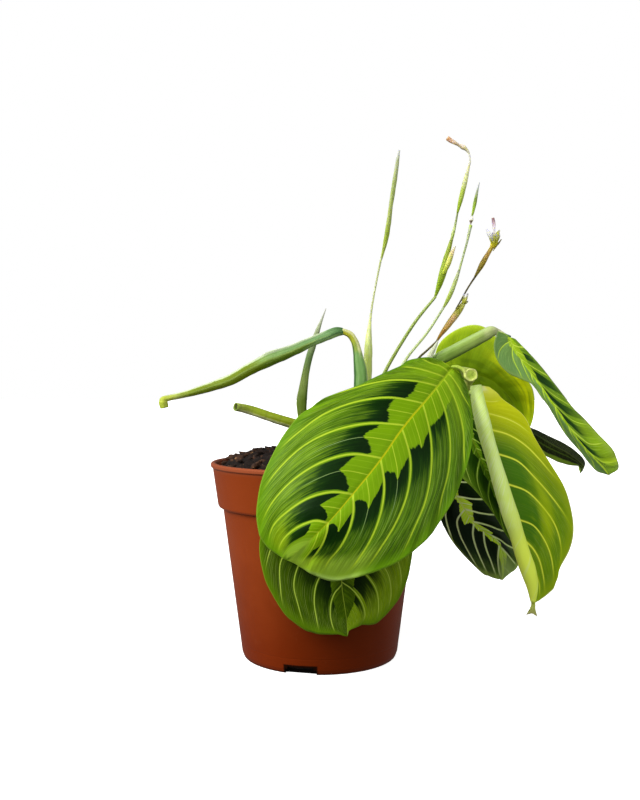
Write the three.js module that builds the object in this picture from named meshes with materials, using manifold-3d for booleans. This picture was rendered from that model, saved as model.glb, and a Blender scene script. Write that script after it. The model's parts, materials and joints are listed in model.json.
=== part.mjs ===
// A young potted prayer plant (maranta) in a plastic nursery pot.
// Millimetres, +Z up. Origin: middle of the pot's flat base, on the ground. The big patterned leaf faces -Y.
import * as THREE from 'three';
import Module from 'manifold-3d';
import * as BufferGeometryUtils from 'three/addons/utils/BufferGeometryUtils.js';

// ------------------------------------------------------------------ driving dimensions
const POT_HEIGHT = 95.6;
const POT_RIM_RADIUS = 54.0; // outside, at the lip
const POT_LIP_HEIGHT = 2.2; // the small flange at the very top
const POT_LIP_OVERHANG = 0.9;
const POT_COLLAR_TOP_RADIUS = 53.1; // collar just under the lip
const POT_COLLAR_BOTTOM_RADIUS = 50.4;
const POT_COLLAR_BOTTOM_Z = 74.2;
const POT_BODY_TOP_RADIUS = 48.0; // under the collar
const POT_BASE_RADIUS = 38.3;
const POT_BASE_ROUND = 2.4; // the rounded bottom edge
const POT_WALL = 1.5;
const POT_FLOOR = 1.6;
const POT_SEGMENTS = 48;
const DRAIN_SLOT_WIDTH = 15.0;
const DRAIN_SLOT_HEIGHT = 3.6;
const DRAIN_SLOT_DEPTH = 9.0;
const DRAIN_SLOT_ANGLES = [256.3, 16.3, 136.3]; // degrees about +Z from +X
const SOIL_EDGE_Z = 92.6; // soil level at the wall
const SOIL_MOUND = 10.4; // how much higher it stands in the middle
const SOIL_TILT = 0.065; // it rises towards the back
const SOIL_GAP = 0.4;
const SOCKET_GAP = 0.35; // clearance round each stem where it enters the soil
const BLADE_THICKNESS = 0.55;
const ROLL_START = 45; // degrees round the roll, from the side that faces the open half
const ROLL_TURN = 318;
const ROLL_TAPER = 0.12; // the roll tightens by this share of its radius
const HOLLOW_DEPTH = 6; // of the rolled new leaf's open end
const HOLLOW_WALL = 0.75;


// Blade tables. mid: the midrib, base to tip. L, R: rows from the midrib to the edge on each side, each row along
// one side vein: [vein number, share of the midrib where the row starts, points]. Whole vein numbers are the primary veins.
const LEAVES = {
  leaf_front: {
    mid: [[60.52,-37.0,141.43],[53.89,-42.59,133.8],[47.12,-48.78,126.57],[40.32,-55.08,119.7],[34.2,-60.66,112.66],[28.76,-65.11,105.38],[23.13,-68.45,98.42],[17.35,-70.79,91.68],[11.58,-73.1,85.06],[5.78,-75.36,78.58],[-0.45,-76.02,72.37],[-6.99,-73.25,65.85],[-14.01,-68.0,59.11]],
    L: [
      [0.0,0.0,[[60.52,-37.0,141.43],[59.49,-37.2,142.09],[58.47,-37.37,142.75],[57.46,-37.52,143.41],[56.46,-37.65,144.09],[55.47,-37.75,144.78]]],
      [0.5,0.0103,[[59.7,-37.66,140.48],[58.01,-37.89,141.8],[56.18,-38.21,142.88],[54.17,-38.68,143.57],[52.31,-38.93,144.61],[50.54,-39.02,145.83]]],
      [1.0,0.0206,[[58.87,-38.32,139.53],[56.46,-38.68,141.31],[53.8,-39.16,142.68],[50.85,-39.91,143.4],[48.12,-40.28,144.61],[45.54,-40.39,146.05]]],
      [1.5,0.0327,[[57.91,-39.12,138.41],[54.68,-39.83,140.07],[51.17,-40.55,141.55],[47.39,-41.32,142.7],[43.58,-41.86,143.87],[39.77,-42.21,144.97]]],
      [2.0,0.0449,[[56.94,-39.93,137.3],[52.62,-41.15,138.72],[48.31,-42.17,140.0],[43.99,-43.01,141.09],[39.58,-43.85,141.59],[35.16,-44.63,141.69]]],
      [2.5,0.0674,[[55.16,-41.46,135.25],[47.78,-43.64,137.02],[40.36,-45.47,137.87],[33.07,-47.05,137.62],[25.9,-48.52,136.34],[18.83,-49.72,134.63]]],
      [3.0,0.0898,[[53.37,-43.06,133.23],[42.93,-45.94,135.45],[32.45,-48.08,135.86],[22.24,-49.91,134.19],[12.4,-51.72,131.21],[2.72,-53.64,128.0]]],
      [3.25,0.1116,[[51.6,-44.65,131.31],[40.1,-47.65,133.65],[28.67,-49.76,133.7],[17.67,-51.73,131.2],[7.11,-54.06,127.49],[-3.49,-55.38,124.22]]],
      [3.5,0.1334,[[49.83,-46.27,129.42],[37.46,-49.3,131.79],[25.15,-51.4,131.4],[13.37,-53.66,128.15],[2.14,-56.24,123.63],[-9.28,-56.9,119.89]]],
      [3.75,0.1557,[[48.01,-47.95,127.5],[34.1,-51.0,130.07],[20.3,-53.03,129.06],[7.23,-55.71,124.9],[-4.55,-58.44,118.49],[-15.92,-59.32,111.84]]],
      [4.0,0.1781,[[46.19,-49.65,125.61],[31.04,-52.68,128.13],[16.06,-54.86,126.31],[2.08,-57.79,121.06],[-9.93,-60.48,112.55],[-20.87,-61.69,102.73]]],
      [4.25,0.2064,[[43.88,-51.81,123.25],[28.75,-54.51,125.65],[13.88,-56.64,123.65],[0.14,-59.32,118.13],[-11.51,-61.63,109.35],[-22.39,-62.31,99.54]]],
      [4.5,0.2347,[[41.55,-53.95,120.94],[26.63,-56.43,122.95],[11.99,-58.59,120.7],[-1.48,-60.94,114.87],[-12.88,-62.84,105.95],[-23.81,-62.8,96.3]]],
      [4.75,0.2629,[[39.3,-56.02,118.65],[24.09,-58.51,120.05],[9.27,-60.54,117.55],[-4.31,-62.28,111.41],[-15.56,-63.79,101.93],[-25.56,-63.39,91.02]]],
      [5.0,0.291,[[37.16,-58.0,116.31],[21.81,-60.49,117.16],[6.96,-62.36,114.31],[-6.57,-63.62,107.78],[-17.58,-64.74,97.73],[-26.63,-63.79,85.54]]],
      [5.25,0.3294,[[34.47,-60.42,113.0],[19.79,-62.46,114.11],[5.61,-64.08,111.0],[-7.21,-65.08,104.42],[-17.78,-65.73,94.68],[-26.97,-63.85,83.15]]],
      [5.5,0.3677,[[31.94,-62.62,109.64],[17.97,-64.26,111.1],[4.47,-65.61,107.71],[-7.67,-66.52,101.04],[-17.85,-66.65,91.6],[-27.22,-63.87,80.75]]],
      [5.75,0.4086,[[29.29,-64.72,106.08],[15.63,-66.04,107.71],[2.41,-66.95,104.27],[-9.36,-67.64,97.41],[-19.13,-67.03,87.77],[-27.27,-63.88,76.22]]],
      [6.0,0.4495,[[26.58,-66.56,102.6],[13.35,-67.5,104.29],[0.54,-68.21,100.79],[-10.77,-68.64,93.84],[-20.02,-67.25,84.03],[-26.68,-63.97,71.75]]],
      [6.25,0.4913,[[23.72,-68.15,99.13],[11.39,-68.72,100.9],[-0.52,-69.51,97.3],[-11.18,-69.58,90.87],[-19.96,-67.57,81.7],[-26.23,-64.03,70.1]]],
      [6.5,0.5332,[[20.83,-69.47,95.72],[9.49,-69.88,97.36],[-1.42,-70.8,93.71],[-11.36,-70.47,87.79],[-19.69,-67.9,79.3],[-25.62,-64.13,68.51]]],
      [6.75,0.5824,[[17.42,-70.77,91.76],[6.95,-71.29,93.04],[-3.12,-71.94,90.01],[-12.19,-70.99,84.41],[-19.93,-67.85,76.57],[-24.41,-64.35,66.22]]],
      [7.0,0.6315,[[14.01,-72.0,87.83],[4.53,-72.76,88.67],[-4.59,-72.94,86.25],[-12.7,-71.42,81.01],[-19.71,-67.9,73.87],[-22.85,-64.69,64.17]]],
      [7.5,0.7066,[[8.82,-74.31,81.94],[1.23,-74.58,82.8],[-6.1,-74.06,80.72],[-12.68,-71.94,76.4],[-18.21,-68.44,70.4],[-20.73,-65.31,62.48]]],
      [8.0,0.7816,[[3.49,-75.85,76.18],[-2.09,-75.62,76.97],[-7.46,-74.48,75.1],[-12.37,-72.06,71.75],[-16.28,-68.97,66.99],[-18.41,-66.17,61.09]]],
      [8.5,0.8335,[[-0.46,-76.02,72.36],[-4.57,-75.52,72.43],[-8.53,-73.98,70.82],[-12.14,-71.66,68.18],[-15.07,-69.11,64.62],[-17.13,-66.78,60.48]]],
      [9.0,0.8854,[[-4.53,-75.0,68.44],[-7.24,-73.92,67.84],[-9.83,-72.43,66.64],[-12.13,-70.74,64.76],[-14.08,-69.06,62.45],[-15.81,-67.39,59.92]]],
      [9.5,0.9427,[[-9.09,-71.55,63.66],[-10.47,-70.91,63.27],[-11.78,-70.18,62.7],[-12.93,-69.39,61.79],[-13.93,-68.59,60.69],[-14.9,-67.75,59.53]]],
      [10.0,1.0,[[-14.01,-68.0,59.11],[-14.01,-68.0,59.11],[-14.01,-68.0,59.11],[-14.01,-68.0,59.11],[-14.01,-68.0,59.11],[-14.01,-68.0,59.11]]],
    ],
    R: [
      [0.0,0.0,[[60.52,-37.0,141.43],[61.27,-36.82,141.01],[62.02,-36.63,140.59],[62.74,-36.45,140.13],[63.44,-36.3,139.63],[64.13,-36.14,139.13]]],
      [0.5,0.0122,[[59.55,-37.78,140.31],[61.2,-37.62,138.59],[62.87,-37.43,136.81],[64.39,-37.36,134.88],[66.15,-37.22,133.0],[68.0,-37.14,131.17]]],
      [1.0,0.0243,[[58.58,-38.57,139.19],[60.98,-38.57,135.99],[63.17,-38.73,132.66],[64.93,-39.34,129.13],[66.87,-39.98,125.71],[68.95,-40.6,122.38]]],
      [1.5,0.0383,[[57.47,-39.48,137.91],[60.79,-39.92,132.5],[63.41,-41.08,126.75],[65.14,-43.05,120.71],[66.32,-45.32,114.67],[67.68,-47.48,108.73]]],
      [2.0,0.0522,[[56.36,-40.42,136.63],[60.32,-41.62,128.9],[62.93,-44.07,120.74],[64.12,-47.42,112.38],[63.9,-51.39,104.04],[64.04,-54.8,95.81]]],
      [2.5,0.076,[[54.48,-42.07,134.47],[58.55,-44.42,124.54],[60.59,-48.26,114.27],[60.59,-53.01,104.02],[58.74,-57.93,94.1],[57.78,-61.58,84.17]]],
      [3.0,0.0997,[[52.57,-43.77,132.35],[56.38,-47.4,120.47],[57.55,-52.57,108.31],[56.15,-58.32,96.36],[52.65,-63.52,84.99],[50.44,-66.88,73.42]]],
      [3.25,0.1166,[[51.2,-45.01,130.87],[54.68,-49.42,118.03],[55.4,-55.1,105.09],[53.4,-60.94,92.55],[49.14,-65.94,80.76],[46.09,-68.98,68.73]]],
      [3.5,0.1334,[[49.83,-46.27,129.42],[52.83,-51.37,115.9],[52.99,-57.45,102.38],[50.39,-63.26,89.31],[45.37,-68.03,77.08],[41.23,-70.73,64.57]]],
      [3.75,0.1577,[[47.84,-48.11,127.33],[50.6,-53.6,113.54],[50.57,-59.65,99.81],[47.75,-65.08,86.57],[42.37,-69.47,74.28],[37.38,-71.73,61.82]]],
      [4.0,0.1821,[[45.87,-49.96,125.27],[48.46,-55.67,111.33],[48.13,-61.63,97.47],[45.05,-66.7,84.1],[39.22,-70.74,71.77],[33.34,-72.44,59.36]]],
      [4.25,0.2129,[[43.34,-52.31,122.72],[46.2,-57.84,108.88],[45.53,-63.53,95.03],[42.23,-68.2,81.69],[35.93,-71.83,69.57],[29.36,-72.82,57.37]]],
      [4.5,0.2438,[[40.82,-54.62,120.21],[43.94,-59.84,106.54],[42.88,-65.22,92.75],[39.18,-69.59,79.55],[32.41,-72.74,67.67],[25.25,-72.9,55.69]]],
      [4.75,0.2765,[[38.24,-57.0,117.52],[41.45,-61.86,104.04],[40.16,-66.8,90.41],[35.69,-70.91,77.63],[28.7,-73.45,66.0],[21.22,-72.61,54.25]]],
      [5.0,0.3093,[[35.84,-59.19,114.74],[38.86,-63.74,101.52],[37.31,-68.25,88.15],[32.12,-72.07,75.84],[24.9,-73.9,64.46],[17.16,-71.81,52.84]]],
      [5.25,0.3452,[[33.41,-61.36,111.61],[35.97,-65.57,98.86],[34.52,-69.5,86.06],[29.62,-72.82,74.24],[22.47,-74.02,63.46],[15.09,-71.13,52.15]]],
      [5.5,0.3812,[[31.06,-63.34,108.46],[33.03,-67.18,96.25],[31.59,-70.63,84.09],[27.12,-73.44,72.72],[20.09,-74.01,62.49],[13.0,-70.35,51.51]]],
      [5.75,0.419,[[28.61,-65.22,105.18],[30.15,-68.59,93.58],[28.69,-71.65,82.08],[24.53,-73.94,71.26],[18.15,-73.82,61.27],[11.02,-69.55,50.98]]],
      [6.0,0.4568,[[26.08,-66.86,101.98],[27.28,-69.79,91.03],[25.7,-72.55,80.2],[21.76,-74.33,69.95],[15.99,-73.48,60.22],[9.02,-68.73,50.49]]],
      [6.25,0.5028,[[22.93,-68.54,98.2],[24.06,-71.0,88.06],[22.26,-73.44,78.11],[18.44,-74.61,68.63],[12.75,-72.97,59.7],[6.95,-67.88,50.06]]],
      [6.5,0.5487,[[19.76,-69.91,94.47],[20.75,-72.07,85.19],[18.77,-74.2,76.13],[15.03,-74.71,67.46],[9.35,-72.35,59.41],[4.85,-67.14,49.87]]],
      [6.75,0.5901,[[16.88,-70.96,91.13],[17.4,-73.06,82.64],[15.44,-74.78,74.38],[11.72,-74.64,66.48],[6.31,-71.72,59.12],[2.41,-66.63,50.21]]],
      [7.0,0.6315,[[14.01,-72.0,87.83],[13.91,-74.06,80.23],[12.01,-75.22,72.79],[8.41,-74.44,65.72],[3.47,-71.21,59.03],[0.06,-66.42,50.97]]],
      [7.5,0.7066,[[8.82,-74.31,81.94],[8.32,-75.45,75.96],[6.58,-75.46,70.05],[3.54,-73.84,64.39],[-0.46,-70.55,59.0],[-3.07,-66.44,52.49]]],
      [8.0,0.7816,[[3.49,-75.85,76.18],[2.67,-75.93,71.81],[1.11,-75.03,67.48],[-1.24,-72.98,63.32],[-4.16,-70.1,59.32],[-5.96,-66.85,54.51]]],
      [8.5,0.8335,[[-0.46,-76.02,72.36],[-1.53,-75.51,69.12],[-2.94,-74.16,65.85],[-4.83,-72.1,62.71],[-6.9,-69.79,59.59],[-8.26,-67.39,55.99]]],
      [9.0,0.8854,[[-4.53,-75.0,68.44],[-5.62,-73.84,66.23],[-6.79,-72.41,64.01],[-8.22,-70.91,61.92],[-9.56,-69.43,59.75],[-10.59,-67.94,57.38]]],
      [9.5,0.9427,[[-9.09,-71.55,63.66],[-9.74,-70.84,62.58],[-10.38,-70.15,61.5],[-11.12,-69.47,60.5],[-11.77,-68.81,59.43],[-12.29,-68.12,58.28]]],
      [10.0,1.0,[[-14.01,-68.0,59.11],[-14.01,-68.0,59.11],[-14.01,-68.0,59.11],[-14.01,-68.0,59.11],[-14.01,-68.0,59.11],[-14.01,-68.0,59.11]]],
    ],
  },
  leaf_low: {
    mid: [[11.38,-60.0,99.44],[10.09,-59.95,93.3],[9.1,-60.04,87.12],[8.82,-60.35,80.89],[8.73,-60.77,74.67],[8.74,-61.11,68.45],[8.83,-61.2,62.19],[9.03,-60.88,55.85],[9.4,-60.04,49.4],[9.99,-58.6,42.79],[10.97,-56.6,36.05],[11.86,-55.01,29.33],[12.25,-53.95,22.66]],
    L: [
      [0.0,0.0,[[11.38,-60.0,99.44],[9.83,-59.94,99.47],[8.28,-59.83,99.47],[6.73,-59.69,99.34],[5.2,-59.52,99.07],[3.68,-59.32,98.78]]],
      [0.5,0.0417,[[10.74,-59.98,96.37],[5.98,-59.63,96.44],[1.34,-59.02,95.6],[-3.18,-58.33,94.25],[-7.62,-57.78,92.61],[-11.81,-57.35,90.61]]],
      [1.0,0.0834,[[10.09,-59.95,93.3],[2.62,-59.28,92.75],[-4.45,-58.36,90.18],[-11.05,-57.67,86.45],[-17.22,-56.9,81.97],[-22.78,-55.95,76.65]]],
      [1.5,0.1243,[[9.51,-59.96,90.27],[0.14,-59.13,88.8],[-8.5,-58.17,84.76],[-15.87,-57.25,78.77],[-21.87,-56.07,71.41],[-26.68,-54.6,63.18]]],
      [2.0,0.1653,[[9.11,-60.03,87.22],[-1.33,-59.25,84.55],[-10.56,-58.24,78.86],[-17.69,-57.03,70.54],[-22.07,-55.55,60.3],[-24.69,-53.55,49.24]]],
      [2.5,0.2226,[[8.87,-60.23,82.93],[-1.93,-59.61,79.43],[-11.0,-58.51,72.66],[-18.07,-56.82,63.51],[-20.46,-55.09,52.27],[-20.91,-52.63,40.45]]],
      [3.0,0.2799,[[8.79,-60.49,78.66],[-1.83,-60.04,74.26],[-10.43,-58.83,66.48],[-17.01,-56.62,56.53],[-17.39,-54.37,44.53],[-15.94,-51.56,32.22]]],
      [3.5,0.3434,[[8.72,-60.81,73.92],[-1.4,-60.44,69.12],[-9.88,-58.94,61.54],[-14.93,-56.43,51.29],[-13.85,-53.99,39.69],[-11.47,-51.4,28.03]]],
      [4.0,0.407,[[8.73,-61.08,69.17],[-0.41,-60.72,64.08],[-8.23,-59.04,56.83],[-11.41,-56.34,46.47],[-9.3,-53.89,35.52],[-6.44,-51.5,24.6]]],
      [4.5,0.473,[[8.79,-61.2,64.22],[1.12,-60.8,59.21],[-4.99,-59.08,52.17],[-7.12,-56.48,42.82],[-5.49,-54.1,33.18],[-3.27,-51.88,23.6]]],
      [5.0,0.539,[[8.9,-61.1,59.23],[2.93,-60.59,54.41],[-1.18,-58.94,47.65],[-2.46,-56.65,39.58],[-1.52,-54.46,31.35],[0.02,-52.62,23.21]]],
      [5.5,0.6203,[[9.17,-60.57,53.01],[4.68,-59.89,48.67],[1.97,-58.32,42.8],[1.24,-56.41,36.19],[2.03,-54.74,29.58],[3.54,-53.5,23.18]]],
      [6.0,0.7015,[[9.62,-59.53,46.66],[6.51,-58.76,42.95],[4.9,-57.42,38.21],[4.6,-56.06,33.14],[5.41,-54.99,28.17],[7.06,-54.19,23.45]]],
      [6.5,0.7755,[[10.24,-58.0,40.73],[8.29,-57.33,37.68],[7.17,-56.45,34.14],[6.96,-55.61,30.42],[7.48,-54.92,26.78],[8.65,-54.31,23.31]]],
      [7.0,0.8494,[[11.17,-56.24,34.75],[10.16,-55.89,32.52],[9.34,-55.53,30.2],[9.19,-55.11,27.72],[9.49,-54.7,25.25],[10.2,-54.22,22.83]]],
      [7.5,0.9247,[[11.92,-54.89,28.69],[11.44,-54.83,27.55],[10.98,-54.75,26.4],[10.85,-54.59,25.16],[10.94,-54.39,23.91],[11.22,-54.12,22.68]]],
      [8.0,1.0,[[12.25,-53.95,22.66],[12.25,-53.95,22.66],[12.25,-53.95,22.66],[12.25,-53.95,22.66],[12.25,-53.95,22.66],[12.25,-53.95,22.66]]],
    ],
    R: [
      [0.0,0.0,[[11.38,-60.0,99.44],[12.92,-59.99,99.47],[14.46,-59.94,99.48],[16.0,-59.84,99.35],[17.53,-59.72,99.08],[19.06,-59.56,98.78]]],
      [0.5,0.0417,[[10.74,-59.98,96.37],[15.08,-59.9,96.15],[19.37,-59.5,95.41],[23.51,-58.89,94.11],[27.5,-58.14,92.36],[31.91,-57.21,90.96]]],
      [1.0,0.0834,[[10.09,-59.95,93.3],[16.67,-59.75,92.25],[22.99,-58.91,89.95],[28.85,-57.71,86.44],[34.12,-56.28,81.95],[39.75,-54.46,77.76]]],
      [1.5,0.1243,[[9.51,-59.96,90.27],[17.67,-59.66,88.05],[25.43,-58.41,84.44],[32.3,-56.63,79.17],[37.46,-54.66,72.24],[41.46,-52.73,65.02]]],
      [2.0,0.1653,[[9.11,-60.03,87.22],[18.22,-59.66,83.73],[26.79,-58.05,78.75],[34.04,-55.73,71.69],[38.41,-53.56,62.42],[40.01,-51.67,52.24]]],
      [2.5,0.2226,[[8.87,-60.23,82.93],[18.27,-59.77,79.09],[27.03,-57.94,73.63],[34.07,-55.38,65.87],[37.85,-53.06,56.05],[38.43,-50.71,45.38]]],
      [3.0,0.2799,[[8.79,-60.49,78.66],[17.98,-59.97,74.49],[26.4,-58.08,68.51],[32.86,-55.42,60.13],[35.89,-52.65,49.84],[35.65,-49.69,38.9]]],
      [3.5,0.3434,[[8.72,-60.81,73.92],[17.42,-60.23,69.58],[25.37,-58.3,63.59],[31.6,-55.34,55.48],[34.01,-52.17,45.4],[32.93,-49.13,35.0]]],
      [4.0,0.407,[[8.73,-61.08,69.17],[16.69,-60.43,64.72],[23.94,-58.49,58.77],[29.78,-55.15,50.95],[31.59,-51.64,41.16],[29.91,-48.66,31.32]]],
      [4.5,0.473,[[8.79,-61.2,64.22],[16.01,-60.44,60.03],[22.51,-58.39,54.42],[27.58,-54.87,47.0],[28.99,-51.32,37.99],[27.67,-48.52,29.02]]],
      [5.0,0.539,[[8.9,-61.1,59.23],[15.23,-60.18,55.37],[20.84,-57.94,50.1],[24.96,-54.51,43.14],[26.12,-51.11,34.99],[25.27,-48.67,26.93]]],
      [5.5,0.6125,[[9.14,-60.64,53.61],[14.31,-59.56,50.26],[18.77,-57.34,45.63],[22.01,-54.31,39.7],[23.15,-51.44,32.99],[22.09,-50.01,26.55]]],
      [6.0,0.6859,[[9.52,-59.77,47.89],[13.4,-58.61,45.1],[16.62,-56.68,41.29],[18.98,-54.38,36.69],[20.02,-52.33,31.65],[18.76,-51.86,27.01]]],
      [6.5,0.7676,[[10.15,-58.18,41.37],[12.63,-57.1,39.07],[14.75,-55.74,36.26],[16.32,-54.31,33.04],[16.99,-53.23,29.62],[16.2,-53.05,26.46]]],
      [7.0,0.8494,[[11.17,-56.24,34.75],[12.3,-55.62,33.09],[13.33,-54.97,31.34],[14.06,-54.39,29.46],[14.17,-54.06,27.5],[13.75,-53.96,25.64]]],
      [7.5,0.9247,[[11.92,-54.89,28.69],[12.32,-54.68,27.85],[12.68,-54.48,27.04],[12.89,-54.31,26.2],[12.78,-54.23,25.34],[12.47,-54.2,24.52]]],
      [8.0,1.0,[[12.25,-53.95,22.66],[12.25,-53.95,22.66],[12.25,-53.95,22.66],[12.25,-53.95,22.66],[12.25,-53.95,22.66],[12.25,-53.95,22.66]]],
    ],
  },
  leaf_half_rolled: {
    mid: [[73.95,-28.0,133.6],[76.5,-27.9,125.13],[79.15,-27.62,116.65],[81.32,-27.56,108.06],[83.89,-27.49,99.55],[86.74,-27.4,91.13],[89.27,-26.91,82.52],[92.36,-25.61,73.89],[95.13,-24.1,65.06],[98.38,-22.18,56.19],[101.68,-20.18,47.24],[103.61,-18.94,38.08],[102.44,-20.0,29.29]],
    R: [
      [0.0,0.0,[[73.95,-28.0,133.6],[75.1,-27.48,133.43],[76.24,-26.96,133.25],[77.38,-26.45,133.06],[78.52,-25.95,132.85],[79.66,-25.44,132.64]]],
      [0.5,0.0391,[[75.14,-27.96,129.62],[76.68,-27.25,129.5],[78.3,-26.51,129.39],[79.98,-25.72,129.45],[81.71,-24.88,129.68],[83.5,-24.01,129.94]]],
      [1.0,0.0782,[[76.34,-27.91,125.65],[78.4,-26.95,125.57],[80.47,-25.98,125.53],[82.54,-24.98,125.75],[84.57,-23.97,126.21],[86.61,-22.93,126.7]]],
      [1.5,0.1057,[[77.22,-27.83,122.86],[81.06,-26.07,122.35],[85.14,-24.17,121.84],[89.26,-22.25,121.16],[93.22,-20.42,120.2],[97.06,-18.67,119.03]]],
      [2.0,0.1332,[[78.12,-27.73,120.07],[83.65,-25.22,118.85],[89.12,-22.75,117.24],[94.29,-20.52,114.85],[98.94,-18.65,111.63],[103.25,-17.01,107.99]]],
      [2.5,0.1698,[[79.23,-27.62,116.33],[86.76,-24.21,114.45],[93.74,-21.24,111.24],[99.81,-18.92,106.74],[105.31,-16.99,101.48],[111.05,-14.59,96.16]]],
      [3.0,0.2064,[[80.18,-27.58,112.55],[89.61,-23.39,109.87],[97.94,-20.15,104.83],[104.99,-17.65,98.22],[111.74,-14.65,91.0],[119.18,-10.8,83.95]]],
      [3.5,0.2583,[[81.56,-27.55,107.21],[91.8,-23.22,103.86],[100.23,-20.27,97.44],[107.96,-16.87,89.83],[115.46,-12.98,81.62],[122.84,-9.33,73.19]]],
      [4.0,0.3101,[[83.15,-27.48,101.92],[93.72,-23.33,97.8],[102.11,-20.13,90.02],[110.25,-15.91,81.41],[117.75,-12.05,72.15],[124.13,-8.83,62.12]]],
      [4.5,0.3742,[[85.26,-27.5,95.42],[96.03,-23.14,91.02],[104.81,-18.9,82.91],[112.74,-14.7,73.78],[118.59,-11.67,63.69],[121.89,-9.72,52.96]]],
      [5.0,0.4384,[[87.44,-27.31,88.91],[97.97,-22.52,84.24],[106.43,-18.1,76.08],[113.32,-14.4,66.62],[116.86,-12.38,55.94],[116.81,-12.01,45.0]]],
      [5.5,0.5215,[[90.0,-26.65,80.3],[99.82,-21.67,75.92],[107.23,-17.62,68.21],[112.85,-14.52,59.35],[115.55,-12.84,49.63],[115.7,-12.35,39.8]]],
      [6.0,0.6045,[[93.11,-25.23,71.67],[101.54,-20.68,67.54],[107.3,-17.44,60.37],[111.19,-15.19,52.27],[113.04,-13.9,43.73],[113.7,-13.23,35.13]]],
      [6.5,0.6511,[[94.61,-24.4,66.72],[101.41,-20.64,62.08],[106.06,-18.0,55.5],[108.96,-16.23,48.22],[110.53,-15.1,40.71],[111.31,-14.49,33.21]]],
      [7.0,0.6976,[[96.27,-23.43,61.77],[101.26,-20.62,56.74],[104.8,-18.55,50.86],[106.87,-17.23,44.48],[108.13,-16.33,37.99],[108.71,-15.97,31.53]]],
      [7.5,0.7636,[[98.92,-21.86,54.74],[102.18,-19.97,50.34],[104.63,-18.49,45.59],[106.12,-17.53,40.6],[106.82,-17.04,35.6],[106.92,-17.1,30.69]]],
      [8.0,0.8296,[[101.55,-20.26,47.65],[103.21,-19.26,44.19],[104.56,-18.42,40.65],[105.43,-17.87,37.05],[105.48,-17.87,33.49],[105.01,-18.34,30.05]]],
      [8.5,0.9148,[[103.61,-18.95,38.28],[104.08,-18.67,36.52],[104.44,-18.48,34.78],[104.6,-18.43,33.03],[104.29,-18.72,31.33],[103.72,-19.18,29.68]]],
      [9.0,1.0,[[102.44,-20.0,29.29],[102.44,-20.0,29.29],[102.44,-20.0,29.29],[102.44,-20.0,29.29],[102.44,-20.0,29.29],[102.44,-20.0,29.29]]],
    ],
  },
  leaf_between: {
    mid: [[66.97,-12.0,122.37],[69.82,-11.22,117.0],[72.37,-11.11,111.55],[74.57,-12.0,106.07],[76.72,-13.44,100.67],[78.9,-14.78,95.31],[81.27,-14.68,89.81],[83.75,-13.71,84.18],[86.23,-12.75,78.53],[88.68,-11.83,72.84],[90.96,-10.9,67.05],[93.01,-9.91,61.14],[95.02,-9.0,55.21]],
    L: [
      [0.0,0.0,[[66.97,-12.0,122.37],[66.32,-12.26,121.8],[65.69,-12.5,121.21],[65.14,-12.7,120.55],[64.67,-12.87,119.84],[64.22,-13.03,119.12]]],
      [1.0,0.0446,[[68.5,-11.56,119.5],[67.17,-12.11,117.03],[65.87,-12.6,114.56],[64.68,-13.1,112.03],[63.57,-13.7,109.48],[62.42,-14.61,106.96]]],
      [2.0,0.1207,[[71.03,-11.04,114.57],[68.98,-12.32,109.95],[67.23,-13.96,105.26],[66.02,-15.94,100.49],[66.31,-17.58,95.69],[67.37,-18.68,90.96]]],
      [3.0,0.2223,[[73.85,-11.61,107.88],[71.72,-13.72,103.27],[70.35,-15.82,98.5],[70.13,-17.44,93.61],[71.51,-18.06,88.87],[73.4,-18.0,84.19]]],
      [4.0,0.366,[[77.57,-14.02,98.57],[76.14,-15.9,94.52],[75.43,-16.87,90.3],[75.85,-17.06,86.0],[77.22,-16.92,81.84],[78.94,-16.67,77.78]]],
      [5.0,0.5316,[[82.21,-14.33,87.68],[81.42,-14.92,84.08],[81.12,-15.35,80.42],[82.0,-15.31,76.78],[83.37,-15.03,73.25],[85.07,-14.51,69.79]]],
      [6.0,0.7099,[[87.52,-12.27,75.58],[87.33,-12.74,72.67],[87.44,-13.04,69.75],[88.16,-12.83,66.82],[89.2,-12.3,63.91],[90.41,-11.63,61.02]]],
      [7.0,1.0,[[95.02,-9.0,55.21],[95.02,-9.0,55.21],[95.02,-9.0,55.21],[95.02,-9.0,55.21],[95.02,-9.0,55.21],[95.02,-9.0,55.21]]],
    ],
    R: [
      [0.0,0.0,[[66.97,-12.0,122.37],[68.2,-11.51,122.6],[69.44,-10.99,122.79],[70.71,-10.47,122.78],[71.95,-9.96,122.55],[73.2,-9.45,122.3]]],
      [1.0,0.0446,[[68.5,-11.56,119.5],[71.28,-10.59,118.35],[74.06,-9.64,117.21],[76.91,-8.67,116.2],[79.86,-7.63,115.41],[82.84,-6.54,114.67]]],
      [2.0,0.1207,[[71.03,-11.04,114.57],[74.05,-10.38,112.58],[77.09,-9.81,110.63],[80.42,-9.02,109.1],[84.04,-7.78,108.09],[87.77,-6.24,107.18]]],
      [3.0,0.2223,[[73.85,-11.61,107.88],[77.12,-11.4,105.57],[80.44,-11.02,103.28],[84.08,-10.05,101.27],[88.12,-8.26,99.65],[92.31,-6.01,98.09]]],
      [4.0,0.366,[[77.57,-14.02,98.57],[80.9,-13.49,96.43],[84.4,-12.16,94.23],[88.07,-10.23,92.02],[91.87,-8.04,89.85],[95.73,-5.76,87.66]]],
      [5.0,0.5316,[[82.21,-14.33,87.68],[85.41,-12.69,85.45],[88.65,-10.87,83.15],[91.87,-8.97,80.75],[95.07,-7.01,78.25],[98.31,-4.98,75.71]]],
      [6.0,0.7099,[[87.52,-12.27,75.58],[90.06,-10.8,73.78],[92.54,-9.27,71.84],[94.61,-8.04,69.55],[96.38,-7.06,67.08],[98.13,-6.15,64.61]]],
      [7.0,1.0,[[95.02,-9.0,55.21],[95.02,-9.0,55.21],[95.02,-9.0,55.21],[95.02,-9.0,55.21],[95.02,-9.0,55.21],[95.02,-9.0,55.21]]],
    ],
  },
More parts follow.
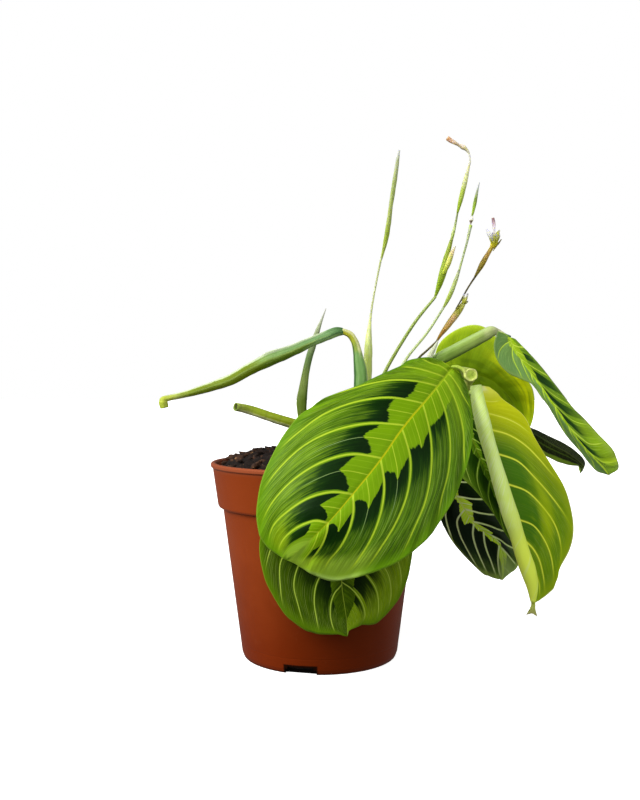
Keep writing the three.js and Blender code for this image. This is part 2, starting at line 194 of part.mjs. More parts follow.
  leaf_dark_low: {
    mid: [[58.6,6.0,92.57],[61.75,6.81,87.54],[65.0,7.05,82.64],[68.34,6.45,77.99],[71.53,5.32,73.38],[74.44,4.16,68.62],[77.69,4.15,63.83],[82.32,4.85,60.07],[87.25,5.65,56.63],[90.94,5.97,52.13],[92.5,6.5,46.4],[93.06,8.33,40.19],[93.15,10.02,33.97]],
    L: [
      [0.0,0.0,[[58.6,6.0,92.57],[57.79,6.16,91.97],[57.0,6.35,91.35],[56.29,6.57,90.64],[55.66,6.83,89.85],[55.04,7.09,89.05]]],
      [1.0,0.1367,[[63.8,7.07,84.37],[60.58,7.83,82.01],[58.46,8.59,78.61],[58.0,8.71,74.6],[59.27,8.27,70.84],[60.9,7.75,67.23]]],
      [2.0,0.2613,[[68.78,6.32,77.37],[64.96,6.76,73.79],[63.64,6.88,68.8],[64.31,6.84,63.59],[65.91,7.12,58.51],[67.68,7.95,53.36]]],
      [3.0,0.3758,[[73.09,4.69,71.0],[69.36,5.12,65.2],[70.79,5.9,58.07],[74.03,7.12,51.36],[77.78,8.86,44.72],[81.81,10.93,38.07]]],
      [4.0,0.4958,[[77.49,4.12,64.05],[77.12,4.8,58.26],[78.59,5.9,52.52],[80.92,7.29,46.92],[83.61,9.03,41.35],[86.31,10.34,35.84]]],
      [5.0,0.5858,[[82.46,4.88,59.96],[82.92,5.08,54.86],[84.31,5.7,49.84],[86.45,6.82,44.91],[88.47,8.47,39.77],[90.44,9.9,34.63]]],
      [6.0,0.7402,[[90.66,5.98,52.76],[90.18,5.55,49.3],[90.11,6.27,45.61],[90.61,7.58,41.8],[91.32,8.83,38.0],[92.15,9.91,34.23]]],
      [7.0,1.0,[[93.15,10.02,33.97],[93.15,10.02,33.97],[93.15,10.02,33.97],[93.15,10.02,33.97],[93.15,10.02,33.97],[93.15,10.02,33.97]]],
    ],
    R: [
      [0.0,0.0,[[58.6,6.0,92.57],[59.73,5.97,92.62],[60.86,5.97,92.64],[61.99,6.02,92.49],[63.08,6.1,92.12],[64.15,6.2,91.7]]],
      [1.0,0.1367,[[63.8,7.07,84.37],[66.55,6.84,84.41],[69.31,6.77,84.41],[72.09,6.87,84.32],[74.91,7.15,84.17],[77.75,7.6,84.0]]],
      [2.0,0.2613,[[68.78,6.32,77.37],[72.34,5.92,76.69],[75.97,5.91,76.05],[79.74,6.46,75.71],[83.61,7.51,75.6],[87.56,8.85,75.49]]],
      [3.0,0.3758,[[73.09,4.69,71.0],[77.14,4.51,69.9],[81.37,5.29,68.74],[85.82,6.78,67.93],[90.44,8.8,67.47],[95.16,11.11,67.03]]],
      [4.0,0.482,[[76.83,4.05,64.78],[81.41,4.75,63.66],[86.02,5.99,62.16],[90.55,7.51,60.17],[95.44,9.72,58.71],[100.62,12.48,57.87]]],
      [5.0,0.6137,[[84.06,5.13,58.74],[87.7,5.8,56.9],[91.32,6.67,54.9],[94.7,7.8,52.35],[98.68,10.12,50.18],[103.13,13.04,48.67]]],
      [6.0,0.756,[[91.09,5.95,51.75],[93.05,6.46,49.71],[95.1,7.58,47.52],[97.1,8.92,45.18],[99.1,10.21,42.85],[101.09,11.36,40.54]]],
      [7.0,0.8999,[[92.97,7.96,41.45],[93.81,8.35,40.68],[94.65,8.76,39.89],[95.48,9.17,39.09],[96.18,9.57,38.18],[96.76,9.94,37.2]]],
      [8.0,1.0,[[93.15,10.02,33.97],[93.15,10.02,33.97],[93.15,10.02,33.97],[93.15,10.02,33.97],[93.15,10.02,33.97],[93.15,10.02,33.97]]],
    ],
  },
  leaf_back_olive: {
    mid: [[62.03,18.0,132.85],[66.53,18.93,135.75],[71.47,20.14,137.94],[76.74,20.98,139.05],[81.99,21.04,138.51],[86.9,20.59,136.76],[91.32,20.06,134.03],[95.4,20.32,130.61],[99.03,21.31,126.57],[101.98,22.39,122.0],[104.13,22.92,117.08],[105.39,22.62,111.94],[106.38,22.0,106.78]],
    L: [
      [0.0,0.0,[[62.03,18.0,132.85],[60.96,17.91,133.84],[59.92,17.95,134.86],[59.06,18.1,136.0],[58.38,18.33,137.27],[57.75,18.62,138.56]]],
      [1.0,0.0576,[[65.12,18.57,134.86],[63.64,18.84,138.57],[62.43,19.76,142.35],[61.97,21.02,146.33],[61.96,22.28,150.38],[61.96,23.34,154.44]]],
      [2.0,0.1304,[[69.26,19.63,137.11],[69.02,20.43,142.44],[69.07,21.77,147.8],[70.17,23.2,153.11],[72.0,24.49,158.26],[73.87,25.64,163.41]]],
      [3.0,0.2372,[[75.92,20.9,138.99],[77.27,21.58,144.11],[78.81,22.66,149.21],[80.84,23.91,154.2],[83.19,25.13,159.08],[85.54,26.18,163.96]]],
      [4.0,0.3363,[[82.18,21.04,138.47],[84.68,21.2,141.67],[87.24,21.64,144.87],[89.96,22.29,147.99],[92.81,23.03,151.03],[95.68,23.74,154.06]]],
      [5.0,0.4464,[[88.53,20.38,135.88],[91.22,20.12,137.47],[93.99,20.08,138.99],[97.0,20.09,139.99],[100.13,20.09,140.43],[103.29,20.1,140.79]]],
      [6.0,0.567,[[94.63,20.19,131.33],[97.66,20.06,131.78],[100.71,20.03,132.19],[103.8,20.02,132.39],[106.89,20.01,132.37],[109.98,20.0,132.32]]],
      [7.0,0.7063,[[100.53,21.85,124.45],[102.85,21.71,124.6],[105.19,21.66,124.59],[107.47,21.77,123.94],[109.64,21.94,122.93],[111.77,21.98,121.89]]],
      [8.0,0.8514,[[104.48,22.92,115.97],[105.79,22.66,115.68],[107.08,22.42,115.3],[108.18,22.19,114.52],[109.07,21.95,113.5],[109.95,21.69,112.47]]],
      [9.0,1.0,[[106.38,22.0,106.78],[106.38,22.0,106.78],[106.38,22.0,106.78],[106.38,22.0,106.78],[106.38,22.0,106.78],[106.38,22.0,106.78]]],
    ],
    R: [
      [0.0,0.0,[[62.03,18.0,132.85],[62.23,18.18,131.73],[62.49,18.46,130.62],[62.99,18.82,129.58],[63.65,19.25,128.62],[64.34,19.73,127.66]]],
      [1.0,0.0941,[[67.14,19.09,136.1],[68.58,19.57,132.54],[70.08,20.77,128.96],[71.52,22.46,125.29],[72.94,24.44,121.57],[74.37,26.47,117.81]]],
      [3.0,0.2372,[[75.92,20.9,138.99],[77.94,21.22,133.39],[80.04,22.72,127.73],[81.91,25.15,121.89],[83.54,27.6,115.94],[85.03,29.2,109.96]]],
      [5.0,0.4464,[[88.53,20.38,135.88],[89.5,21.14,129.88],[90.71,23.2,123.81],[91.92,25.42,117.69],[93.01,27.1,111.52],[93.96,28.0,105.37]]],
      [7.0,0.6642,[[98.93,21.28,126.7],[99.7,22.56,122.18],[100.34,23.58,117.63],[100.52,24.23,113.07],[100.36,24.67,108.51],[100.18,25.12,103.94]]],
      [8.0,0.8514,[[104.48,22.92,115.97],[104.48,22.95,113.92],[104.46,22.9,111.87],[104.45,22.82,109.82],[104.46,22.76,107.77],[104.49,22.81,105.71]]],
      [9.0,1.0,[[106.38,22.0,106.78],[106.38,22.0,106.78],[106.38,22.0,106.78],[106.38,22.0,106.78],[106.38,22.0,106.78],[106.38,22.0,106.78]]],
    ],
  },
  leaf_folded_right: {
    mid: [[93.55,-2.0,157.21],[96.53,-2.83,150.89],[100.04,-3.93,144.9],[104.03,-5.1,139.3],[108.15,-6.27,133.82],[111.91,-6.9,128.03],[115.86,-7.4,122.36],[119.71,-7.9,116.63],[123.75,-7.5,110.82],[128.16,-6.88,105.21],[132.93,-6.25,99.87],[137.84,-5.62,94.61],[142.52,-5.0,89.13]],
    L: [
      [0.0,0.0,[[93.55,-2.0,157.21],[92.5,-2.24,157.97],[91.44,-2.52,158.72],[90.28,-2.83,159.32],[89.03,-3.16,159.72],[87.76,-3.5,160.08]]],
      [0.5,0.0127,[[93.94,-2.13,156.21],[91.95,-2.4,156.45],[89.94,-2.73,156.44],[88.02,-3.09,155.84],[86.65,-3.47,154.44],[85.76,-3.87,152.66]]],
      [1.0,0.0254,[[94.31,-2.25,155.21],[92.05,-2.56,154.01],[90.1,-2.94,152.38],[88.62,-3.35,150.3],[87.91,-3.78,147.89],[87.63,-4.23,145.4]]],
      [1.5,0.0386,[[94.74,-2.39,154.19],[93.03,-2.73,151.55],[91.92,-3.16,148.63],[91.54,-3.62,145.54],[91.95,-4.11,142.48],[92.66,-4.61,139.48]]],
      [2.0,0.0524,[[95.25,-2.52,153.14],[94.87,-2.91,149.5],[95.42,-3.39,145.9],[96.86,-3.9,142.6],[98.5,-4.44,139.4],[99.73,-5.01,136.01]]],
      [3.0,0.1349,[[98.7,-3.49,147.18],[99.62,-3.9,144.34],[100.61,-4.4,141.53],[101.71,-4.94,138.78],[102.98,-5.51,136.12],[104.4,-6.1,133.56]]],
      [4.0,0.2412,[[103.6,-4.98,139.88],[104.21,-5.21,137.26],[105.06,-5.49,134.73],[106.33,-5.79,132.39],[107.62,-6.11,130.07],[108.87,-6.45,127.73]]],
      [5.0,0.3511,[[108.95,-6.51,132.6],[109.6,-6.31,129.88],[110.57,-6.06,127.24],[111.83,-5.8,124.71],[113.1,-5.52,122.18],[114.39,-5.23,119.66]]],
      [6.0,0.4863,[[115.21,-7.32,123.29],[115.99,-6.81,120.24],[117.25,-6.19,117.32],[118.76,-5.52,114.49],[120.14,-4.82,111.58],[121.49,-4.08,108.64]]],
      [7.0,0.6213,[[121.49,-7.84,113.97],[122.66,-7.19,110.99],[124.32,-6.39,108.2],[126.23,-5.53,105.52],[127.86,-4.63,102.65],[129.43,-3.69,99.74]]],
      [8.0,0.7801,[[129.83,-6.65,103.24],[130.95,-6.06,100.79],[132.57,-5.34,98.57],[134.29,-4.56,96.38],[135.44,-3.73,93.87],[136.46,-2.88,91.3]]],
      [9.0,1.0,[[142.52,-5.0,89.13],[142.57,-4.84,89.11],[142.63,-4.65,89.1],[142.69,-4.44,89.07],[142.76,-4.23,89.05],[142.83,-4.0,89.03]]],
    ],
    R: [
      [0.0,0.0,[[93.55,-2.0,157.21],[94.21,-1.76,157.05],[94.88,-1.48,156.89],[95.54,-1.17,156.67],[96.2,-0.84,156.43],[96.86,-0.5,156.19]]],
      [1.0,0.0578,[[95.47,-2.58,152.74],[98.24,-2.15,150.79],[101.19,-1.63,149.08],[104.16,-1.07,147.37],[106.84,-0.48,145.23],[109.44,0.14,142.98]]],
      [2.0,0.1266,[[98.36,-3.37,147.77],[101.97,-2.77,144.66],[105.78,-2.02,141.74],[109.68,-1.22,138.89],[113.6,-0.38,136.01],[117.54,0.49,133.13]]],
      [3.0,0.2412,[[103.6,-4.98,139.88],[107.51,-4.19,135.89],[111.84,-3.23,132.27],[116.41,-2.19,128.89],[121.13,-1.1,125.62],[125.93,0.04,122.41]]],
      [4.0,0.3631,[[109.49,-6.58,131.77],[113.35,-5.68,127.41],[117.61,-4.58,123.34],[122.22,-3.4,119.58],[127.54,-2.15,116.79],[133.24,-0.85,114.65]]],
      [5.0,0.5057,[[116.13,-7.43,121.97],[119.88,-6.49,117.81],[123.94,-5.34,113.84],[128.36,-4.09,110.17],[133.8,-2.78,108.25],[139.63,-1.42,107.59]]],
      [6.0,0.6517,[[122.98,-7.61,111.85],[126.49,-6.68,108.15],[130.36,-5.54,104.7],[134.59,-4.3,101.6],[139.72,-3.01,100.84],[144.93,-1.66,101.82]]],
      [7.0,0.7844,[[130.08,-6.62,102.96],[132.96,-5.78,100.21],[136.17,-4.76,97.75],[139.77,-3.66,95.78],[143.84,-2.5,95.29],[147.96,-1.3,95.74]]],
      [8.0,0.8921,[[136.39,-5.81,96.17],[138.3,-5.19,94.52],[140.42,-4.44,93.06],[142.75,-3.62,91.91],[145.34,-2.77,91.58],[147.96,-1.87,91.75]]],
      [9.0,1.0,[[142.52,-5.0,89.13],[142.58,-4.81,89.11],[142.65,-4.58,89.09],[142.73,-4.33,89.06],[142.81,-4.07,89.04],[142.89,-3.8,89.01]]],
    ],
  },
  leaf_dark_folded: {
    mid: [[103.88,30.2,112.65],[107.34,29.58,111.12],[110.69,28.97,109.37],[113.87,28.35,107.34],[117.03,27.73,105.3],[120.19,27.12,103.28],[123.4,26.5,101.34],[126.79,26.25,99.57],[130.09,26.0,97.65],[133.21,25.75,95.43],[136.19,25.5,93.03],[138.65,25.25,90.22],[136.76,25.0,86.9]],
    L: [
      [0.0,0.0,[[103.88,30.2,112.65],[104.23,30.36,112.81],[104.59,30.55,112.96],[104.95,30.76,113.11],[105.32,30.97,113.24],[105.7,31.2,113.36]]],
      [2.0,0.3087,[[116.09,27.92,105.9],[116.37,28.36,106.35],[116.67,28.89,106.79],[117.03,29.47,107.22],[117.45,30.08,107.6],[117.91,30.72,107.98]]],
      [4.0,0.6477,[[129.36,26.06,98.12],[129.86,26.52,98.64],[130.38,27.08,99.15],[130.89,27.69,99.68],[131.36,28.33,100.23],[131.83,29.0,100.78]]],
      [6.0,0.8742,[[137.64,25.38,91.85],[137.95,25.7,92.15],[138.29,26.1,92.46],[138.65,26.53,92.75],[139.1,26.98,92.96],[139.58,27.45,93.12]]],
      [7.0,1.0,[[136.76,25.0,86.9],[136.78,25.08,86.9],[136.8,25.17,86.89],[136.83,25.28,86.88],[136.86,25.39,86.87],[136.89,25.5,86.86]]],
    ],
    R: [
      [0.0,0.0,[[103.88,30.2,112.65],[103.89,30.36,111.99],[103.93,30.55,111.33],[104.09,30.76,110.68],[104.35,30.97,110.05],[104.63,31.2,109.42]]],
      [1.0,0.1364,[[109.5,29.19,110.06],[109.51,29.56,108.12],[109.64,30.01,106.17],[110.17,30.5,104.27],[110.93,31.02,102.42],[111.7,31.55,100.57]]],
      [2.0,0.3087,[[116.09,27.92,105.9],[116.4,28.54,103.82],[116.82,29.31,101.73],[117.61,30.14,99.7],[118.68,31.01,97.77],[119.79,31.92,95.83]]],
      [3.0,0.481,[[122.66,26.64,101.76],[123.32,27.27,99.87],[124.07,28.04,97.97],[124.95,28.86,96.1],[125.88,29.74,94.23],[126.82,30.64,92.36]]],
      [4.0,0.6477,[[129.36,26.06,98.12],[130.0,26.69,96.66],[130.68,27.45,95.19],[131.41,28.28,93.72],[132.18,29.15,92.25],[132.96,30.06,90.77]]],
      [5.0,0.8013,[[135.04,25.6,93.95],[135.32,26.22,93.25],[135.64,26.98,92.55],[135.97,27.81,91.83],[136.32,28.67,91.11],[136.67,29.57,90.38]]],
      [6.0,0.9302,[[138.56,25.21,89.6],[138.12,25.48,89.43],[137.71,25.81,89.25],[137.29,26.17,89.09],[136.88,26.54,88.94],[136.47,26.93,88.8]]],
      [7.0,1.0,[[136.76,25.0,86.9],[136.78,25.08,86.9],[136.8,25.17,86.89],[136.83,25.28,86.88],[136.86,25.39,86.87],[136.89,25.5,86.86]]],
    ],
  },
};
// The roll of the half rolled leaf: axis x, y, z and radius, top to bottom.
const ROLL = [[72.62,-30.4,133.38,2.68],[73.66,-31.3,125.73,3.29],[75.72,-31.7,116.45,3.71],[78.11,-31.49,107.61,3.58],[80.95,-31.39,98.3,3.59],[83.75,-31.53,89.0,3.89],[86.71,-30.86,79.6,4.01],[89.82,-29.46,70.98,4.01],[92.83,-27.52,62.69,3.57],[95.81,-25.86,53.9,3.75],[98.84,-24.09,45.73,3.81],[101.14,-22.44,37.52,2.8],[101.84,-21.06,30.03,1.2]];
// The dried fork at its tip: rows of three points.
const TAIL = [[[100.97,-20.6,28.67],[102.03,-20.6,28.48],[102.98,-20.6,28.67]],[[100.31,-20.6,26.8],[101.75,-20.6,26.56],[102.99,-20.6,26.75]],[[98.61,-20.6,23.68],[101.14,-20.6,24.4],[103.87,-20.6,22.96]]];
// Stems, furled leaves, bracts and flower parts: [x, y, z, diameter] along each.
const STEMS = {
  petiole_front: [[62.0,-37.2,141.84,1.37],[63.87,-36.6,141.34,1.83],[65.95,-35.6,140.35,3.49],[68.05,-34.0,138.89,5.53],[69.82,-31.0,137.52,6.22],[70.62,-25.4,137.07,5.17],[70.18,-20.4,133.37,4.28],[67.67,-17.0,126.84,3.64],[58.27,-12.0,115.58,3.59],[49.66,-11.0,107.75,3.69],[36.0,-11.0,99.45,4.2],[36.0,-11.0,92.45,4.2]],
  petiole_low: [[11.48,-59.4,100.0,2.0],[11.66,-57.5,102.29,2.36],[12.29,-51.0,104.87,2.22],[13.71,-41.0,105.95,2.27],[15.43,-31.0,105.25,2.42],[17.13,-23.0,103.04,2.65],[19.0,-19.0,101.73,3.4],[19.0,-19.0,94.73,3.4]],
  petiole_right: [[74.7,-26.9,132.66,1.97],[75.64,-18.0,130.92,2.3],[74.05,-7.0,129.82,2.55],[69.3,4.0,126.92,2.81],[58.15,7.0,115.75,3.03],[49.48,6.0,106.71,3.23],[44.0,4.0,98.18,3.6],[44.0,4.0,91.18,3.6]],
  petiole_between: [[66.41,-11.2,123.03,1.65],[63.57,-5.0,121.67,1.97],[56.5,-2.5,115.66,2.28],[47.66,-2.0,107.2,2.48],[37.0,-2.0,100.22,3.0],[37.0,-2.0,93.22,3.0]],
  petiole_dark_low: [[58.24,6.4,93.04,1.72],[55.91,9.0,97.13,2.23],[53.3,13.0,99.63,2.35],[46.93,16.0,100.95,2.47],[38.0,18.0,99.87,2.8],[38.0,18.0,92.87,2.8]],
  petiole_olive: [[61.11,18.1,132.13,2.07],[55.91,18.5,125.1,2.48],[47.62,18.0,112.7,2.79],[30.0,20.5,101.9,3.2],[30.0,20.5,94.9,3.2]],
  petiole_dark_folded: [[103.72,31.2,112.93,1.7],[96.42,35.5,112.41,2.14],[80.45,36.0,110.24,2.36],[63.75,31.0,107.31,2.55],[50.09,27.0,101.74,2.63],[34.0,27.0,99.96,2.9],[34.0,27.0,92.96,2.9]],
  petiole_folded: [[93.87,-0.9,157.55,1.19],[92.31,2.8,158.22,2.3],[89.02,4.2,159.89,3.51],[85.78,3.2,160.24,5.5],[82.55,3.0,158.43,6.3],[76.09,3.2,154.95,6.5],[69.22,4.0,151.22,6.71],[63.35,5.0,148.25,6.53],[57.45,6.0,144.75,5.79],[51.04,7.0,135.95,4.54],[46.11,8.0,123.81,3.84],[41.17,9.0,109.58,3.75],[36.0,10.0,100.9,4.0],[36.0,10.0,93.9,4.0]],
  petiole_furled: [[11.7,4.15,160.24,1.8],[15.12,4.6,158.61,2.21],[17.45,5.0,155.27,3.21],[18.86,5.0,150.0,4.52],[19.93,4.0,143.46,6.11],[20.59,3.0,135.95,7.0],[19.77,1.0,124.98,6.48],[17.46,-1.0,112.61,5.46],[15.5,-2.0,104.6,5.0],[15.5,-2.0,97.6,5.0]],
  petiole_new: [[1.74,-9.0,109.1,3.12],[7.41,-8.8,106.64,2.93],[9.0,-9.5,104.36,3.0],[9.0,-9.5,97.36,3.0]],
  flower_stalk_1: [[31.17,14.0,197.41,0.97],[29.04,14.0,187.02,0.87],[26.89,13.6,175.26,0.92],[25.71,13.4,166.58,1.23],[25.1,13.2,159.94,2.35],[24.79,13.0,153.3,3.47],[24.58,12.8,146.15,3.88],[24.17,12.6,137.99,4.08],[23.56,12.4,125.74,3.88],[22.01,11.6,111.48,3.67],[20.5,10.5,104.37,3.6],[20.5,10.5,97.37,3.6]],
  bract_1: [[40.42,14.0,252.57,0.46],[39.61,14.0,248.0,1.02],[38.81,14.0,241.92,1.38],[37.4,14.0,232.79,1.48],[36.29,14.0,225.68,1.38],[35.08,14.0,216.54,1.79],[33.76,14.0,208.4,2.09],[32.34,14.0,201.79,1.58],[31.33,14.0,197.92,1.12]],
  flower_stalk_2: [[57.29,2.0,177.0,1.2],[48.54,3.0,166.17,1.4],[40.16,4.0,153.23,1.5],[32.73,5.0,139.96,1.61],[27.22,5.0,126.9,2.31],[24.17,4.0,113.37,3.01],[23.5,2.0,103.72,3.2],[23.5,2.0,96.72,3.2]],
  bract_2_lower: [[57.54,2.0,177.6,1.2],[58.67,2.0,180.78,2.29],[60.16,2.0,185.25,3.29],[61.84,2.0,190.72,3.88],[63.12,2.0,196.18,2.99],[64.49,2.0,201.64,2.09],[65.48,2.0,205.31,1.59]],
  bract_2_tip: [[63.33,0.5,189.06,1.19],[64.9,-0.3,193.41,2.08],[66.06,-0.4,197.85,1.78],[67.26,-0.2,202.07,0.5]],
  flower_stalk_2_top: [[65.63,2.0,205.81,1.19],[66.36,2.0,209.08,1.49],[67.25,2.0,212.55,1.09],[68.33,2.0,218.3,0.75]],
  bract_2_upper: [[68.42,2.0,218.8,0.9],[69.41,2.0,222.96,1.99],[70.68,2.0,227.91,2.39],[72.16,2.0,233.85,2.34],[73.43,2.0,239.29,1.59],[74.46,2.0,243.54,1.04]],
  flower_withered: [[74.56,2.0,244.04,0.99],[74.4,2.0,247.2,1.29],[73.4,2.0,249.67,1.59],[71.4,2.0,251.55,2.09],[68.82,2.0,252.83,1.29],[66.33,2.0,254.12,2.19],[63.54,2.0,255.99,1.99]],
  flower_stalk_3: [[60.45,-4.5,170.94,1.03],[52.88,-3.0,159.13,1.13],[43.18,-1.4,146.84,1.24],[35.83,-0.6,133.46,1.69],[31.33,-1.4,118.59,2.28],[28.5,-4.5,102.24,3.0],[28.5,-4.5,95.24,3.0]],
  bract_3_lower: [[60.69,-4.5,171.38,1.03],[62.21,-4.5,174.03,1.87],[64.15,-4.6,177.94,2.16],[65.68,-4.8,181.6,2.06],[67.02,-5.0,185.5,1.86],[68.25,-5.2,189.39,1.18]],
  flower_stalk_3_top: [[68.4,-5.2,189.83,0.98],[70.24,-5.5,196.69,0.93],[72.04,-5.8,203.48,1.03],[72.97,-6.0,207.84,1.27],[73.6,-6.0,210.47,1.37]],
  flower_white: [[73.64,-6.0,210.91,0.73],[73.83,-6.0,212.52,0.78],[74.12,-6.0,214.37,2.05],[74.41,-6.0,215.83,0.78]],
  bract_3_upper: [[74.46,-6.0,216.22,0.88],[75.08,-6.0,218.8,1.47],[75.85,-6.0,222.45,1.71],[76.82,-6.0,227.32,1.22],[77.87,-6.0,232.09,0.44]],
  flower_stalk_4: [[59.0,9.0,155.28,0.91],[54.31,9.5,150.9,0.96],[49.31,10.0,145.84,1.12],[41.63,9.0,132.91,1.93],[35.93,7.0,117.77,2.52],[29.5,5.0,102.61,3.0],[29.5,5.0,95.61,3.0]],
  bract_4_lower: [[59.26,9.0,155.68,1.01],[61.27,8.6,158.9,2.02],[64.75,8.2,163.52,3.13],[68.54,8.0,168.55,3.53],[71.56,8.0,172.79,2.73],[73.26,8.0,175.81,1.82],[74.72,8.0,179.23,0.5]],
  flower_stalk_4_top: [[68.86,6.8,172.29,0.6],[70.48,6.9,175.01,0.65],[72.31,7.1,178.25,0.71],[74.16,7.7,181.52,0.76],[76.29,8.2,184.89,0.81],[78.15,8.5,187.65,0.96]],
  bract_4_upper: [[78.35,8.5,188.0,1.06],[80.06,8.5,190.97,2.12],[82.37,8.5,195.0,2.68],[84.67,8.5,199.02,2.22],[86.58,8.5,202.34,1.92]],
  flower_calyx: [[86.78,8.5,202.8,2.02],[87.68,8.5,204.56,3.53],[88.38,8.5,206.77,3.73],[89.38,8.5,209.08,2.32],[90.58,8.5,211.3,0.5]],
  bract_thorn: [[89.8,8.2,203.91,0.76],[90.55,8.2,204.92,1.01],[91.75,8.2,206.63,0.45]],
  flower_petals: [[86.7,6.5,206.37,1.0],[85.6,6.0,208.2,2.11],[84.65,5.8,209.97,1.71],[83.85,5.8,211.47,0.6]],
  flower_purple: [[87.71,7.1,208.87,0.91],[87.68,7.0,211.86,1.21],[87.64,7.4,214.43,1.61],[87.26,7.6,217.17,1.31]],
  sheath_pale: [[58.67,1.4,155.07,0.6],[57.33,1.8,152.4,1.99],[55.8,2.3,149.42,2.7],[54.07,2.8,145.94,2.7],[51.74,4.3,141.46,1.5]],
  leaf_furled_long: [[10.6,4.0,159.98,2.0],[8.08,3.0,159.68,4.0],[3.07,2.0,157.64,4.74],[-3.9,1.0,154.86,4.73],[-14.79,-1.0,149.82,5.7],[-25.59,-3.0,145.57,6.91],[-34.83,-5.0,141.11,6.15],[-44.0,-7.0,135.94,5.63],[-52.21,-8.0,133.01,4.89],[-61.24,-10.0,130.1,3.89],[-68.88,-11.0,128.17,3.16],[-75.04,-12.0,126.74,2.91],[-75.82,-12.0,125.28,3.59],[-75.25,-12.0,122.57,3.01]],
  leaf_new_rolled: [[-40.28,-16.0,123.21,3.84],[-34.59,-15.0,121.74,4.14],[-27.92,-14.0,119.53,4.34],[-19.27,-13.0,116.59,4.55],[-9.64,-11.0,113.59,4.57],[1.06,-9.0,109.59,3.91]],
  leaf_spike: [[3.13,12.0,172.33,0.41],[1.1,12.0,167.0,1.22],[-1.19,11.0,160.84,2.54],[-3.48,11.0,153.74,3.56],[-5.5,10.0,147.11,3.65],[-7.01,9.0,140.0,3.85],[-8.26,8.0,131.9,4.55],[-9.01,7.0,124.84,5.3],[-8.49,6.0,116.8,4.54],[-6.96,5.0,107.78,4.02],[-7.0,4.0,105.58,3.6],[-7.0,4.0,98.58,3.6]],
};
const ROOTED = ["petiole_front","petiole_low","petiole_right","petiole_between","petiole_dark_low","petiole_olive","petiole_dark_folded","petiole_folded","petiole_furled","petiole_new","flower_stalk_1","flower_stalk_2","flower_stalk_3","flower_stalk_4","leaf_spike"]; // these go into the soil
const STEM_SIDES = { petiole_front: 10, petiole_folded: 10, petiole_furled: 10, leaf_furled_long: 10, leaf_new_rolled: 10, leaf_spike: 8, flower_stalk_1: 8, bract_2_lower: 8, sheath_pale: 8 };
const STEM_COLORS = {
  petiole_front: 0x9aa83c,
  petiole_low: 0x7a9a40,
  petiole_right: 0x7a9a40,
  petiole_between: 0x6a9238,
  petiole_dark_low: 0x58822f,
  petiole_olive: 0x7f9a3a,
  petiole_dark_folded: 0x4a6a28,
  petiole_folded: 0x86ab62,
  petiole_furled: 0x5d8a45,
  petiole_new: 0x9ab45a,
  leaf_furled_long: 0x5f8f35,
  leaf_new_rolled: 0xa9bd62,
  leaf_spike: 0x7d9a5c,
  flower_stalk_1: 0xa5b46e,
  bract_1: 0xa9bd68,
  flower_stalk_2: 0x75854a,
  bract_2_lower: 0x93aa3c,
  bract_2_tip: 0xa89a58,
  flower_stalk_2_top: 0x8a9460,
  bract_2_upper: 0x8fa544,
  flower_withered: 0xc49c82,
  flower_stalk_3: 0x8a9472,
  bract_3_lower: 0x97ab5c,
  flower_stalk_3_top: 0x8f9a78,
  flower_white: 0xe4e2da,
  bract_3_upper: 0x84996a,
  flower_stalk_4: 0x4a4a3e,
  bract_4_lower: 0x94763a,
  flower_stalk_4_top: 0x4e4a3a,
  bract_4_upper: 0x8a6a2c,
  flower_calyx: 0x8f9a30,
  bract_thorn: 0x6a6038,
  flower_petals: 0xdcdccb,
  flower_purple: 0x9a7f86,
  sheath_pale: 0xc9d4b4,
};

// ------------------------------------------------------------------ helpers
const wasm = await Module();
wasm.setup();
const V = (a) => new THREE.Vector3(a[0], a[1], a[2]);

// uniform Catmull-Rom through rows of numbers, at a fractional row index
function cr(rows, s) {
  const n = rows.length;
  const i = Math.min(Math.max(Math.floor(s), 0), n - 2);
  const f = s - i;
  const b = rows[i], c = rows[i + 1];
  const a = i > 0 ? rows[i - 1] : b.map((v, k) => 2 * v - c[k]);
  const d = i + 2 < n ? rows[i + 2] : c.map((v, k) => 2 * v - b[k]);
  return b.map((v, k) => 0.5 * (2 * v + (c[k] - a[k]) * f + (2 * a[k] - 5 * v + 4 * c[k] - d[k]) * f * f + (3 * v - a[k] - 3 * c[k] + d[k]) * f * f * f));
}

function rowIndex(taus, t) {
  let i = 0;
  while (i < taus.length - 2 && taus[i + 1] < t) i++;
  return i + Math.min(Math.max((t - taus[i]) / (taus[i + 1] - taus[i]), 0), 1);
}

// a point of one half of a blade: t runs along the midrib, u from the midrib (0) to the edge (1)
function halfPoint(leaf, side, t, u) {
  const rows = leaf[side];
  const s = rowIndex(rows.map((r) => r[1]), t);
  const flat = cr(rows.map((r) => r[2].flat()), s);
  const pts = [];
  for (let k = 0; k < flat.length; k += 3) pts.push(flat.slice(k, k + 3));
  const m = cr(leaf.mid, t * (leaf.mid.length - 1));
  const fix = m.map((v, k) => v - pts[0][k]);
  const p = cr(pts, u * (pts.length - 1));
  return V(p.map((v, k) => v + fix[k] * (1 - u) * (1 - u)));
}

// stations along the midrib, closer together where the outline is long
function stations(leaf, sides, count) {
  const N = 240;
  const w = [0];
  const edge = (t) => sides.map((sd) => halfPoint(leaf, sd, t, 1));
  let last = edge(0), lm = V(leaf.mid[0]);
  for (let i = 1; i <= N; i++) {
    const now = edge(i / N), m = V(cr(leaf.mid, (i / N) * (leaf.mid.length - 1)));
    let d = 0.35 * m.distanceTo(lm);
    now.forEach((p, k) => { d += p.distanceTo(last[k]); });
    w.push(w[i - 1] + d);
    last = now;
    lm = m;
  }
  const out = [];
  for (let k = 0; k <= count; k++) {
    const want = (w[N] * k) / count;
    let i = 1;
    while (i < N && w[i] < want) i++;
    out.push((i - 1 + (want - w[i - 1]) / (w[i] - w[i - 1])) / N);
  }
  out[0] = 0;
  out[count] = 1;
  return out;
}

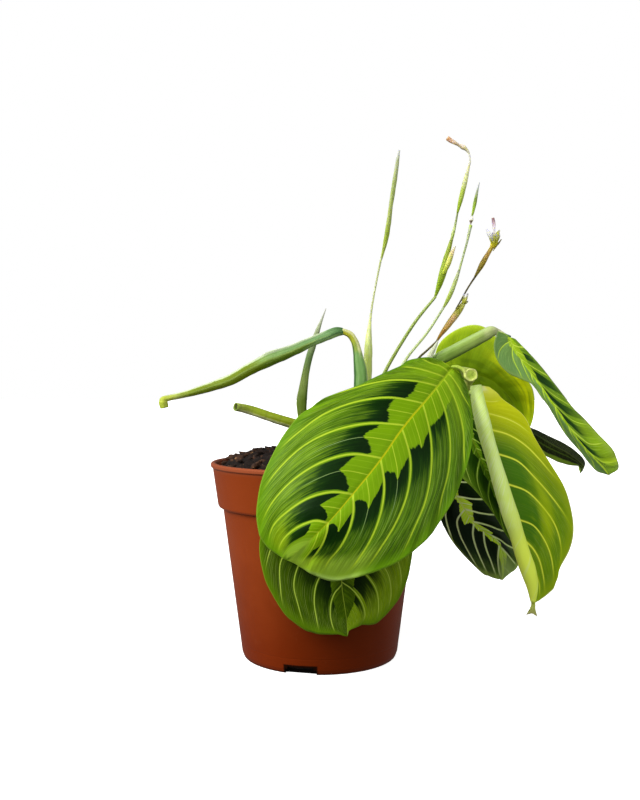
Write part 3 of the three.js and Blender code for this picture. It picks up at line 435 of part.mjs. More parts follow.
// a closed thin sheet from rows of points; the last row may be a single point
function sheet(rows, thickness) {
  const tip = rows[rows.length - 1].length === 1;
  const grid = tip ? rows.slice(0, -1) : rows;
  const R = grid.length, C = grid[0].length;
  const mid = [];
  const id = (r, c) => r * C + c;
  for (const row of grid) for (const p of row) mid.push(p.clone());
  const faces = [];
  for (let r = 0; r + 1 < R; r++) for (let c = 0; c + 1 < C; c++) {
    const a = id(r, c), b = id(r, c + 1), d = id(r + 1, c), e = id(r + 1, c + 1);
    if ((r + c) % 2) { faces.push([a, d, b], [b, d, e]); } else { faces.push([a, d, e], [a, e, b]); }
  }
  if (tip) {
    const q = mid.length;
    mid.push(rows[rows.length - 1][0].clone());
    for (let c = 0; c + 1 < C; c++) faces.push([id(R - 1, c), q, id(R - 1, c + 1)]);
  }
  const nrm = mid.map(() => new THREE.Vector3());
  for (const [a, b, c] of faces) {
    const n = mid[b].clone().sub(mid[a]).cross(mid[c].clone().sub(mid[a]));
    nrm[a].add(n); nrm[b].add(n); nrm[c].add(n);
  }
  nrm.forEach((n) => n.normalize());
  const N = mid.length;
  const pos = [];
  for (let k = 0; k < N; k++) pos.push(mid[k].clone().addScaledVector(nrm[k], thickness / 2));
  for (let k = 0; k < N; k++) pos.push(mid[k].clone().addScaledVector(nrm[k], -thickness / 2));
  const tris = [];
  const open = new Map();
  for (const [a, b, c] of faces) {
    tris.push([a, b, c], [a + N, c + N, b + N]);
    for (const [p, q] of [[a, b], [b, c], [c, a]]) {
      if (open.has(q + '_' + p)) open.delete(q + '_' + p); else open.set(p + '_' + q, [p, q]);
    }
  }
  for (const [p, q] of open.values()) tris.push([q, p, p + N], [q, p + N, q + N]);
  return geometry(pos, tris);
}

function geometry(pos, tris) {
  const g = new THREE.BufferGeometry();
  g.setAttribute('position', new THREE.BufferAttribute(new Float32Array(pos.flatMap((p) => [p.x, p.y, p.z])), 3));
  g.setIndex(tris.flat());
  g.computeVertexNormals();
  return g;
}

function bladeGeometry(leaf, count, cols, opts = {}) {
  const sides = ['L', 'R'].filter((s) => leaf[s]);
  const ts = stations(leaf, sides, count);
  const rows = ts.map((t, i) => {
    if (i === count) return [V(leaf.mid[leaf.mid.length - 1])];
    const row = [];
    if (leaf.L) for (let c = cols; c > 0; c--) row.push(halfPoint(leaf, 'L', t, c / cols));
    row.push(V(cr(leaf.mid, t * (leaf.mid.length - 1))));
    if (leaf.R) for (let c = 1; c <= cols; c++) row.push(halfPoint(leaf, 'R', t, c / cols));
    return row;
  });
  return sheet(rows, opts.thickness ?? BLADE_THICKNESS);
}

// the leaf whose left half is rolled up: the roll's section carries on from the open half
function rolledBladeGeometry(leaf, roll, count, cols, turns) {
  const ts = stations(leaf, ['R'], count);
  const rows = ts.map((t0) => {
    const t = Math.min(t0, 0.985);
    const s = t * (roll.length - 1);
    const now = cr(roll, s);
    const ahead = V(cr(roll, Math.min(s + 0.05, roll.length - 1)));
    const behind = V(cr(roll, Math.max(s - 0.05, 0)));
    const axis = ahead.sub(behind).normalize();
    const y = new THREE.Vector3(0, 1, 0).addScaledVector(axis, -axis.y).normalize();
    const x = y.clone().cross(axis).normalize();
    if (x.x < 0) x.negate();
    const row = [];
    for (let k = turns; k >= 0; k--) {
      const a = THREE.MathUtils.degToRad(ROLL_START + (ROLL_TURN * k) / turns);
      const r = now[3] * (1 - (ROLL_TAPER * k) / turns);
      row.push(V(now).addScaledVector(x, r * Math.cos(a)).addScaledVector(y, r * Math.sin(a)));
    }
    const start = row[row.length - 1];
    const m = halfPoint(leaf, 'R', t, 0);
    for (let c = 1; c <= cols; c++) {
      const u = c / cols;
      const p = halfPoint(leaf, 'R', t, u);
      p.addScaledVector(start.clone().sub(m), (1 - u) * (1 - u));
      row.push(p);
    }
    return row;
  });
  return sheet(rows, BLADE_THICKNESS);
}

// a tapering round stem through [x, y, z, diameter] stations, closed at both ends
function stemRings(path, step) {
  const out = [];
  const n = path.length;
  for (let i = 0; i < n - 1; i++) for (let k = 0; k < step; k++) out.push(cr(path, i + k / step));
  out.push(path[n - 1]);
  return out.map((p) => [p[0], p[1], p[2], Math.max(p[3], 0.45)]);
}

function stemGeometry(path, sides = 6, { step = 1, flat = 1, grow = 0, extend = 0, hollow = 0 } = {}) {
  const rings = stemRings(path, step);
  const pts = rings.map((r) => V(r));
  const rad = rings.map((r) => r[3] / 2 + grow);
  if (extend) {
    const n = pts.length;
    pts[n - 1] = pts[n - 1].clone().add(pts[n - 1].clone().sub(pts[n - 2]).normalize().multiplyScalar(extend));
  }
  const tan = pts.map((p, i) => pts[Math.min(i + 1, pts.length - 1)].clone().sub(pts[Math.max(i - 1, 0)]).normalize());
  let x = new THREE.Vector3(0, 1, 0).cross(tan[0]);
  if (x.length() < 0.2) x = new THREE.Vector3(1, 0, 0).cross(tan[0]);
  x.normalize();
  const loops = [];
  pts.forEach((p, i) => {
    x = x.clone().addScaledVector(tan[i], -x.dot(tan[i])).normalize();
    const y = tan[i].clone().cross(x);
    loops.push([p, x.clone(), y, rad[i]]);
  });
  const pos = [];
  const ring = (p, ax, ay, r) => {
    for (let k = 0; k < sides; k++) {
      const a = (2 * Math.PI * k) / sides;
      pos.push(p.clone().addScaledVector(ax, r * Math.cos(a)).addScaledVector(ay, r * flat * Math.sin(a)));
    }
  };
  if (hollow) {
    // inner wall first, from the bottom of the hollow out to the mouth
    const [p, ax, ay, r] = loops[0];
    const deep = p.clone().addScaledVector(tan[0], hollow);
    ring(deep, ax, ay, r - HOLLOW_WALL);
    ring(p, ax, ay, r - HOLLOW_WALL);
  }
  loops.forEach((l) => ring(...l));
  const R = pos.length / sides;
  const tris = [];
  for (let i = 0; i + 1 < R; i++) for (let k = 0; k < sides; k++) {
    const a = i * sides + k, b = i * sides + ((k + 1) % sides);
    tris.push([a, b, a + sides], [b, b + sides, a + sides]);
  }
  const first = hollow ? pts[0].clone().addScaledVector(tan[0], hollow) : pts[0].clone();
  const c0 = pos.length;
  pos.push(first, pts[pts.length - 1].clone());
  for (let k = 0; k < sides; k++) {
    const k2 = (k + 1) % sides;
    tris.push([c0, k2, k], [c0 + 1, (R - 1) * sides + k, (R - 1) * sides + k2]);
  }
  return geometry(pos, tris);
}

function toSolid(geo) {
  const g = geo.clone();
  g.deleteAttribute('normal');
  if (g.getAttribute('uv')) g.deleteAttribute('uv');
  const m = BufferGeometryUtils.mergeVertices(g, 1e-4);
  const mesh = new wasm.Mesh({ numProp: 3, vertProperties: new Float32Array(m.getAttribute('position').array), triVerts: new Uint32Array(m.index.array) });
  return new wasm.Manifold(mesh);
}

function fromSolid(solid) {
  const m = solid.getMesh();
  const g = new THREE.BufferGeometry();
  g.setAttribute('position', new THREE.BufferAttribute(new Float32Array(m.vertProperties), 3));
  g.setIndex([...m.triVerts]);
  g.computeVertexNormals();
  return g;
}

const model = new THREE.Group();
function add(name, geo, color, roughness = 0.55, metalness = 0) {
  const mesh = new THREE.Mesh(geo, new THREE.MeshStandardMaterial({ color, roughness, metalness }));
  mesh.name = name;
  model.add(mesh);
  return mesh;
}

// ------------------------------------------------------------------ pot
function potRadius(z) {
  return POT_BASE_RADIUS + ((POT_BODY_TOP_RADIUS - POT_BASE_RADIUS) * z) / POT_COLLAR_BOTTOM_Z;
}
const potProfile = [
  [0, 0],
  [POT_BASE_RADIUS - POT_BASE_ROUND, 0],
  [POT_BASE_RADIUS - POT_BASE_ROUND * 0.35, POT_BASE_ROUND * 0.3],
  [potRadius(POT_BASE_ROUND), POT_BASE_ROUND],
  [POT_BODY_TOP_RADIUS, POT_COLLAR_BOTTOM_Z - 0.6],
  [POT_COLLAR_BOTTOM_RADIUS - 0.5, POT_COLLAR_BOTTOM_Z - 0.4],
  [POT_COLLAR_BOTTOM_RADIUS, POT_COLLAR_BOTTOM_Z + 0.5],
  [POT_COLLAR_TOP_RADIUS, POT_HEIGHT - POT_LIP_HEIGHT],
  [POT_RIM_RADIUS, POT_HEIGHT - POT_LIP_HEIGHT + 0.5],
  [POT_RIM_RADIUS, POT_HEIGHT - 0.6],
  [POT_RIM_RADIUS - 0.6, POT_HEIGHT],
  [POT_RIM_RADIUS - 1.9, POT_HEIGHT],
  [POT_RIM_RADIUS - 2.5, POT_HEIGHT - 0.7],
  [POT_COLLAR_BOTTOM_RADIUS - POT_WALL, POT_COLLAR_BOTTOM_Z + 1.4],
  [POT_BODY_TOP_RADIUS - POT_WALL, POT_COLLAR_BOTTOM_Z - 0.8],
  [potRadius(POT_FLOOR) - POT_WALL - 0.4, POT_FLOOR],
  [0, POT_FLOOR],
].map(([r, z]) => new THREE.Vector2(r, z));
const potGeo = new THREE.LatheGeometry(potProfile, POT_SEGMENTS);
potGeo.rotateX(Math.PI / 2);
let pot = toSolid(potGeo);
if (pot.volume() < 0) throw new Error('pot is inside out');
for (const deg of DRAIN_SLOT_ANGLES) {
  const box = new THREE.BoxGeometry(DRAIN_SLOT_DEPTH, DRAIN_SLOT_WIDTH, DRAIN_SLOT_HEIGHT + 2);
  box.translate(POT_BASE_RADIUS - DRAIN_SLOT_DEPTH / 2 + 2.5, 0, DRAIN_SLOT_HEIGHT / 2 - 1);
  box.rotateZ(THREE.MathUtils.degToRad(deg));
  pot = pot.subtract(toSolid(box));
}
add('nursery_pot', fromSolid(pot), 0xa0502d, 0.5);

// ------------------------------------------------------------------ soil
function soilZ(x, y) {
  const r = Math.hypot(x, y);
  const lump = 0.7 * Math.sin(x * 0.41 + y * 0.23) * Math.cos(y * 0.37 - x * 0.17) * Math.min(1, (51 - r) / 12);
  return SOIL_EDGE_Z + SOIL_MOUND * Math.max(0, 1 - Math.pow(r / 51, 2.2)) + SOIL_TILT * y + lump;
}
function potInner(z) {
  if (z < POT_COLLAR_BOTTOM_Z - 0.8) {
    const t = (z - POT_FLOOR) / (POT_COLLAR_BOTTOM_Z - 0.8 - POT_FLOOR);
    return potRadius(POT_FLOOR) - POT_WALL - 0.4 + t * (POT_BODY_TOP_RADIUS - potRadius(POT_FLOOR) + 0.4);
  }
  if (z < POT_COLLAR_BOTTOM_Z + 1.4) return POT_BODY_TOP_RADIUS - POT_WALL;
  const t = (z - POT_COLLAR_BOTTOM_Z - 1.4) / (POT_HEIGHT - 0.7 - POT_COLLAR_BOTTOM_Z - 1.4);
  return POT_COLLAR_BOTTOM_RADIUS - POT_WALL + t * (POT_RIM_RADIUS - 2.5 - POT_COLLAR_BOTTOM_RADIUS + POT_WALL);
}
{
  const SEG = 36;
  const pos = [], tris = [];
  const shrink = Math.cos(Math.PI / POT_SEGMENTS);
  const levels = [[0, POT_FLOOR + SOIL_GAP], [1, POT_FLOOR + SOIL_GAP], [1, POT_COLLAR_BOTTOM_Z - 0.81], [1, POT_COLLAR_BOTTOM_Z + 2.0]];
  pos.push(new THREE.Vector3(0, 0, levels[0][1]));
  for (const [, z] of levels.slice(1)) for (let k = 0; k < SEG; k++) {
    const a = (2 * Math.PI * k) / SEG;
    const r = potInner(z) * shrink - SOIL_GAP;
    pos.push(new THREE.Vector3(r * Math.cos(a), r * Math.sin(a), z));
  }
  for (const f of [1, 0.93, 0.78, 0.6, 0.4, 0.2]) for (let k = 0; k < SEG; k++) {
    const a = (2 * Math.PI * k) / SEG;
    const rim = potInner(SOIL_EDGE_Z - 4) * shrink - SOIL_GAP - 0.1;
    const r = rim * f, x = r * Math.cos(a), y = r * Math.sin(a);
    pos.push(new THREE.Vector3(x, y, soilZ(x, y)));
  }
  const rings = 9;
  for (let k = 0; k < SEG; k++) tris.push([0, 1 + ((k + 1) % SEG), 1 + k]);
  for (let i = 0; i + 1 < rings; i++) for (let k = 0; k < SEG; k++) {
    const a = 1 + i * SEG + k, b = 1 + i * SEG + ((k + 1) % SEG);
    tris.push([a, b, a + SEG], [b, b + SEG, a + SEG]);
  }
  const top = pos.length;
  pos.push(new THREE.Vector3(0, 0, soilZ(0, 0)));
  for (let k = 0; k < SEG; k++) tris.push([top, 1 + (rings - 1) * SEG + k, 1 + (rings - 1) * SEG + ((k + 1) % SEG)]);
  let soil = toSolid(geometry(pos, tris));
  for (const name of ROOTED) soil = soil.subtract(toSolid(stemGeometry(STEMS[name], STEM_SIDES[name] ?? 6, { grow: SOCKET_GAP * 1.2, extend: 0.5 })));
  add('potting_soil', fromSolid(soil), 0x2a1a12, 0.95);
}

// ------------------------------------------------------------------ blades
const BLADES = {
  leaf_front: [26, 3, 0x4f9a1c],
  leaf_low: [18, 3, 0x4a8f1c],
  leaf_between: [10, 2, 0x3f8a1e],
  leaf_dark_low: [14, 2, 0x16301a],
  leaf_back_olive: [12, 2, 0x8f9a10],
  leaf_folded_right: [20, 2, 0x5a9a28],
  leaf_dark_folded: [9, 2, 0x1c2c0c],
};
for (const [name, [count, cols, color]] of Object.entries(BLADES)) add(name, bladeGeometry(LEAVES[name], count, cols), color, 0.45);
add('leaf_half_rolled', rolledBladeGeometry(LEAVES.leaf_half_rolled, ROLL, 16, 3, 10), 0xa6b43a, 0.45);

// ------------------------------------------------------------------ stems, rolled leaves, bracts and flowers
for (const [name, color] of Object.entries(STEM_COLORS)) {
  const opts = {};
  if (name === 'leaf_new_rolled') opts.hollow = HOLLOW_DEPTH;
  if (name === 'leaf_furled_long') opts.flat = 0.72;
  if (name.startsWith('bract_') || name === 'flower_calyx' || name === 'sheath_pale' || name === 'leaf_spike') opts.flat = 0.7;
  add(name, stemGeometry(STEMS[name], STEM_SIDES[name] ?? 6, opts), color, 0.5);
}

// the dried forked end of the half rolled leaf
{
  const rows = TAIL.map((r) => [V(r[0]), V(r[1]), V(r[2])]);
  add('leaf_tip_dried', sheet(rows, 0.5), 0xa3a05a, 0.7);
}

export default model;
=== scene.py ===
# A young potted prayer plant in a plastic nursery pot: the looks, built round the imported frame.
import json
import math
import bpy
import bmesh
import numpy as np
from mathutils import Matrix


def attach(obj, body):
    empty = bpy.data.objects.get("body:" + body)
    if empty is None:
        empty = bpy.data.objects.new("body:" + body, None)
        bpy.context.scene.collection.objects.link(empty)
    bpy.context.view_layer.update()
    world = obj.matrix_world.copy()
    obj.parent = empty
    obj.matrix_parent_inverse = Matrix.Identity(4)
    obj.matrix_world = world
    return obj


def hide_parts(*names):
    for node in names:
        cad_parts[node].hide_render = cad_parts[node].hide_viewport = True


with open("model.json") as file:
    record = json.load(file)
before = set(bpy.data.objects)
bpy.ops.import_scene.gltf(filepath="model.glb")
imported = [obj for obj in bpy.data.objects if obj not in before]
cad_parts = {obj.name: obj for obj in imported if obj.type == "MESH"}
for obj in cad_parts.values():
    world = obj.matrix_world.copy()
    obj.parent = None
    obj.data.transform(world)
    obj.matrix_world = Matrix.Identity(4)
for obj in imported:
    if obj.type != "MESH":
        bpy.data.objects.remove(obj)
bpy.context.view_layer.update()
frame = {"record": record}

MM = 0.001
scene = bpy.context.scene
RNG = np.random.default_rng(7)


# Blade tables, mm. mid: the midrib from base to tip. L, R: rows from the midrib to the edge on each side, each along a
# side vein: [vein number, share of the midrib where it starts, points]. Whole numbers are the primary veins.
LEAVES = {
    "leaf_front": {
        "mid": [[60.52,-37.0,141.43],[53.89,-42.59,133.8],[47.12,-48.78,126.57],[40.32,-55.08,119.7],[34.2,-60.66,112.66],[28.76,-65.11,105.38],[23.13,-68.45,98.42],[17.35,-70.79,91.68],[11.58,-73.1,85.06],[5.78,-75.36,78.58],[-0.45,-76.02,72.37],[-6.99,-73.25,65.85],[-14.01,-68.0,59.11]],
        "L": [
            [0.0,0.0,[[60.52,-37.0,141.43],[59.49,-37.2,142.09],[58.47,-37.37,142.75],[57.46,-37.52,143.41],[56.46,-37.65,144.09],[55.47,-37.75,144.78]]],
            [0.5,0.0103,[[59.7,-37.66,140.48],[58.01,-37.89,141.8],[56.18,-38.21,142.88],[54.17,-38.68,143.57],[52.31,-38.93,144.61],[50.54,-39.02,145.83]]],
            [1.0,0.0206,[[58.87,-38.32,139.53],[56.46,-38.68,141.31],[53.8,-39.16,142.68],[50.85,-39.91,143.4],[48.12,-40.28,144.61],[45.54,-40.39,146.05]]],
            [1.5,0.0327,[[57.91,-39.12,138.41],[54.68,-39.83,140.07],[51.17,-40.55,141.55],[47.39,-41.32,142.7],[43.58,-41.86,143.87],[39.77,-42.21,144.97]]],
            [2.0,0.0449,[[56.94,-39.93,137.3],[52.62,-41.15,138.72],[48.31,-42.17,140.0],[43.99,-43.01,141.09],[39.58,-43.85,141.59],[35.16,-44.63,141.69]]],
            [2.5,0.0674,[[55.16,-41.46,135.25],[47.78,-43.64,137.02],[40.36,-45.47,137.87],[33.07,-47.05,137.62],[25.9,-48.52,136.34],[18.83,-49.72,134.63]]],
            [3.0,0.0898,[[53.37,-43.06,133.23],[42.93,-45.94,135.45],[32.45,-48.08,135.86],[22.24,-49.91,134.19],[12.4,-51.72,131.21],[2.72,-53.64,128.0]]],
            [3.25,0.1116,[[51.6,-44.65,131.31],[40.1,-47.65,133.65],[28.67,-49.76,133.7],[17.67,-51.73,131.2],[7.11,-54.06,127.49],[-3.49,-55.38,124.22]]],
            [3.5,0.1334,[[49.83,-46.27,129.42],[37.46,-49.3,131.79],[25.15,-51.4,131.4],[13.37,-53.66,128.15],[2.14,-56.24,123.63],[-9.28,-56.9,119.89]]],
            [3.75,0.1557,[[48.01,-47.95,127.5],[34.1,-51.0,130.07],[20.3,-53.03,129.06],[7.23,-55.71,124.9],[-4.55,-58.44,118.49],[-15.92,-59.32,111.84]]],
            [4.0,0.1781,[[46.19,-49.65,125.61],[31.04,-52.68,128.13],[16.06,-54.86,126.31],[2.08,-57.79,121.06],[-9.93,-60.48,112.55],[-20.87,-61.69,102.73]]],
            [4.25,0.2064,[[43.88,-51.81,123.25],[28.75,-54.51,125.65],[13.88,-56.64,123.65],[0.14,-59.32,118.13],[-11.51,-61.63,109.35],[-22.39,-62.31,99.54]]],
            [4.5,0.2347,[[41.55,-53.95,120.94],[26.63,-56.43,122.95],[11.99,-58.59,120.7],[-1.48,-60.94,114.87],[-12.88,-62.84,105.95],[-23.81,-62.8,96.3]]],
            [4.75,0.2629,[[39.3,-56.02,118.65],[24.09,-58.51,120.05],[9.27,-60.54,117.55],[-4.31,-62.28,111.41],[-15.56,-63.79,101.93],[-25.56,-63.39,91.02]]],
            [5.0,0.291,[[37.16,-58.0,116.31],[21.81,-60.49,117.16],[6.96,-62.36,114.31],[-6.57,-63.62,107.78],[-17.58,-64.74,97.73],[-26.63,-63.79,85.54]]],
            [5.25,0.3294,[[34.47,-60.42,113.0],[19.79,-62.46,114.11],[5.61,-64.08,111.0],[-7.21,-65.08,104.42],[-17.78,-65.73,94.68],[-26.97,-63.85,83.15]]],
            [5.5,0.3677,[[31.94,-62.62,109.64],[17.97,-64.26,111.1],[4.47,-65.61,107.71],[-7.67,-66.52,101.04],[-17.85,-66.65,91.6],[-27.22,-63.87,80.75]]],
            [5.75,0.4086,[[29.29,-64.72,106.08],[15.63,-66.04,107.71],[2.41,-66.95,104.27],[-9.36,-67.64,97.41],[-19.13,-67.03,87.77],[-27.27,-63.88,76.22]]],
            [6.0,0.4495,[[26.58,-66.56,102.6],[13.35,-67.5,104.29],[0.54,-68.21,100.79],[-10.77,-68.64,93.84],[-20.02,-67.25,84.03],[-26.68,-63.97,71.75]]],
            [6.25,0.4913,[[23.72,-68.15,99.13],[11.39,-68.72,100.9],[-0.52,-69.51,97.3],[-11.18,-69.58,90.87],[-19.96,-67.57,81.7],[-26.23,-64.03,70.1]]],
            [6.5,0.5332,[[20.83,-69.47,95.72],[9.49,-69.88,97.36],[-1.42,-70.8,93.71],[-11.36,-70.47,87.79],[-19.69,-67.9,79.3],[-25.62,-64.13,68.51]]],
            [6.75,0.5824,[[17.42,-70.77,91.76],[6.95,-71.29,93.04],[-3.12,-71.94,90.01],[-12.19,-70.99,84.41],[-19.93,-67.85,76.57],[-24.41,-64.35,66.22]]],
            [7.0,0.6315,[[14.01,-72.0,87.83],[4.53,-72.76,88.67],[-4.59,-72.94,86.25],[-12.7,-71.42,81.01],[-19.71,-67.9,73.87],[-22.85,-64.69,64.17]]],
            [7.5,0.7066,[[8.82,-74.31,81.94],[1.23,-74.58,82.8],[-6.1,-74.06,80.72],[-12.68,-71.94,76.4],[-18.21,-68.44,70.4],[-20.73,-65.31,62.48]]],
            [8.0,0.7816,[[3.49,-75.85,76.18],[-2.09,-75.62,76.97],[-7.46,-74.48,75.1],[-12.37,-72.06,71.75],[-16.28,-68.97,66.99],[-18.41,-66.17,61.09]]],
            [8.5,0.8335,[[-0.46,-76.02,72.36],[-4.57,-75.52,72.43],[-8.53,-73.98,70.82],[-12.14,-71.66,68.18],[-15.07,-69.11,64.62],[-17.13,-66.78,60.48]]],
            [9.0,0.8854,[[-4.53,-75.0,68.44],[-7.24,-73.92,67.84],[-9.83,-72.43,66.64],[-12.13,-70.74,64.76],[-14.08,-69.06,62.45],[-15.81,-67.39,59.92]]],
            [9.5,0.9427,[[-9.09,-71.55,63.66],[-10.47,-70.91,63.27],[-11.78,-70.18,62.7],[-12.93,-69.39,61.79],[-13.93,-68.59,60.69],[-14.9,-67.75,59.53]]],
            [10.0,1.0,[[-14.01,-68.0,59.11],[-14.01,-68.0,59.11],[-14.01,-68.0,59.11],[-14.01,-68.0,59.11],[-14.01,-68.0,59.11],[-14.01,-68.0,59.11]]],
        ],
        "R": [
            [0.0,0.0,[[60.52,-37.0,141.43],[61.27,-36.82,141.01],[62.02,-36.63,140.59],[62.74,-36.45,140.13],[63.44,-36.3,139.63],[64.13,-36.14,139.13]]],
            [0.5,0.0122,[[59.55,-37.78,140.31],[61.2,-37.62,138.59],[62.87,-37.43,136.81],[64.39,-37.36,134.88],[66.15,-37.22,133.0],[68.0,-37.14,131.17]]],
            [1.0,0.0243,[[58.58,-38.57,139.19],[60.98,-38.57,135.99],[63.17,-38.73,132.66],[64.93,-39.34,129.13],[66.87,-39.98,125.71],[68.95,-40.6,122.38]]],
            [1.5,0.0383,[[57.47,-39.48,137.91],[60.79,-39.92,132.5],[63.41,-41.08,126.75],[65.14,-43.05,120.71],[66.32,-45.32,114.67],[67.68,-47.48,108.73]]],
            [2.0,0.0522,[[56.36,-40.42,136.63],[60.32,-41.62,128.9],[62.93,-44.07,120.74],[64.12,-47.42,112.38],[63.9,-51.39,104.04],[64.04,-54.8,95.81]]],
            [2.5,0.076,[[54.48,-42.07,134.47],[58.55,-44.42,124.54],[60.59,-48.26,114.27],[60.59,-53.01,104.02],[58.74,-57.93,94.1],[57.78,-61.58,84.17]]],
            [3.0,0.0997,[[52.57,-43.77,132.35],[56.38,-47.4,120.47],[57.55,-52.57,108.31],[56.15,-58.32,96.36],[52.65,-63.52,84.99],[50.44,-66.88,73.42]]],
            [3.25,0.1166,[[51.2,-45.01,130.87],[54.68,-49.42,118.03],[55.4,-55.1,105.09],[53.4,-60.94,92.55],[49.14,-65.94,80.76],[46.09,-68.98,68.73]]],
            [3.5,0.1334,[[49.83,-46.27,129.42],[52.83,-51.37,115.9],[52.99,-57.45,102.38],[50.39,-63.26,89.31],[45.37,-68.03,77.08],[41.23,-70.73,64.57]]],
            [3.75,0.1577,[[47.84,-48.11,127.33],[50.6,-53.6,113.54],[50.57,-59.65,99.81],[47.75,-65.08,86.57],[42.37,-69.47,74.28],[37.38,-71.73,61.82]]],
            [4.0,0.1821,[[45.87,-49.96,125.27],[48.46,-55.67,111.33],[48.13,-61.63,97.47],[45.05,-66.7,84.1],[39.22,-70.74,71.77],[33.34,-72.44,59.36]]],
            [4.25,0.2129,[[43.34,-52.31,122.72],[46.2,-57.84,108.88],[45.53,-63.53,95.03],[42.23,-68.2,81.69],[35.93,-71.83,69.57],[29.36,-72.82,57.37]]],
            [4.5,0.2438,[[40.82,-54.62,120.21],[43.94,-59.84,106.54],[42.88,-65.22,92.75],[39.18,-69.59,79.55],[32.41,-72.74,67.67],[25.25,-72.9,55.69]]],
            [4.75,0.2765,[[38.24,-57.0,117.52],[41.45,-61.86,104.04],[40.16,-66.8,90.41],[35.69,-70.91,77.63],[28.7,-73.45,66.0],[21.22,-72.61,54.25]]],
            [5.0,0.3093,[[35.84,-59.19,114.74],[38.86,-63.74,101.52],[37.31,-68.25,88.15],[32.12,-72.07,75.84],[24.9,-73.9,64.46],[17.16,-71.81,52.84]]],
            [5.25,0.3452,[[33.41,-61.36,111.61],[35.97,-65.57,98.86],[34.52,-69.5,86.06],[29.62,-72.82,74.24],[22.47,-74.02,63.46],[15.09,-71.13,52.15]]],
            [5.5,0.3812,[[31.06,-63.34,108.46],[33.03,-67.18,96.25],[31.59,-70.63,84.09],[27.12,-73.44,72.72],[20.09,-74.01,62.49],[13.0,-70.35,51.51]]],
            [5.75,0.419,[[28.61,-65.22,105.18],[30.15,-68.59,93.58],[28.69,-71.65,82.08],[24.53,-73.94,71.26],[18.15,-73.82,61.27],[11.02,-69.55,50.98]]],
            [6.0,0.4568,[[26.08,-66.86,101.98],[27.28,-69.79,91.03],[25.7,-72.55,80.2],[21.76,-74.33,69.95],[15.99,-73.48,60.22],[9.02,-68.73,50.49]]],
            [6.25,0.5028,[[22.93,-68.54,98.2],[24.06,-71.0,88.06],[22.26,-73.44,78.11],[18.44,-74.61,68.63],[12.75,-72.97,59.7],[6.95,-67.88,50.06]]],
            [6.5,0.5487,[[19.76,-69.91,94.47],[20.75,-72.07,85.19],[18.77,-74.2,76.13],[15.03,-74.71,67.46],[9.35,-72.35,59.41],[4.85,-67.14,49.87]]],
            [6.75,0.5901,[[16.88,-70.96,91.13],[17.4,-73.06,82.64],[15.44,-74.78,74.38],[11.72,-74.64,66.48],[6.31,-71.72,59.12],[2.41,-66.63,50.21]]],
            [7.0,0.6315,[[14.01,-72.0,87.83],[13.91,-74.06,80.23],[12.01,-75.22,72.79],[8.41,-74.44,65.72],[3.47,-71.21,59.03],[0.06,-66.42,50.97]]],
            [7.5,0.7066,[[8.82,-74.31,81.94],[8.32,-75.45,75.96],[6.58,-75.46,70.05],[3.54,-73.84,64.39],[-0.46,-70.55,59.0],[-3.07,-66.44,52.49]]],
            [8.0,0.7816,[[3.49,-75.85,76.18],[2.67,-75.93,71.81],[1.11,-75.03,67.48],[-1.24,-72.98,63.32],[-4.16,-70.1,59.32],[-5.96,-66.85,54.51]]],
            [8.5,0.8335,[[-0.46,-76.02,72.36],[-1.53,-75.51,69.12],[-2.94,-74.16,65.85],[-4.83,-72.1,62.71],[-6.9,-69.79,59.59],[-8.26,-67.39,55.99]]],
            [9.0,0.8854,[[-4.53,-75.0,68.44],[-5.62,-73.84,66.23],[-6.79,-72.41,64.01],[-8.22,-70.91,61.92],[-9.56,-69.43,59.75],[-10.59,-67.94,57.38]]],
            [9.5,0.9427,[[-9.09,-71.55,63.66],[-9.74,-70.84,62.58],[-10.38,-70.15,61.5],[-11.12,-69.47,60.5],[-11.77,-68.81,59.43],[-12.29,-68.12,58.28]]],
            [10.0,1.0,[[-14.01,-68.0,59.11],[-14.01,-68.0,59.11],[-14.01,-68.0,59.11],[-14.01,-68.0,59.11],[-14.01,-68.0,59.11],[-14.01,-68.0,59.11]]],
        ],
    },
    "leaf_low": {
        "mid": [[11.38,-60.0,99.44],[10.09,-59.95,93.3],[9.1,-60.04,87.12],[8.82,-60.35,80.89],[8.73,-60.77,74.67],[8.74,-61.11,68.45],[8.83,-61.2,62.19],[9.03,-60.88,55.85],[9.4,-60.04,49.4],[9.99,-58.6,42.79],[10.97,-56.6,36.05],[11.86,-55.01,29.33],[12.25,-53.95,22.66]],
        "L": [
            [0.0,0.0,[[11.38,-60.0,99.44],[9.83,-59.94,99.47],[8.28,-59.83,99.47],[6.73,-59.69,99.34],[5.2,-59.52,99.07],[3.68,-59.32,98.78]]],
            [0.5,0.0417,[[10.74,-59.98,96.37],[5.98,-59.63,96.44],[1.34,-59.02,95.6],[-3.18,-58.33,94.25],[-7.62,-57.78,92.61],[-11.81,-57.35,90.61]]],
            [1.0,0.0834,[[10.09,-59.95,93.3],[2.62,-59.28,92.75],[-4.45,-58.36,90.18],[-11.05,-57.67,86.45],[-17.22,-56.9,81.97],[-22.78,-55.95,76.65]]],
            [1.5,0.1243,[[9.51,-59.96,90.27],[0.14,-59.13,88.8],[-8.5,-58.17,84.76],[-15.87,-57.25,78.77],[-21.87,-56.07,71.41],[-26.68,-54.6,63.18]]],
            [2.0,0.1653,[[9.11,-60.03,87.22],[-1.33,-59.25,84.55],[-10.56,-58.24,78.86],[-17.69,-57.03,70.54],[-22.07,-55.55,60.3],[-24.69,-53.55,49.24]]],
            [2.5,0.2226,[[8.87,-60.23,82.93],[-1.93,-59.61,79.43],[-11.0,-58.51,72.66],[-18.07,-56.82,63.51],[-20.46,-55.09,52.27],[-20.91,-52.63,40.45]]],
            [3.0,0.2799,[[8.79,-60.49,78.66],[-1.83,-60.04,74.26],[-10.43,-58.83,66.48],[-17.01,-56.62,56.53],[-17.39,-54.37,44.53],[-15.94,-51.56,32.22]]],
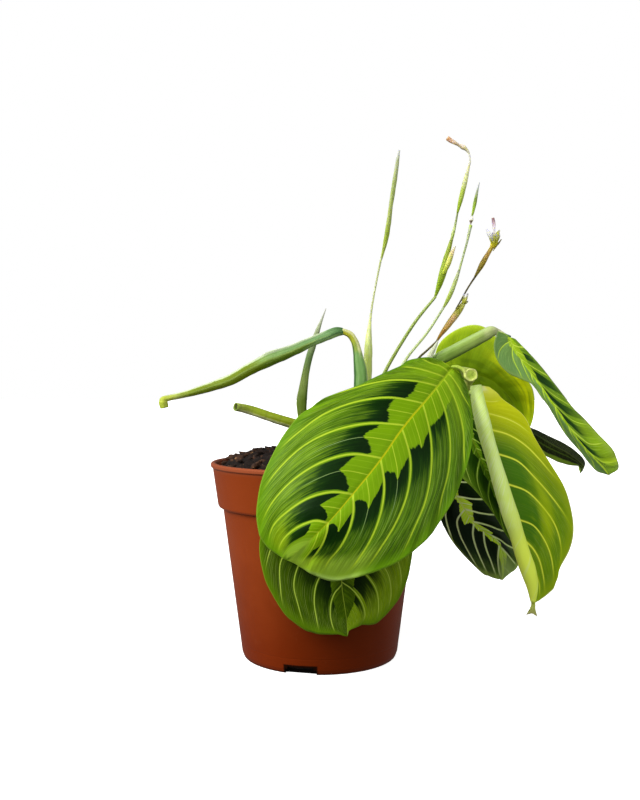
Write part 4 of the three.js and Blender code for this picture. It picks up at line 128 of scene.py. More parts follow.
            [3.5,0.3434,[[8.72,-60.81,73.92],[-1.4,-60.44,69.12],[-9.88,-58.94,61.54],[-14.93,-56.43,51.29],[-13.85,-53.99,39.69],[-11.47,-51.4,28.03]]],
            [4.0,0.407,[[8.73,-61.08,69.17],[-0.41,-60.72,64.08],[-8.23,-59.04,56.83],[-11.41,-56.34,46.47],[-9.3,-53.89,35.52],[-6.44,-51.5,24.6]]],
            [4.5,0.473,[[8.79,-61.2,64.22],[1.12,-60.8,59.21],[-4.99,-59.08,52.17],[-7.12,-56.48,42.82],[-5.49,-54.1,33.18],[-3.27,-51.88,23.6]]],
            [5.0,0.539,[[8.9,-61.1,59.23],[2.93,-60.59,54.41],[-1.18,-58.94,47.65],[-2.46,-56.65,39.58],[-1.52,-54.46,31.35],[0.02,-52.62,23.21]]],
            [5.5,0.6203,[[9.17,-60.57,53.01],[4.68,-59.89,48.67],[1.97,-58.32,42.8],[1.24,-56.41,36.19],[2.03,-54.74,29.58],[3.54,-53.5,23.18]]],
            [6.0,0.7015,[[9.62,-59.53,46.66],[6.51,-58.76,42.95],[4.9,-57.42,38.21],[4.6,-56.06,33.14],[5.41,-54.99,28.17],[7.06,-54.19,23.45]]],
            [6.5,0.7755,[[10.24,-58.0,40.73],[8.29,-57.33,37.68],[7.17,-56.45,34.14],[6.96,-55.61,30.42],[7.48,-54.92,26.78],[8.65,-54.31,23.31]]],
            [7.0,0.8494,[[11.17,-56.24,34.75],[10.16,-55.89,32.52],[9.34,-55.53,30.2],[9.19,-55.11,27.72],[9.49,-54.7,25.25],[10.2,-54.22,22.83]]],
            [7.5,0.9247,[[11.92,-54.89,28.69],[11.44,-54.83,27.55],[10.98,-54.75,26.4],[10.85,-54.59,25.16],[10.94,-54.39,23.91],[11.22,-54.12,22.68]]],
            [8.0,1.0,[[12.25,-53.95,22.66],[12.25,-53.95,22.66],[12.25,-53.95,22.66],[12.25,-53.95,22.66],[12.25,-53.95,22.66],[12.25,-53.95,22.66]]],
        ],
        "R": [
            [0.0,0.0,[[11.38,-60.0,99.44],[12.92,-59.99,99.47],[14.46,-59.94,99.48],[16.0,-59.84,99.35],[17.53,-59.72,99.08],[19.06,-59.56,98.78]]],
            [0.5,0.0417,[[10.74,-59.98,96.37],[15.08,-59.9,96.15],[19.37,-59.5,95.41],[23.51,-58.89,94.11],[27.5,-58.14,92.36],[31.91,-57.21,90.96]]],
            [1.0,0.0834,[[10.09,-59.95,93.3],[16.67,-59.75,92.25],[22.99,-58.91,89.95],[28.85,-57.71,86.44],[34.12,-56.28,81.95],[39.75,-54.46,77.76]]],
            [1.5,0.1243,[[9.51,-59.96,90.27],[17.67,-59.66,88.05],[25.43,-58.41,84.44],[32.3,-56.63,79.17],[37.46,-54.66,72.24],[41.46,-52.73,65.02]]],
            [2.0,0.1653,[[9.11,-60.03,87.22],[18.22,-59.66,83.73],[26.79,-58.05,78.75],[34.04,-55.73,71.69],[38.41,-53.56,62.42],[40.01,-51.67,52.24]]],
            [2.5,0.2226,[[8.87,-60.23,82.93],[18.27,-59.77,79.09],[27.03,-57.94,73.63],[34.07,-55.38,65.87],[37.85,-53.06,56.05],[38.43,-50.71,45.38]]],
            [3.0,0.2799,[[8.79,-60.49,78.66],[17.98,-59.97,74.49],[26.4,-58.08,68.51],[32.86,-55.42,60.13],[35.89,-52.65,49.84],[35.65,-49.69,38.9]]],
            [3.5,0.3434,[[8.72,-60.81,73.92],[17.42,-60.23,69.58],[25.37,-58.3,63.59],[31.6,-55.34,55.48],[34.01,-52.17,45.4],[32.93,-49.13,35.0]]],
            [4.0,0.407,[[8.73,-61.08,69.17],[16.69,-60.43,64.72],[23.94,-58.49,58.77],[29.78,-55.15,50.95],[31.59,-51.64,41.16],[29.91,-48.66,31.32]]],
            [4.5,0.473,[[8.79,-61.2,64.22],[16.01,-60.44,60.03],[22.51,-58.39,54.42],[27.58,-54.87,47.0],[28.99,-51.32,37.99],[27.67,-48.52,29.02]]],
            [5.0,0.539,[[8.9,-61.1,59.23],[15.23,-60.18,55.37],[20.84,-57.94,50.1],[24.96,-54.51,43.14],[26.12,-51.11,34.99],[25.27,-48.67,26.93]]],
            [5.5,0.6125,[[9.14,-60.64,53.61],[14.31,-59.56,50.26],[18.77,-57.34,45.63],[22.01,-54.31,39.7],[23.15,-51.44,32.99],[22.09,-50.01,26.55]]],
            [6.0,0.6859,[[9.52,-59.77,47.89],[13.4,-58.61,45.1],[16.62,-56.68,41.29],[18.98,-54.38,36.69],[20.02,-52.33,31.65],[18.76,-51.86,27.01]]],
            [6.5,0.7676,[[10.15,-58.18,41.37],[12.63,-57.1,39.07],[14.75,-55.74,36.26],[16.32,-54.31,33.04],[16.99,-53.23,29.62],[16.2,-53.05,26.46]]],
            [7.0,0.8494,[[11.17,-56.24,34.75],[12.3,-55.62,33.09],[13.33,-54.97,31.34],[14.06,-54.39,29.46],[14.17,-54.06,27.5],[13.75,-53.96,25.64]]],
            [7.5,0.9247,[[11.92,-54.89,28.69],[12.32,-54.68,27.85],[12.68,-54.48,27.04],[12.89,-54.31,26.2],[12.78,-54.23,25.34],[12.47,-54.2,24.52]]],
            [8.0,1.0,[[12.25,-53.95,22.66],[12.25,-53.95,22.66],[12.25,-53.95,22.66],[12.25,-53.95,22.66],[12.25,-53.95,22.66],[12.25,-53.95,22.66]]],
        ],
    },
    "leaf_half_rolled": {
        "mid": [[73.95,-28.0,133.6],[76.5,-27.9,125.13],[79.15,-27.62,116.65],[81.32,-27.56,108.06],[83.89,-27.49,99.55],[86.74,-27.4,91.13],[89.27,-26.91,82.52],[92.36,-25.61,73.89],[95.13,-24.1,65.06],[98.38,-22.18,56.19],[101.68,-20.18,47.24],[103.61,-18.94,38.08],[102.44,-20.0,29.29]],
        "R": [
            [0.0,0.0,[[73.95,-28.0,133.6],[75.1,-27.48,133.43],[76.24,-26.96,133.25],[77.38,-26.45,133.06],[78.52,-25.95,132.85],[79.66,-25.44,132.64]]],
            [0.5,0.0391,[[75.14,-27.96,129.62],[76.68,-27.25,129.5],[78.3,-26.51,129.39],[79.98,-25.72,129.45],[81.71,-24.88,129.68],[83.5,-24.01,129.94]]],
            [1.0,0.0782,[[76.34,-27.91,125.65],[78.4,-26.95,125.57],[80.47,-25.98,125.53],[82.54,-24.98,125.75],[84.57,-23.97,126.21],[86.61,-22.93,126.7]]],
            [1.5,0.1057,[[77.22,-27.83,122.86],[81.06,-26.07,122.35],[85.14,-24.17,121.84],[89.26,-22.25,121.16],[93.22,-20.42,120.2],[97.06,-18.67,119.03]]],
            [2.0,0.1332,[[78.12,-27.73,120.07],[83.65,-25.22,118.85],[89.12,-22.75,117.24],[94.29,-20.52,114.85],[98.94,-18.65,111.63],[103.25,-17.01,107.99]]],
            [2.5,0.1698,[[79.23,-27.62,116.33],[86.76,-24.21,114.45],[93.74,-21.24,111.24],[99.81,-18.92,106.74],[105.31,-16.99,101.48],[111.05,-14.59,96.16]]],
            [3.0,0.2064,[[80.18,-27.58,112.55],[89.61,-23.39,109.87],[97.94,-20.15,104.83],[104.99,-17.65,98.22],[111.74,-14.65,91.0],[119.18,-10.8,83.95]]],
            [3.5,0.2583,[[81.56,-27.55,107.21],[91.8,-23.22,103.86],[100.23,-20.27,97.44],[107.96,-16.87,89.83],[115.46,-12.98,81.62],[122.84,-9.33,73.19]]],
            [4.0,0.3101,[[83.15,-27.48,101.92],[93.72,-23.33,97.8],[102.11,-20.13,90.02],[110.25,-15.91,81.41],[117.75,-12.05,72.15],[124.13,-8.83,62.12]]],
            [4.5,0.3742,[[85.26,-27.5,95.42],[96.03,-23.14,91.02],[104.81,-18.9,82.91],[112.74,-14.7,73.78],[118.59,-11.67,63.69],[121.89,-9.72,52.96]]],
            [5.0,0.4384,[[87.44,-27.31,88.91],[97.97,-22.52,84.24],[106.43,-18.1,76.08],[113.32,-14.4,66.62],[116.86,-12.38,55.94],[116.81,-12.01,45.0]]],
            [5.5,0.5215,[[90.0,-26.65,80.3],[99.82,-21.67,75.92],[107.23,-17.62,68.21],[112.85,-14.52,59.35],[115.55,-12.84,49.63],[115.7,-12.35,39.8]]],
            [6.0,0.6045,[[93.11,-25.23,71.67],[101.54,-20.68,67.54],[107.3,-17.44,60.37],[111.19,-15.19,52.27],[113.04,-13.9,43.73],[113.7,-13.23,35.13]]],
            [6.5,0.6511,[[94.61,-24.4,66.72],[101.41,-20.64,62.08],[106.06,-18.0,55.5],[108.96,-16.23,48.22],[110.53,-15.1,40.71],[111.31,-14.49,33.21]]],
            [7.0,0.6976,[[96.27,-23.43,61.77],[101.26,-20.62,56.74],[104.8,-18.55,50.86],[106.87,-17.23,44.48],[108.13,-16.33,37.99],[108.71,-15.97,31.53]]],
            [7.5,0.7636,[[98.92,-21.86,54.74],[102.18,-19.97,50.34],[104.63,-18.49,45.59],[106.12,-17.53,40.6],[106.82,-17.04,35.6],[106.92,-17.1,30.69]]],
            [8.0,0.8296,[[101.55,-20.26,47.65],[103.21,-19.26,44.19],[104.56,-18.42,40.65],[105.43,-17.87,37.05],[105.48,-17.87,33.49],[105.01,-18.34,30.05]]],
            [8.5,0.9148,[[103.61,-18.95,38.28],[104.08,-18.67,36.52],[104.44,-18.48,34.78],[104.6,-18.43,33.03],[104.29,-18.72,31.33],[103.72,-19.18,29.68]]],
            [9.0,1.0,[[102.44,-20.0,29.29],[102.44,-20.0,29.29],[102.44,-20.0,29.29],[102.44,-20.0,29.29],[102.44,-20.0,29.29],[102.44,-20.0,29.29]]],
        ],
    },
    "leaf_between": {
        "mid": [[66.97,-12.0,122.37],[69.82,-11.22,117.0],[72.37,-11.11,111.55],[74.57,-12.0,106.07],[76.72,-13.44,100.67],[78.9,-14.78,95.31],[81.27,-14.68,89.81],[83.75,-13.71,84.18],[86.23,-12.75,78.53],[88.68,-11.83,72.84],[90.96,-10.9,67.05],[93.01,-9.91,61.14],[95.02,-9.0,55.21]],
        "L": [
            [0.0,0.0,[[66.97,-12.0,122.37],[66.32,-12.26,121.8],[65.69,-12.5,121.21],[65.14,-12.7,120.55],[64.67,-12.87,119.84],[64.22,-13.03,119.12]]],
            [1.0,0.0446,[[68.5,-11.56,119.5],[67.17,-12.11,117.03],[65.87,-12.6,114.56],[64.68,-13.1,112.03],[63.57,-13.7,109.48],[62.42,-14.61,106.96]]],
            [2.0,0.1207,[[71.03,-11.04,114.57],[68.98,-12.32,109.95],[67.23,-13.96,105.26],[66.02,-15.94,100.49],[66.31,-17.58,95.69],[67.37,-18.68,90.96]]],
            [3.0,0.2223,[[73.85,-11.61,107.88],[71.72,-13.72,103.27],[70.35,-15.82,98.5],[70.13,-17.44,93.61],[71.51,-18.06,88.87],[73.4,-18.0,84.19]]],
            [4.0,0.366,[[77.57,-14.02,98.57],[76.14,-15.9,94.52],[75.43,-16.87,90.3],[75.85,-17.06,86.0],[77.22,-16.92,81.84],[78.94,-16.67,77.78]]],
            [5.0,0.5316,[[82.21,-14.33,87.68],[81.42,-14.92,84.08],[81.12,-15.35,80.42],[82.0,-15.31,76.78],[83.37,-15.03,73.25],[85.07,-14.51,69.79]]],
            [6.0,0.7099,[[87.52,-12.27,75.58],[87.33,-12.74,72.67],[87.44,-13.04,69.75],[88.16,-12.83,66.82],[89.2,-12.3,63.91],[90.41,-11.63,61.02]]],
            [7.0,1.0,[[95.02,-9.0,55.21],[95.02,-9.0,55.21],[95.02,-9.0,55.21],[95.02,-9.0,55.21],[95.02,-9.0,55.21],[95.02,-9.0,55.21]]],
        ],
        "R": [
            [0.0,0.0,[[66.97,-12.0,122.37],[68.2,-11.51,122.6],[69.44,-10.99,122.79],[70.71,-10.47,122.78],[71.95,-9.96,122.55],[73.2,-9.45,122.3]]],
            [1.0,0.0446,[[68.5,-11.56,119.5],[71.28,-10.59,118.35],[74.06,-9.64,117.21],[76.91,-8.67,116.2],[79.86,-7.63,115.41],[82.84,-6.54,114.67]]],
            [2.0,0.1207,[[71.03,-11.04,114.57],[74.05,-10.38,112.58],[77.09,-9.81,110.63],[80.42,-9.02,109.1],[84.04,-7.78,108.09],[87.77,-6.24,107.18]]],
            [3.0,0.2223,[[73.85,-11.61,107.88],[77.12,-11.4,105.57],[80.44,-11.02,103.28],[84.08,-10.05,101.27],[88.12,-8.26,99.65],[92.31,-6.01,98.09]]],
            [4.0,0.366,[[77.57,-14.02,98.57],[80.9,-13.49,96.43],[84.4,-12.16,94.23],[88.07,-10.23,92.02],[91.87,-8.04,89.85],[95.73,-5.76,87.66]]],
            [5.0,0.5316,[[82.21,-14.33,87.68],[85.41,-12.69,85.45],[88.65,-10.87,83.15],[91.87,-8.97,80.75],[95.07,-7.01,78.25],[98.31,-4.98,75.71]]],
            [6.0,0.7099,[[87.52,-12.27,75.58],[90.06,-10.8,73.78],[92.54,-9.27,71.84],[94.61,-8.04,69.55],[96.38,-7.06,67.08],[98.13,-6.15,64.61]]],
            [7.0,1.0,[[95.02,-9.0,55.21],[95.02,-9.0,55.21],[95.02,-9.0,55.21],[95.02,-9.0,55.21],[95.02,-9.0,55.21],[95.02,-9.0,55.21]]],
        ],
    },
    "leaf_dark_low": {
        "mid": [[58.6,6.0,92.57],[61.75,6.81,87.54],[65.0,7.05,82.64],[68.34,6.45,77.99],[71.53,5.32,73.38],[74.44,4.16,68.62],[77.69,4.15,63.83],[82.32,4.85,60.07],[87.25,5.65,56.63],[90.94,5.97,52.13],[92.5,6.5,46.4],[93.06,8.33,40.19],[93.15,10.02,33.97]],
        "L": [
            [0.0,0.0,[[58.6,6.0,92.57],[57.79,6.16,91.97],[57.0,6.35,91.35],[56.29,6.57,90.64],[55.66,6.83,89.85],[55.04,7.09,89.05]]],
            [1.0,0.1367,[[63.8,7.07,84.37],[60.58,7.83,82.01],[58.46,8.59,78.61],[58.0,8.71,74.6],[59.27,8.27,70.84],[60.9,7.75,67.23]]],
            [2.0,0.2613,[[68.78,6.32,77.37],[64.96,6.76,73.79],[63.64,6.88,68.8],[64.31,6.84,63.59],[65.91,7.12,58.51],[67.68,7.95,53.36]]],
            [3.0,0.3758,[[73.09,4.69,71.0],[69.36,5.12,65.2],[70.79,5.9,58.07],[74.03,7.12,51.36],[77.78,8.86,44.72],[81.81,10.93,38.07]]],
            [4.0,0.4958,[[77.49,4.12,64.05],[77.12,4.8,58.26],[78.59,5.9,52.52],[80.92,7.29,46.92],[83.61,9.03,41.35],[86.31,10.34,35.84]]],
            [5.0,0.5858,[[82.46,4.88,59.96],[82.92,5.08,54.86],[84.31,5.7,49.84],[86.45,6.82,44.91],[88.47,8.47,39.77],[90.44,9.9,34.63]]],
            [6.0,0.7402,[[90.66,5.98,52.76],[90.18,5.55,49.3],[90.11,6.27,45.61],[90.61,7.58,41.8],[91.32,8.83,38.0],[92.15,9.91,34.23]]],
            [7.0,1.0,[[93.15,10.02,33.97],[93.15,10.02,33.97],[93.15,10.02,33.97],[93.15,10.02,33.97],[93.15,10.02,33.97],[93.15,10.02,33.97]]],
        ],
        "R": [
            [0.0,0.0,[[58.6,6.0,92.57],[59.73,5.97,92.62],[60.86,5.97,92.64],[61.99,6.02,92.49],[63.08,6.1,92.12],[64.15,6.2,91.7]]],
            [1.0,0.1367,[[63.8,7.07,84.37],[66.55,6.84,84.41],[69.31,6.77,84.41],[72.09,6.87,84.32],[74.91,7.15,84.17],[77.75,7.6,84.0]]],
            [2.0,0.2613,[[68.78,6.32,77.37],[72.34,5.92,76.69],[75.97,5.91,76.05],[79.74,6.46,75.71],[83.61,7.51,75.6],[87.56,8.85,75.49]]],
            [3.0,0.3758,[[73.09,4.69,71.0],[77.14,4.51,69.9],[81.37,5.29,68.74],[85.82,6.78,67.93],[90.44,8.8,67.47],[95.16,11.11,67.03]]],
            [4.0,0.482,[[76.83,4.05,64.78],[81.41,4.75,63.66],[86.02,5.99,62.16],[90.55,7.51,60.17],[95.44,9.72,58.71],[100.62,12.48,57.87]]],
            [5.0,0.6137,[[84.06,5.13,58.74],[87.7,5.8,56.9],[91.32,6.67,54.9],[94.7,7.8,52.35],[98.68,10.12,50.18],[103.13,13.04,48.67]]],
            [6.0,0.756,[[91.09,5.95,51.75],[93.05,6.46,49.71],[95.1,7.58,47.52],[97.1,8.92,45.18],[99.1,10.21,42.85],[101.09,11.36,40.54]]],
            [7.0,0.8999,[[92.97,7.96,41.45],[93.81,8.35,40.68],[94.65,8.76,39.89],[95.48,9.17,39.09],[96.18,9.57,38.18],[96.76,9.94,37.2]]],
            [8.0,1.0,[[93.15,10.02,33.97],[93.15,10.02,33.97],[93.15,10.02,33.97],[93.15,10.02,33.97],[93.15,10.02,33.97],[93.15,10.02,33.97]]],
        ],
    },
    "leaf_back_olive": {
        "mid": [[62.03,18.0,132.85],[66.53,18.93,135.75],[71.47,20.14,137.94],[76.74,20.98,139.05],[81.99,21.04,138.51],[86.9,20.59,136.76],[91.32,20.06,134.03],[95.4,20.32,130.61],[99.03,21.31,126.57],[101.98,22.39,122.0],[104.13,22.92,117.08],[105.39,22.62,111.94],[106.38,22.0,106.78]],
        "L": [
            [0.0,0.0,[[62.03,18.0,132.85],[60.96,17.91,133.84],[59.92,17.95,134.86],[59.06,18.1,136.0],[58.38,18.33,137.27],[57.75,18.62,138.56]]],
            [1.0,0.0576,[[65.12,18.57,134.86],[63.64,18.84,138.57],[62.43,19.76,142.35],[61.97,21.02,146.33],[61.96,22.28,150.38],[61.96,23.34,154.44]]],
            [2.0,0.1304,[[69.26,19.63,137.11],[69.02,20.43,142.44],[69.07,21.77,147.8],[70.17,23.2,153.11],[72.0,24.49,158.26],[73.87,25.64,163.41]]],
            [3.0,0.2372,[[75.92,20.9,138.99],[77.27,21.58,144.11],[78.81,22.66,149.21],[80.84,23.91,154.2],[83.19,25.13,159.08],[85.54,26.18,163.96]]],
            [4.0,0.3363,[[82.18,21.04,138.47],[84.68,21.2,141.67],[87.24,21.64,144.87],[89.96,22.29,147.99],[92.81,23.03,151.03],[95.68,23.74,154.06]]],
            [5.0,0.4464,[[88.53,20.38,135.88],[91.22,20.12,137.47],[93.99,20.08,138.99],[97.0,20.09,139.99],[100.13,20.09,140.43],[103.29,20.1,140.79]]],
            [6.0,0.567,[[94.63,20.19,131.33],[97.66,20.06,131.78],[100.71,20.03,132.19],[103.8,20.02,132.39],[106.89,20.01,132.37],[109.98,20.0,132.32]]],
            [7.0,0.7063,[[100.53,21.85,124.45],[102.85,21.71,124.6],[105.19,21.66,124.59],[107.47,21.77,123.94],[109.64,21.94,122.93],[111.77,21.98,121.89]]],
            [8.0,0.8514,[[104.48,22.92,115.97],[105.79,22.66,115.68],[107.08,22.42,115.3],[108.18,22.19,114.52],[109.07,21.95,113.5],[109.95,21.69,112.47]]],
            [9.0,1.0,[[106.38,22.0,106.78],[106.38,22.0,106.78],[106.38,22.0,106.78],[106.38,22.0,106.78],[106.38,22.0,106.78],[106.38,22.0,106.78]]],
        ],
        "R": [
            [0.0,0.0,[[62.03,18.0,132.85],[62.23,18.18,131.73],[62.49,18.46,130.62],[62.99,18.82,129.58],[63.65,19.25,128.62],[64.34,19.73,127.66]]],
            [1.0,0.0941,[[67.14,19.09,136.1],[68.58,19.57,132.54],[70.08,20.77,128.96],[71.52,22.46,125.29],[72.94,24.44,121.57],[74.37,26.47,117.81]]],
            [3.0,0.2372,[[75.92,20.9,138.99],[77.94,21.22,133.39],[80.04,22.72,127.73],[81.91,25.15,121.89],[83.54,27.6,115.94],[85.03,29.2,109.96]]],
            [5.0,0.4464,[[88.53,20.38,135.88],[89.5,21.14,129.88],[90.71,23.2,123.81],[91.92,25.42,117.69],[93.01,27.1,111.52],[93.96,28.0,105.37]]],
            [7.0,0.6642,[[98.93,21.28,126.7],[99.7,22.56,122.18],[100.34,23.58,117.63],[100.52,24.23,113.07],[100.36,24.67,108.51],[100.18,25.12,103.94]]],
            [8.0,0.8514,[[104.48,22.92,115.97],[104.48,22.95,113.92],[104.46,22.9,111.87],[104.45,22.82,109.82],[104.46,22.76,107.77],[104.49,22.81,105.71]]],
            [9.0,1.0,[[106.38,22.0,106.78],[106.38,22.0,106.78],[106.38,22.0,106.78],[106.38,22.0,106.78],[106.38,22.0,106.78],[106.38,22.0,106.78]]],
        ],
    },
    "leaf_folded_right": {
        "mid": [[93.55,-2.0,157.21],[96.53,-2.83,150.89],[100.04,-3.93,144.9],[104.03,-5.1,139.3],[108.15,-6.27,133.82],[111.91,-6.9,128.03],[115.86,-7.4,122.36],[119.71,-7.9,116.63],[123.75,-7.5,110.82],[128.16,-6.88,105.21],[132.93,-6.25,99.87],[137.84,-5.62,94.61],[142.52,-5.0,89.13]],
        "L": [
            [0.0,0.0,[[93.55,-2.0,157.21],[92.5,-2.24,157.97],[91.44,-2.52,158.72],[90.28,-2.83,159.32],[89.03,-3.16,159.72],[87.76,-3.5,160.08]]],
            [0.5,0.0127,[[93.94,-2.13,156.21],[91.95,-2.4,156.45],[89.94,-2.73,156.44],[88.02,-3.09,155.84],[86.65,-3.47,154.44],[85.76,-3.87,152.66]]],
            [1.0,0.0254,[[94.31,-2.25,155.21],[92.05,-2.56,154.01],[90.1,-2.94,152.38],[88.62,-3.35,150.3],[87.91,-3.78,147.89],[87.63,-4.23,145.4]]],
            [1.5,0.0386,[[94.74,-2.39,154.19],[93.03,-2.73,151.55],[91.92,-3.16,148.63],[91.54,-3.62,145.54],[91.95,-4.11,142.48],[92.66,-4.61,139.48]]],
            [2.0,0.0524,[[95.25,-2.52,153.14],[94.87,-2.91,149.5],[95.42,-3.39,145.9],[96.86,-3.9,142.6],[98.5,-4.44,139.4],[99.73,-5.01,136.01]]],
            [3.0,0.1349,[[98.7,-3.49,147.18],[99.62,-3.9,144.34],[100.61,-4.4,141.53],[101.71,-4.94,138.78],[102.98,-5.51,136.12],[104.4,-6.1,133.56]]],
            [4.0,0.2412,[[103.6,-4.98,139.88],[104.21,-5.21,137.26],[105.06,-5.49,134.73],[106.33,-5.79,132.39],[107.62,-6.11,130.07],[108.87,-6.45,127.73]]],
            [5.0,0.3511,[[108.95,-6.51,132.6],[109.6,-6.31,129.88],[110.57,-6.06,127.24],[111.83,-5.8,124.71],[113.1,-5.52,122.18],[114.39,-5.23,119.66]]],
            [6.0,0.4863,[[115.21,-7.32,123.29],[115.99,-6.81,120.24],[117.25,-6.19,117.32],[118.76,-5.52,114.49],[120.14,-4.82,111.58],[121.49,-4.08,108.64]]],
            [7.0,0.6213,[[121.49,-7.84,113.97],[122.66,-7.19,110.99],[124.32,-6.39,108.2],[126.23,-5.53,105.52],[127.86,-4.63,102.65],[129.43,-3.69,99.74]]],
            [8.0,0.7801,[[129.83,-6.65,103.24],[130.95,-6.06,100.79],[132.57,-5.34,98.57],[134.29,-4.56,96.38],[135.44,-3.73,93.87],[136.46,-2.88,91.3]]],
            [9.0,1.0,[[142.52,-5.0,89.13],[142.57,-4.84,89.11],[142.63,-4.65,89.1],[142.69,-4.44,89.07],[142.76,-4.23,89.05],[142.83,-4.0,89.03]]],
        ],
        "R": [
            [0.0,0.0,[[93.55,-2.0,157.21],[94.21,-1.76,157.05],[94.88,-1.48,156.89],[95.54,-1.17,156.67],[96.2,-0.84,156.43],[96.86,-0.5,156.19]]],
            [1.0,0.0578,[[95.47,-2.58,152.74],[98.24,-2.15,150.79],[101.19,-1.63,149.08],[104.16,-1.07,147.37],[106.84,-0.48,145.23],[109.44,0.14,142.98]]],
            [2.0,0.1266,[[98.36,-3.37,147.77],[101.97,-2.77,144.66],[105.78,-2.02,141.74],[109.68,-1.22,138.89],[113.6,-0.38,136.01],[117.54,0.49,133.13]]],
            [3.0,0.2412,[[103.6,-4.98,139.88],[107.51,-4.19,135.89],[111.84,-3.23,132.27],[116.41,-2.19,128.89],[121.13,-1.1,125.62],[125.93,0.04,122.41]]],
            [4.0,0.3631,[[109.49,-6.58,131.77],[113.35,-5.68,127.41],[117.61,-4.58,123.34],[122.22,-3.4,119.58],[127.54,-2.15,116.79],[133.24,-0.85,114.65]]],
            [5.0,0.5057,[[116.13,-7.43,121.97],[119.88,-6.49,117.81],[123.94,-5.34,113.84],[128.36,-4.09,110.17],[133.8,-2.78,108.25],[139.63,-1.42,107.59]]],
            [6.0,0.6517,[[122.98,-7.61,111.85],[126.49,-6.68,108.15],[130.36,-5.54,104.7],[134.59,-4.3,101.6],[139.72,-3.01,100.84],[144.93,-1.66,101.82]]],
            [7.0,0.7844,[[130.08,-6.62,102.96],[132.96,-5.78,100.21],[136.17,-4.76,97.75],[139.77,-3.66,95.78],[143.84,-2.5,95.29],[147.96,-1.3,95.74]]],
            [8.0,0.8921,[[136.39,-5.81,96.17],[138.3,-5.19,94.52],[140.42,-4.44,93.06],[142.75,-3.62,91.91],[145.34,-2.77,91.58],[147.96,-1.87,91.75]]],
            [9.0,1.0,[[142.52,-5.0,89.13],[142.58,-4.81,89.11],[142.65,-4.58,89.09],[142.73,-4.33,89.06],[142.81,-4.07,89.04],[142.89,-3.8,89.01]]],
        ],
    },
    "leaf_dark_folded": {
        "mid": [[103.88,30.2,112.65],[107.34,29.58,111.12],[110.69,28.97,109.37],[113.87,28.35,107.34],[117.03,27.73,105.3],[120.19,27.12,103.28],[123.4,26.5,101.34],[126.79,26.25,99.57],[130.09,26.0,97.65],[133.21,25.75,95.43],[136.19,25.5,93.03],[138.65,25.25,90.22],[136.76,25.0,86.9]],
        "L": [
            [0.0,0.0,[[103.88,30.2,112.65],[104.23,30.36,112.81],[104.59,30.55,112.96],[104.95,30.76,113.11],[105.32,30.97,113.24],[105.7,31.2,113.36]]],
            [2.0,0.3087,[[116.09,27.92,105.9],[116.37,28.36,106.35],[116.67,28.89,106.79],[117.03,29.47,107.22],[117.45,30.08,107.6],[117.91,30.72,107.98]]],
            [4.0,0.6477,[[129.36,26.06,98.12],[129.86,26.52,98.64],[130.38,27.08,99.15],[130.89,27.69,99.68],[131.36,28.33,100.23],[131.83,29.0,100.78]]],
            [6.0,0.8742,[[137.64,25.38,91.85],[137.95,25.7,92.15],[138.29,26.1,92.46],[138.65,26.53,92.75],[139.1,26.98,92.96],[139.58,27.45,93.12]]],
            [7.0,1.0,[[136.76,25.0,86.9],[136.78,25.08,86.9],[136.8,25.17,86.89],[136.83,25.28,86.88],[136.86,25.39,86.87],[136.89,25.5,86.86]]],
        ],
        "R": [
            [0.0,0.0,[[103.88,30.2,112.65],[103.89,30.36,111.99],[103.93,30.55,111.33],[104.09,30.76,110.68],[104.35,30.97,110.05],[104.63,31.2,109.42]]],
            [1.0,0.1364,[[109.5,29.19,110.06],[109.51,29.56,108.12],[109.64,30.01,106.17],[110.17,30.5,104.27],[110.93,31.02,102.42],[111.7,31.55,100.57]]],
            [2.0,0.3087,[[116.09,27.92,105.9],[116.4,28.54,103.82],[116.82,29.31,101.73],[117.61,30.14,99.7],[118.68,31.01,97.77],[119.79,31.92,95.83]]],
            [3.0,0.481,[[122.66,26.64,101.76],[123.32,27.27,99.87],[124.07,28.04,97.97],[124.95,28.86,96.1],[125.88,29.74,94.23],[126.82,30.64,92.36]]],
            [4.0,0.6477,[[129.36,26.06,98.12],[130.0,26.69,96.66],[130.68,27.45,95.19],[131.41,28.28,93.72],[132.18,29.15,92.25],[132.96,30.06,90.77]]],
            [5.0,0.8013,[[135.04,25.6,93.95],[135.32,26.22,93.25],[135.64,26.98,92.55],[135.97,27.81,91.83],[136.32,28.67,91.11],[136.67,29.57,90.38]]],
            [6.0,0.9302,[[138.56,25.21,89.6],[138.12,25.48,89.43],[137.71,25.81,89.25],[137.29,26.17,89.09],[136.88,26.54,88.94],[136.47,26.93,88.8]]],
            [7.0,1.0,[[136.76,25.0,86.9],[136.78,25.08,86.9],[136.8,25.17,86.89],[136.83,25.28,86.88],[136.86,25.39,86.87],[136.89,25.5,86.86]]],
        ],
    },
}
# The roll of the half rolled leaf: axis and radius, top to bottom.
ROLL = [[72.62,-30.4,133.38,2.68],[73.66,-31.3,125.73,3.29],[75.72,-31.7,116.45,3.71],[78.11,-31.49,107.61,3.58],[80.95,-31.39,98.3,3.59],[83.75,-31.53,89.0,3.89],[86.71,-30.86,79.6,4.01],[89.82,-29.46,70.98,4.01],[92.83,-27.52,62.69,3.57],[95.81,-25.86,53.9,3.75],[98.84,-24.09,45.73,3.81],[101.14,-22.44,37.52,2.8],[101.84,-21.06,30.03,1.2]]
# The dried fork at its tip.
TAIL = [[[100.97,-20.6,28.67],[102.03,-20.6,28.48],[102.98,-20.6,28.67]],[[100.31,-20.6,26.8],[101.75,-20.6,26.56],[102.99,-20.6,26.75]],[[98.61,-20.6,23.68],[101.14,-20.6,24.4],[103.87,-20.6,22.96]]]
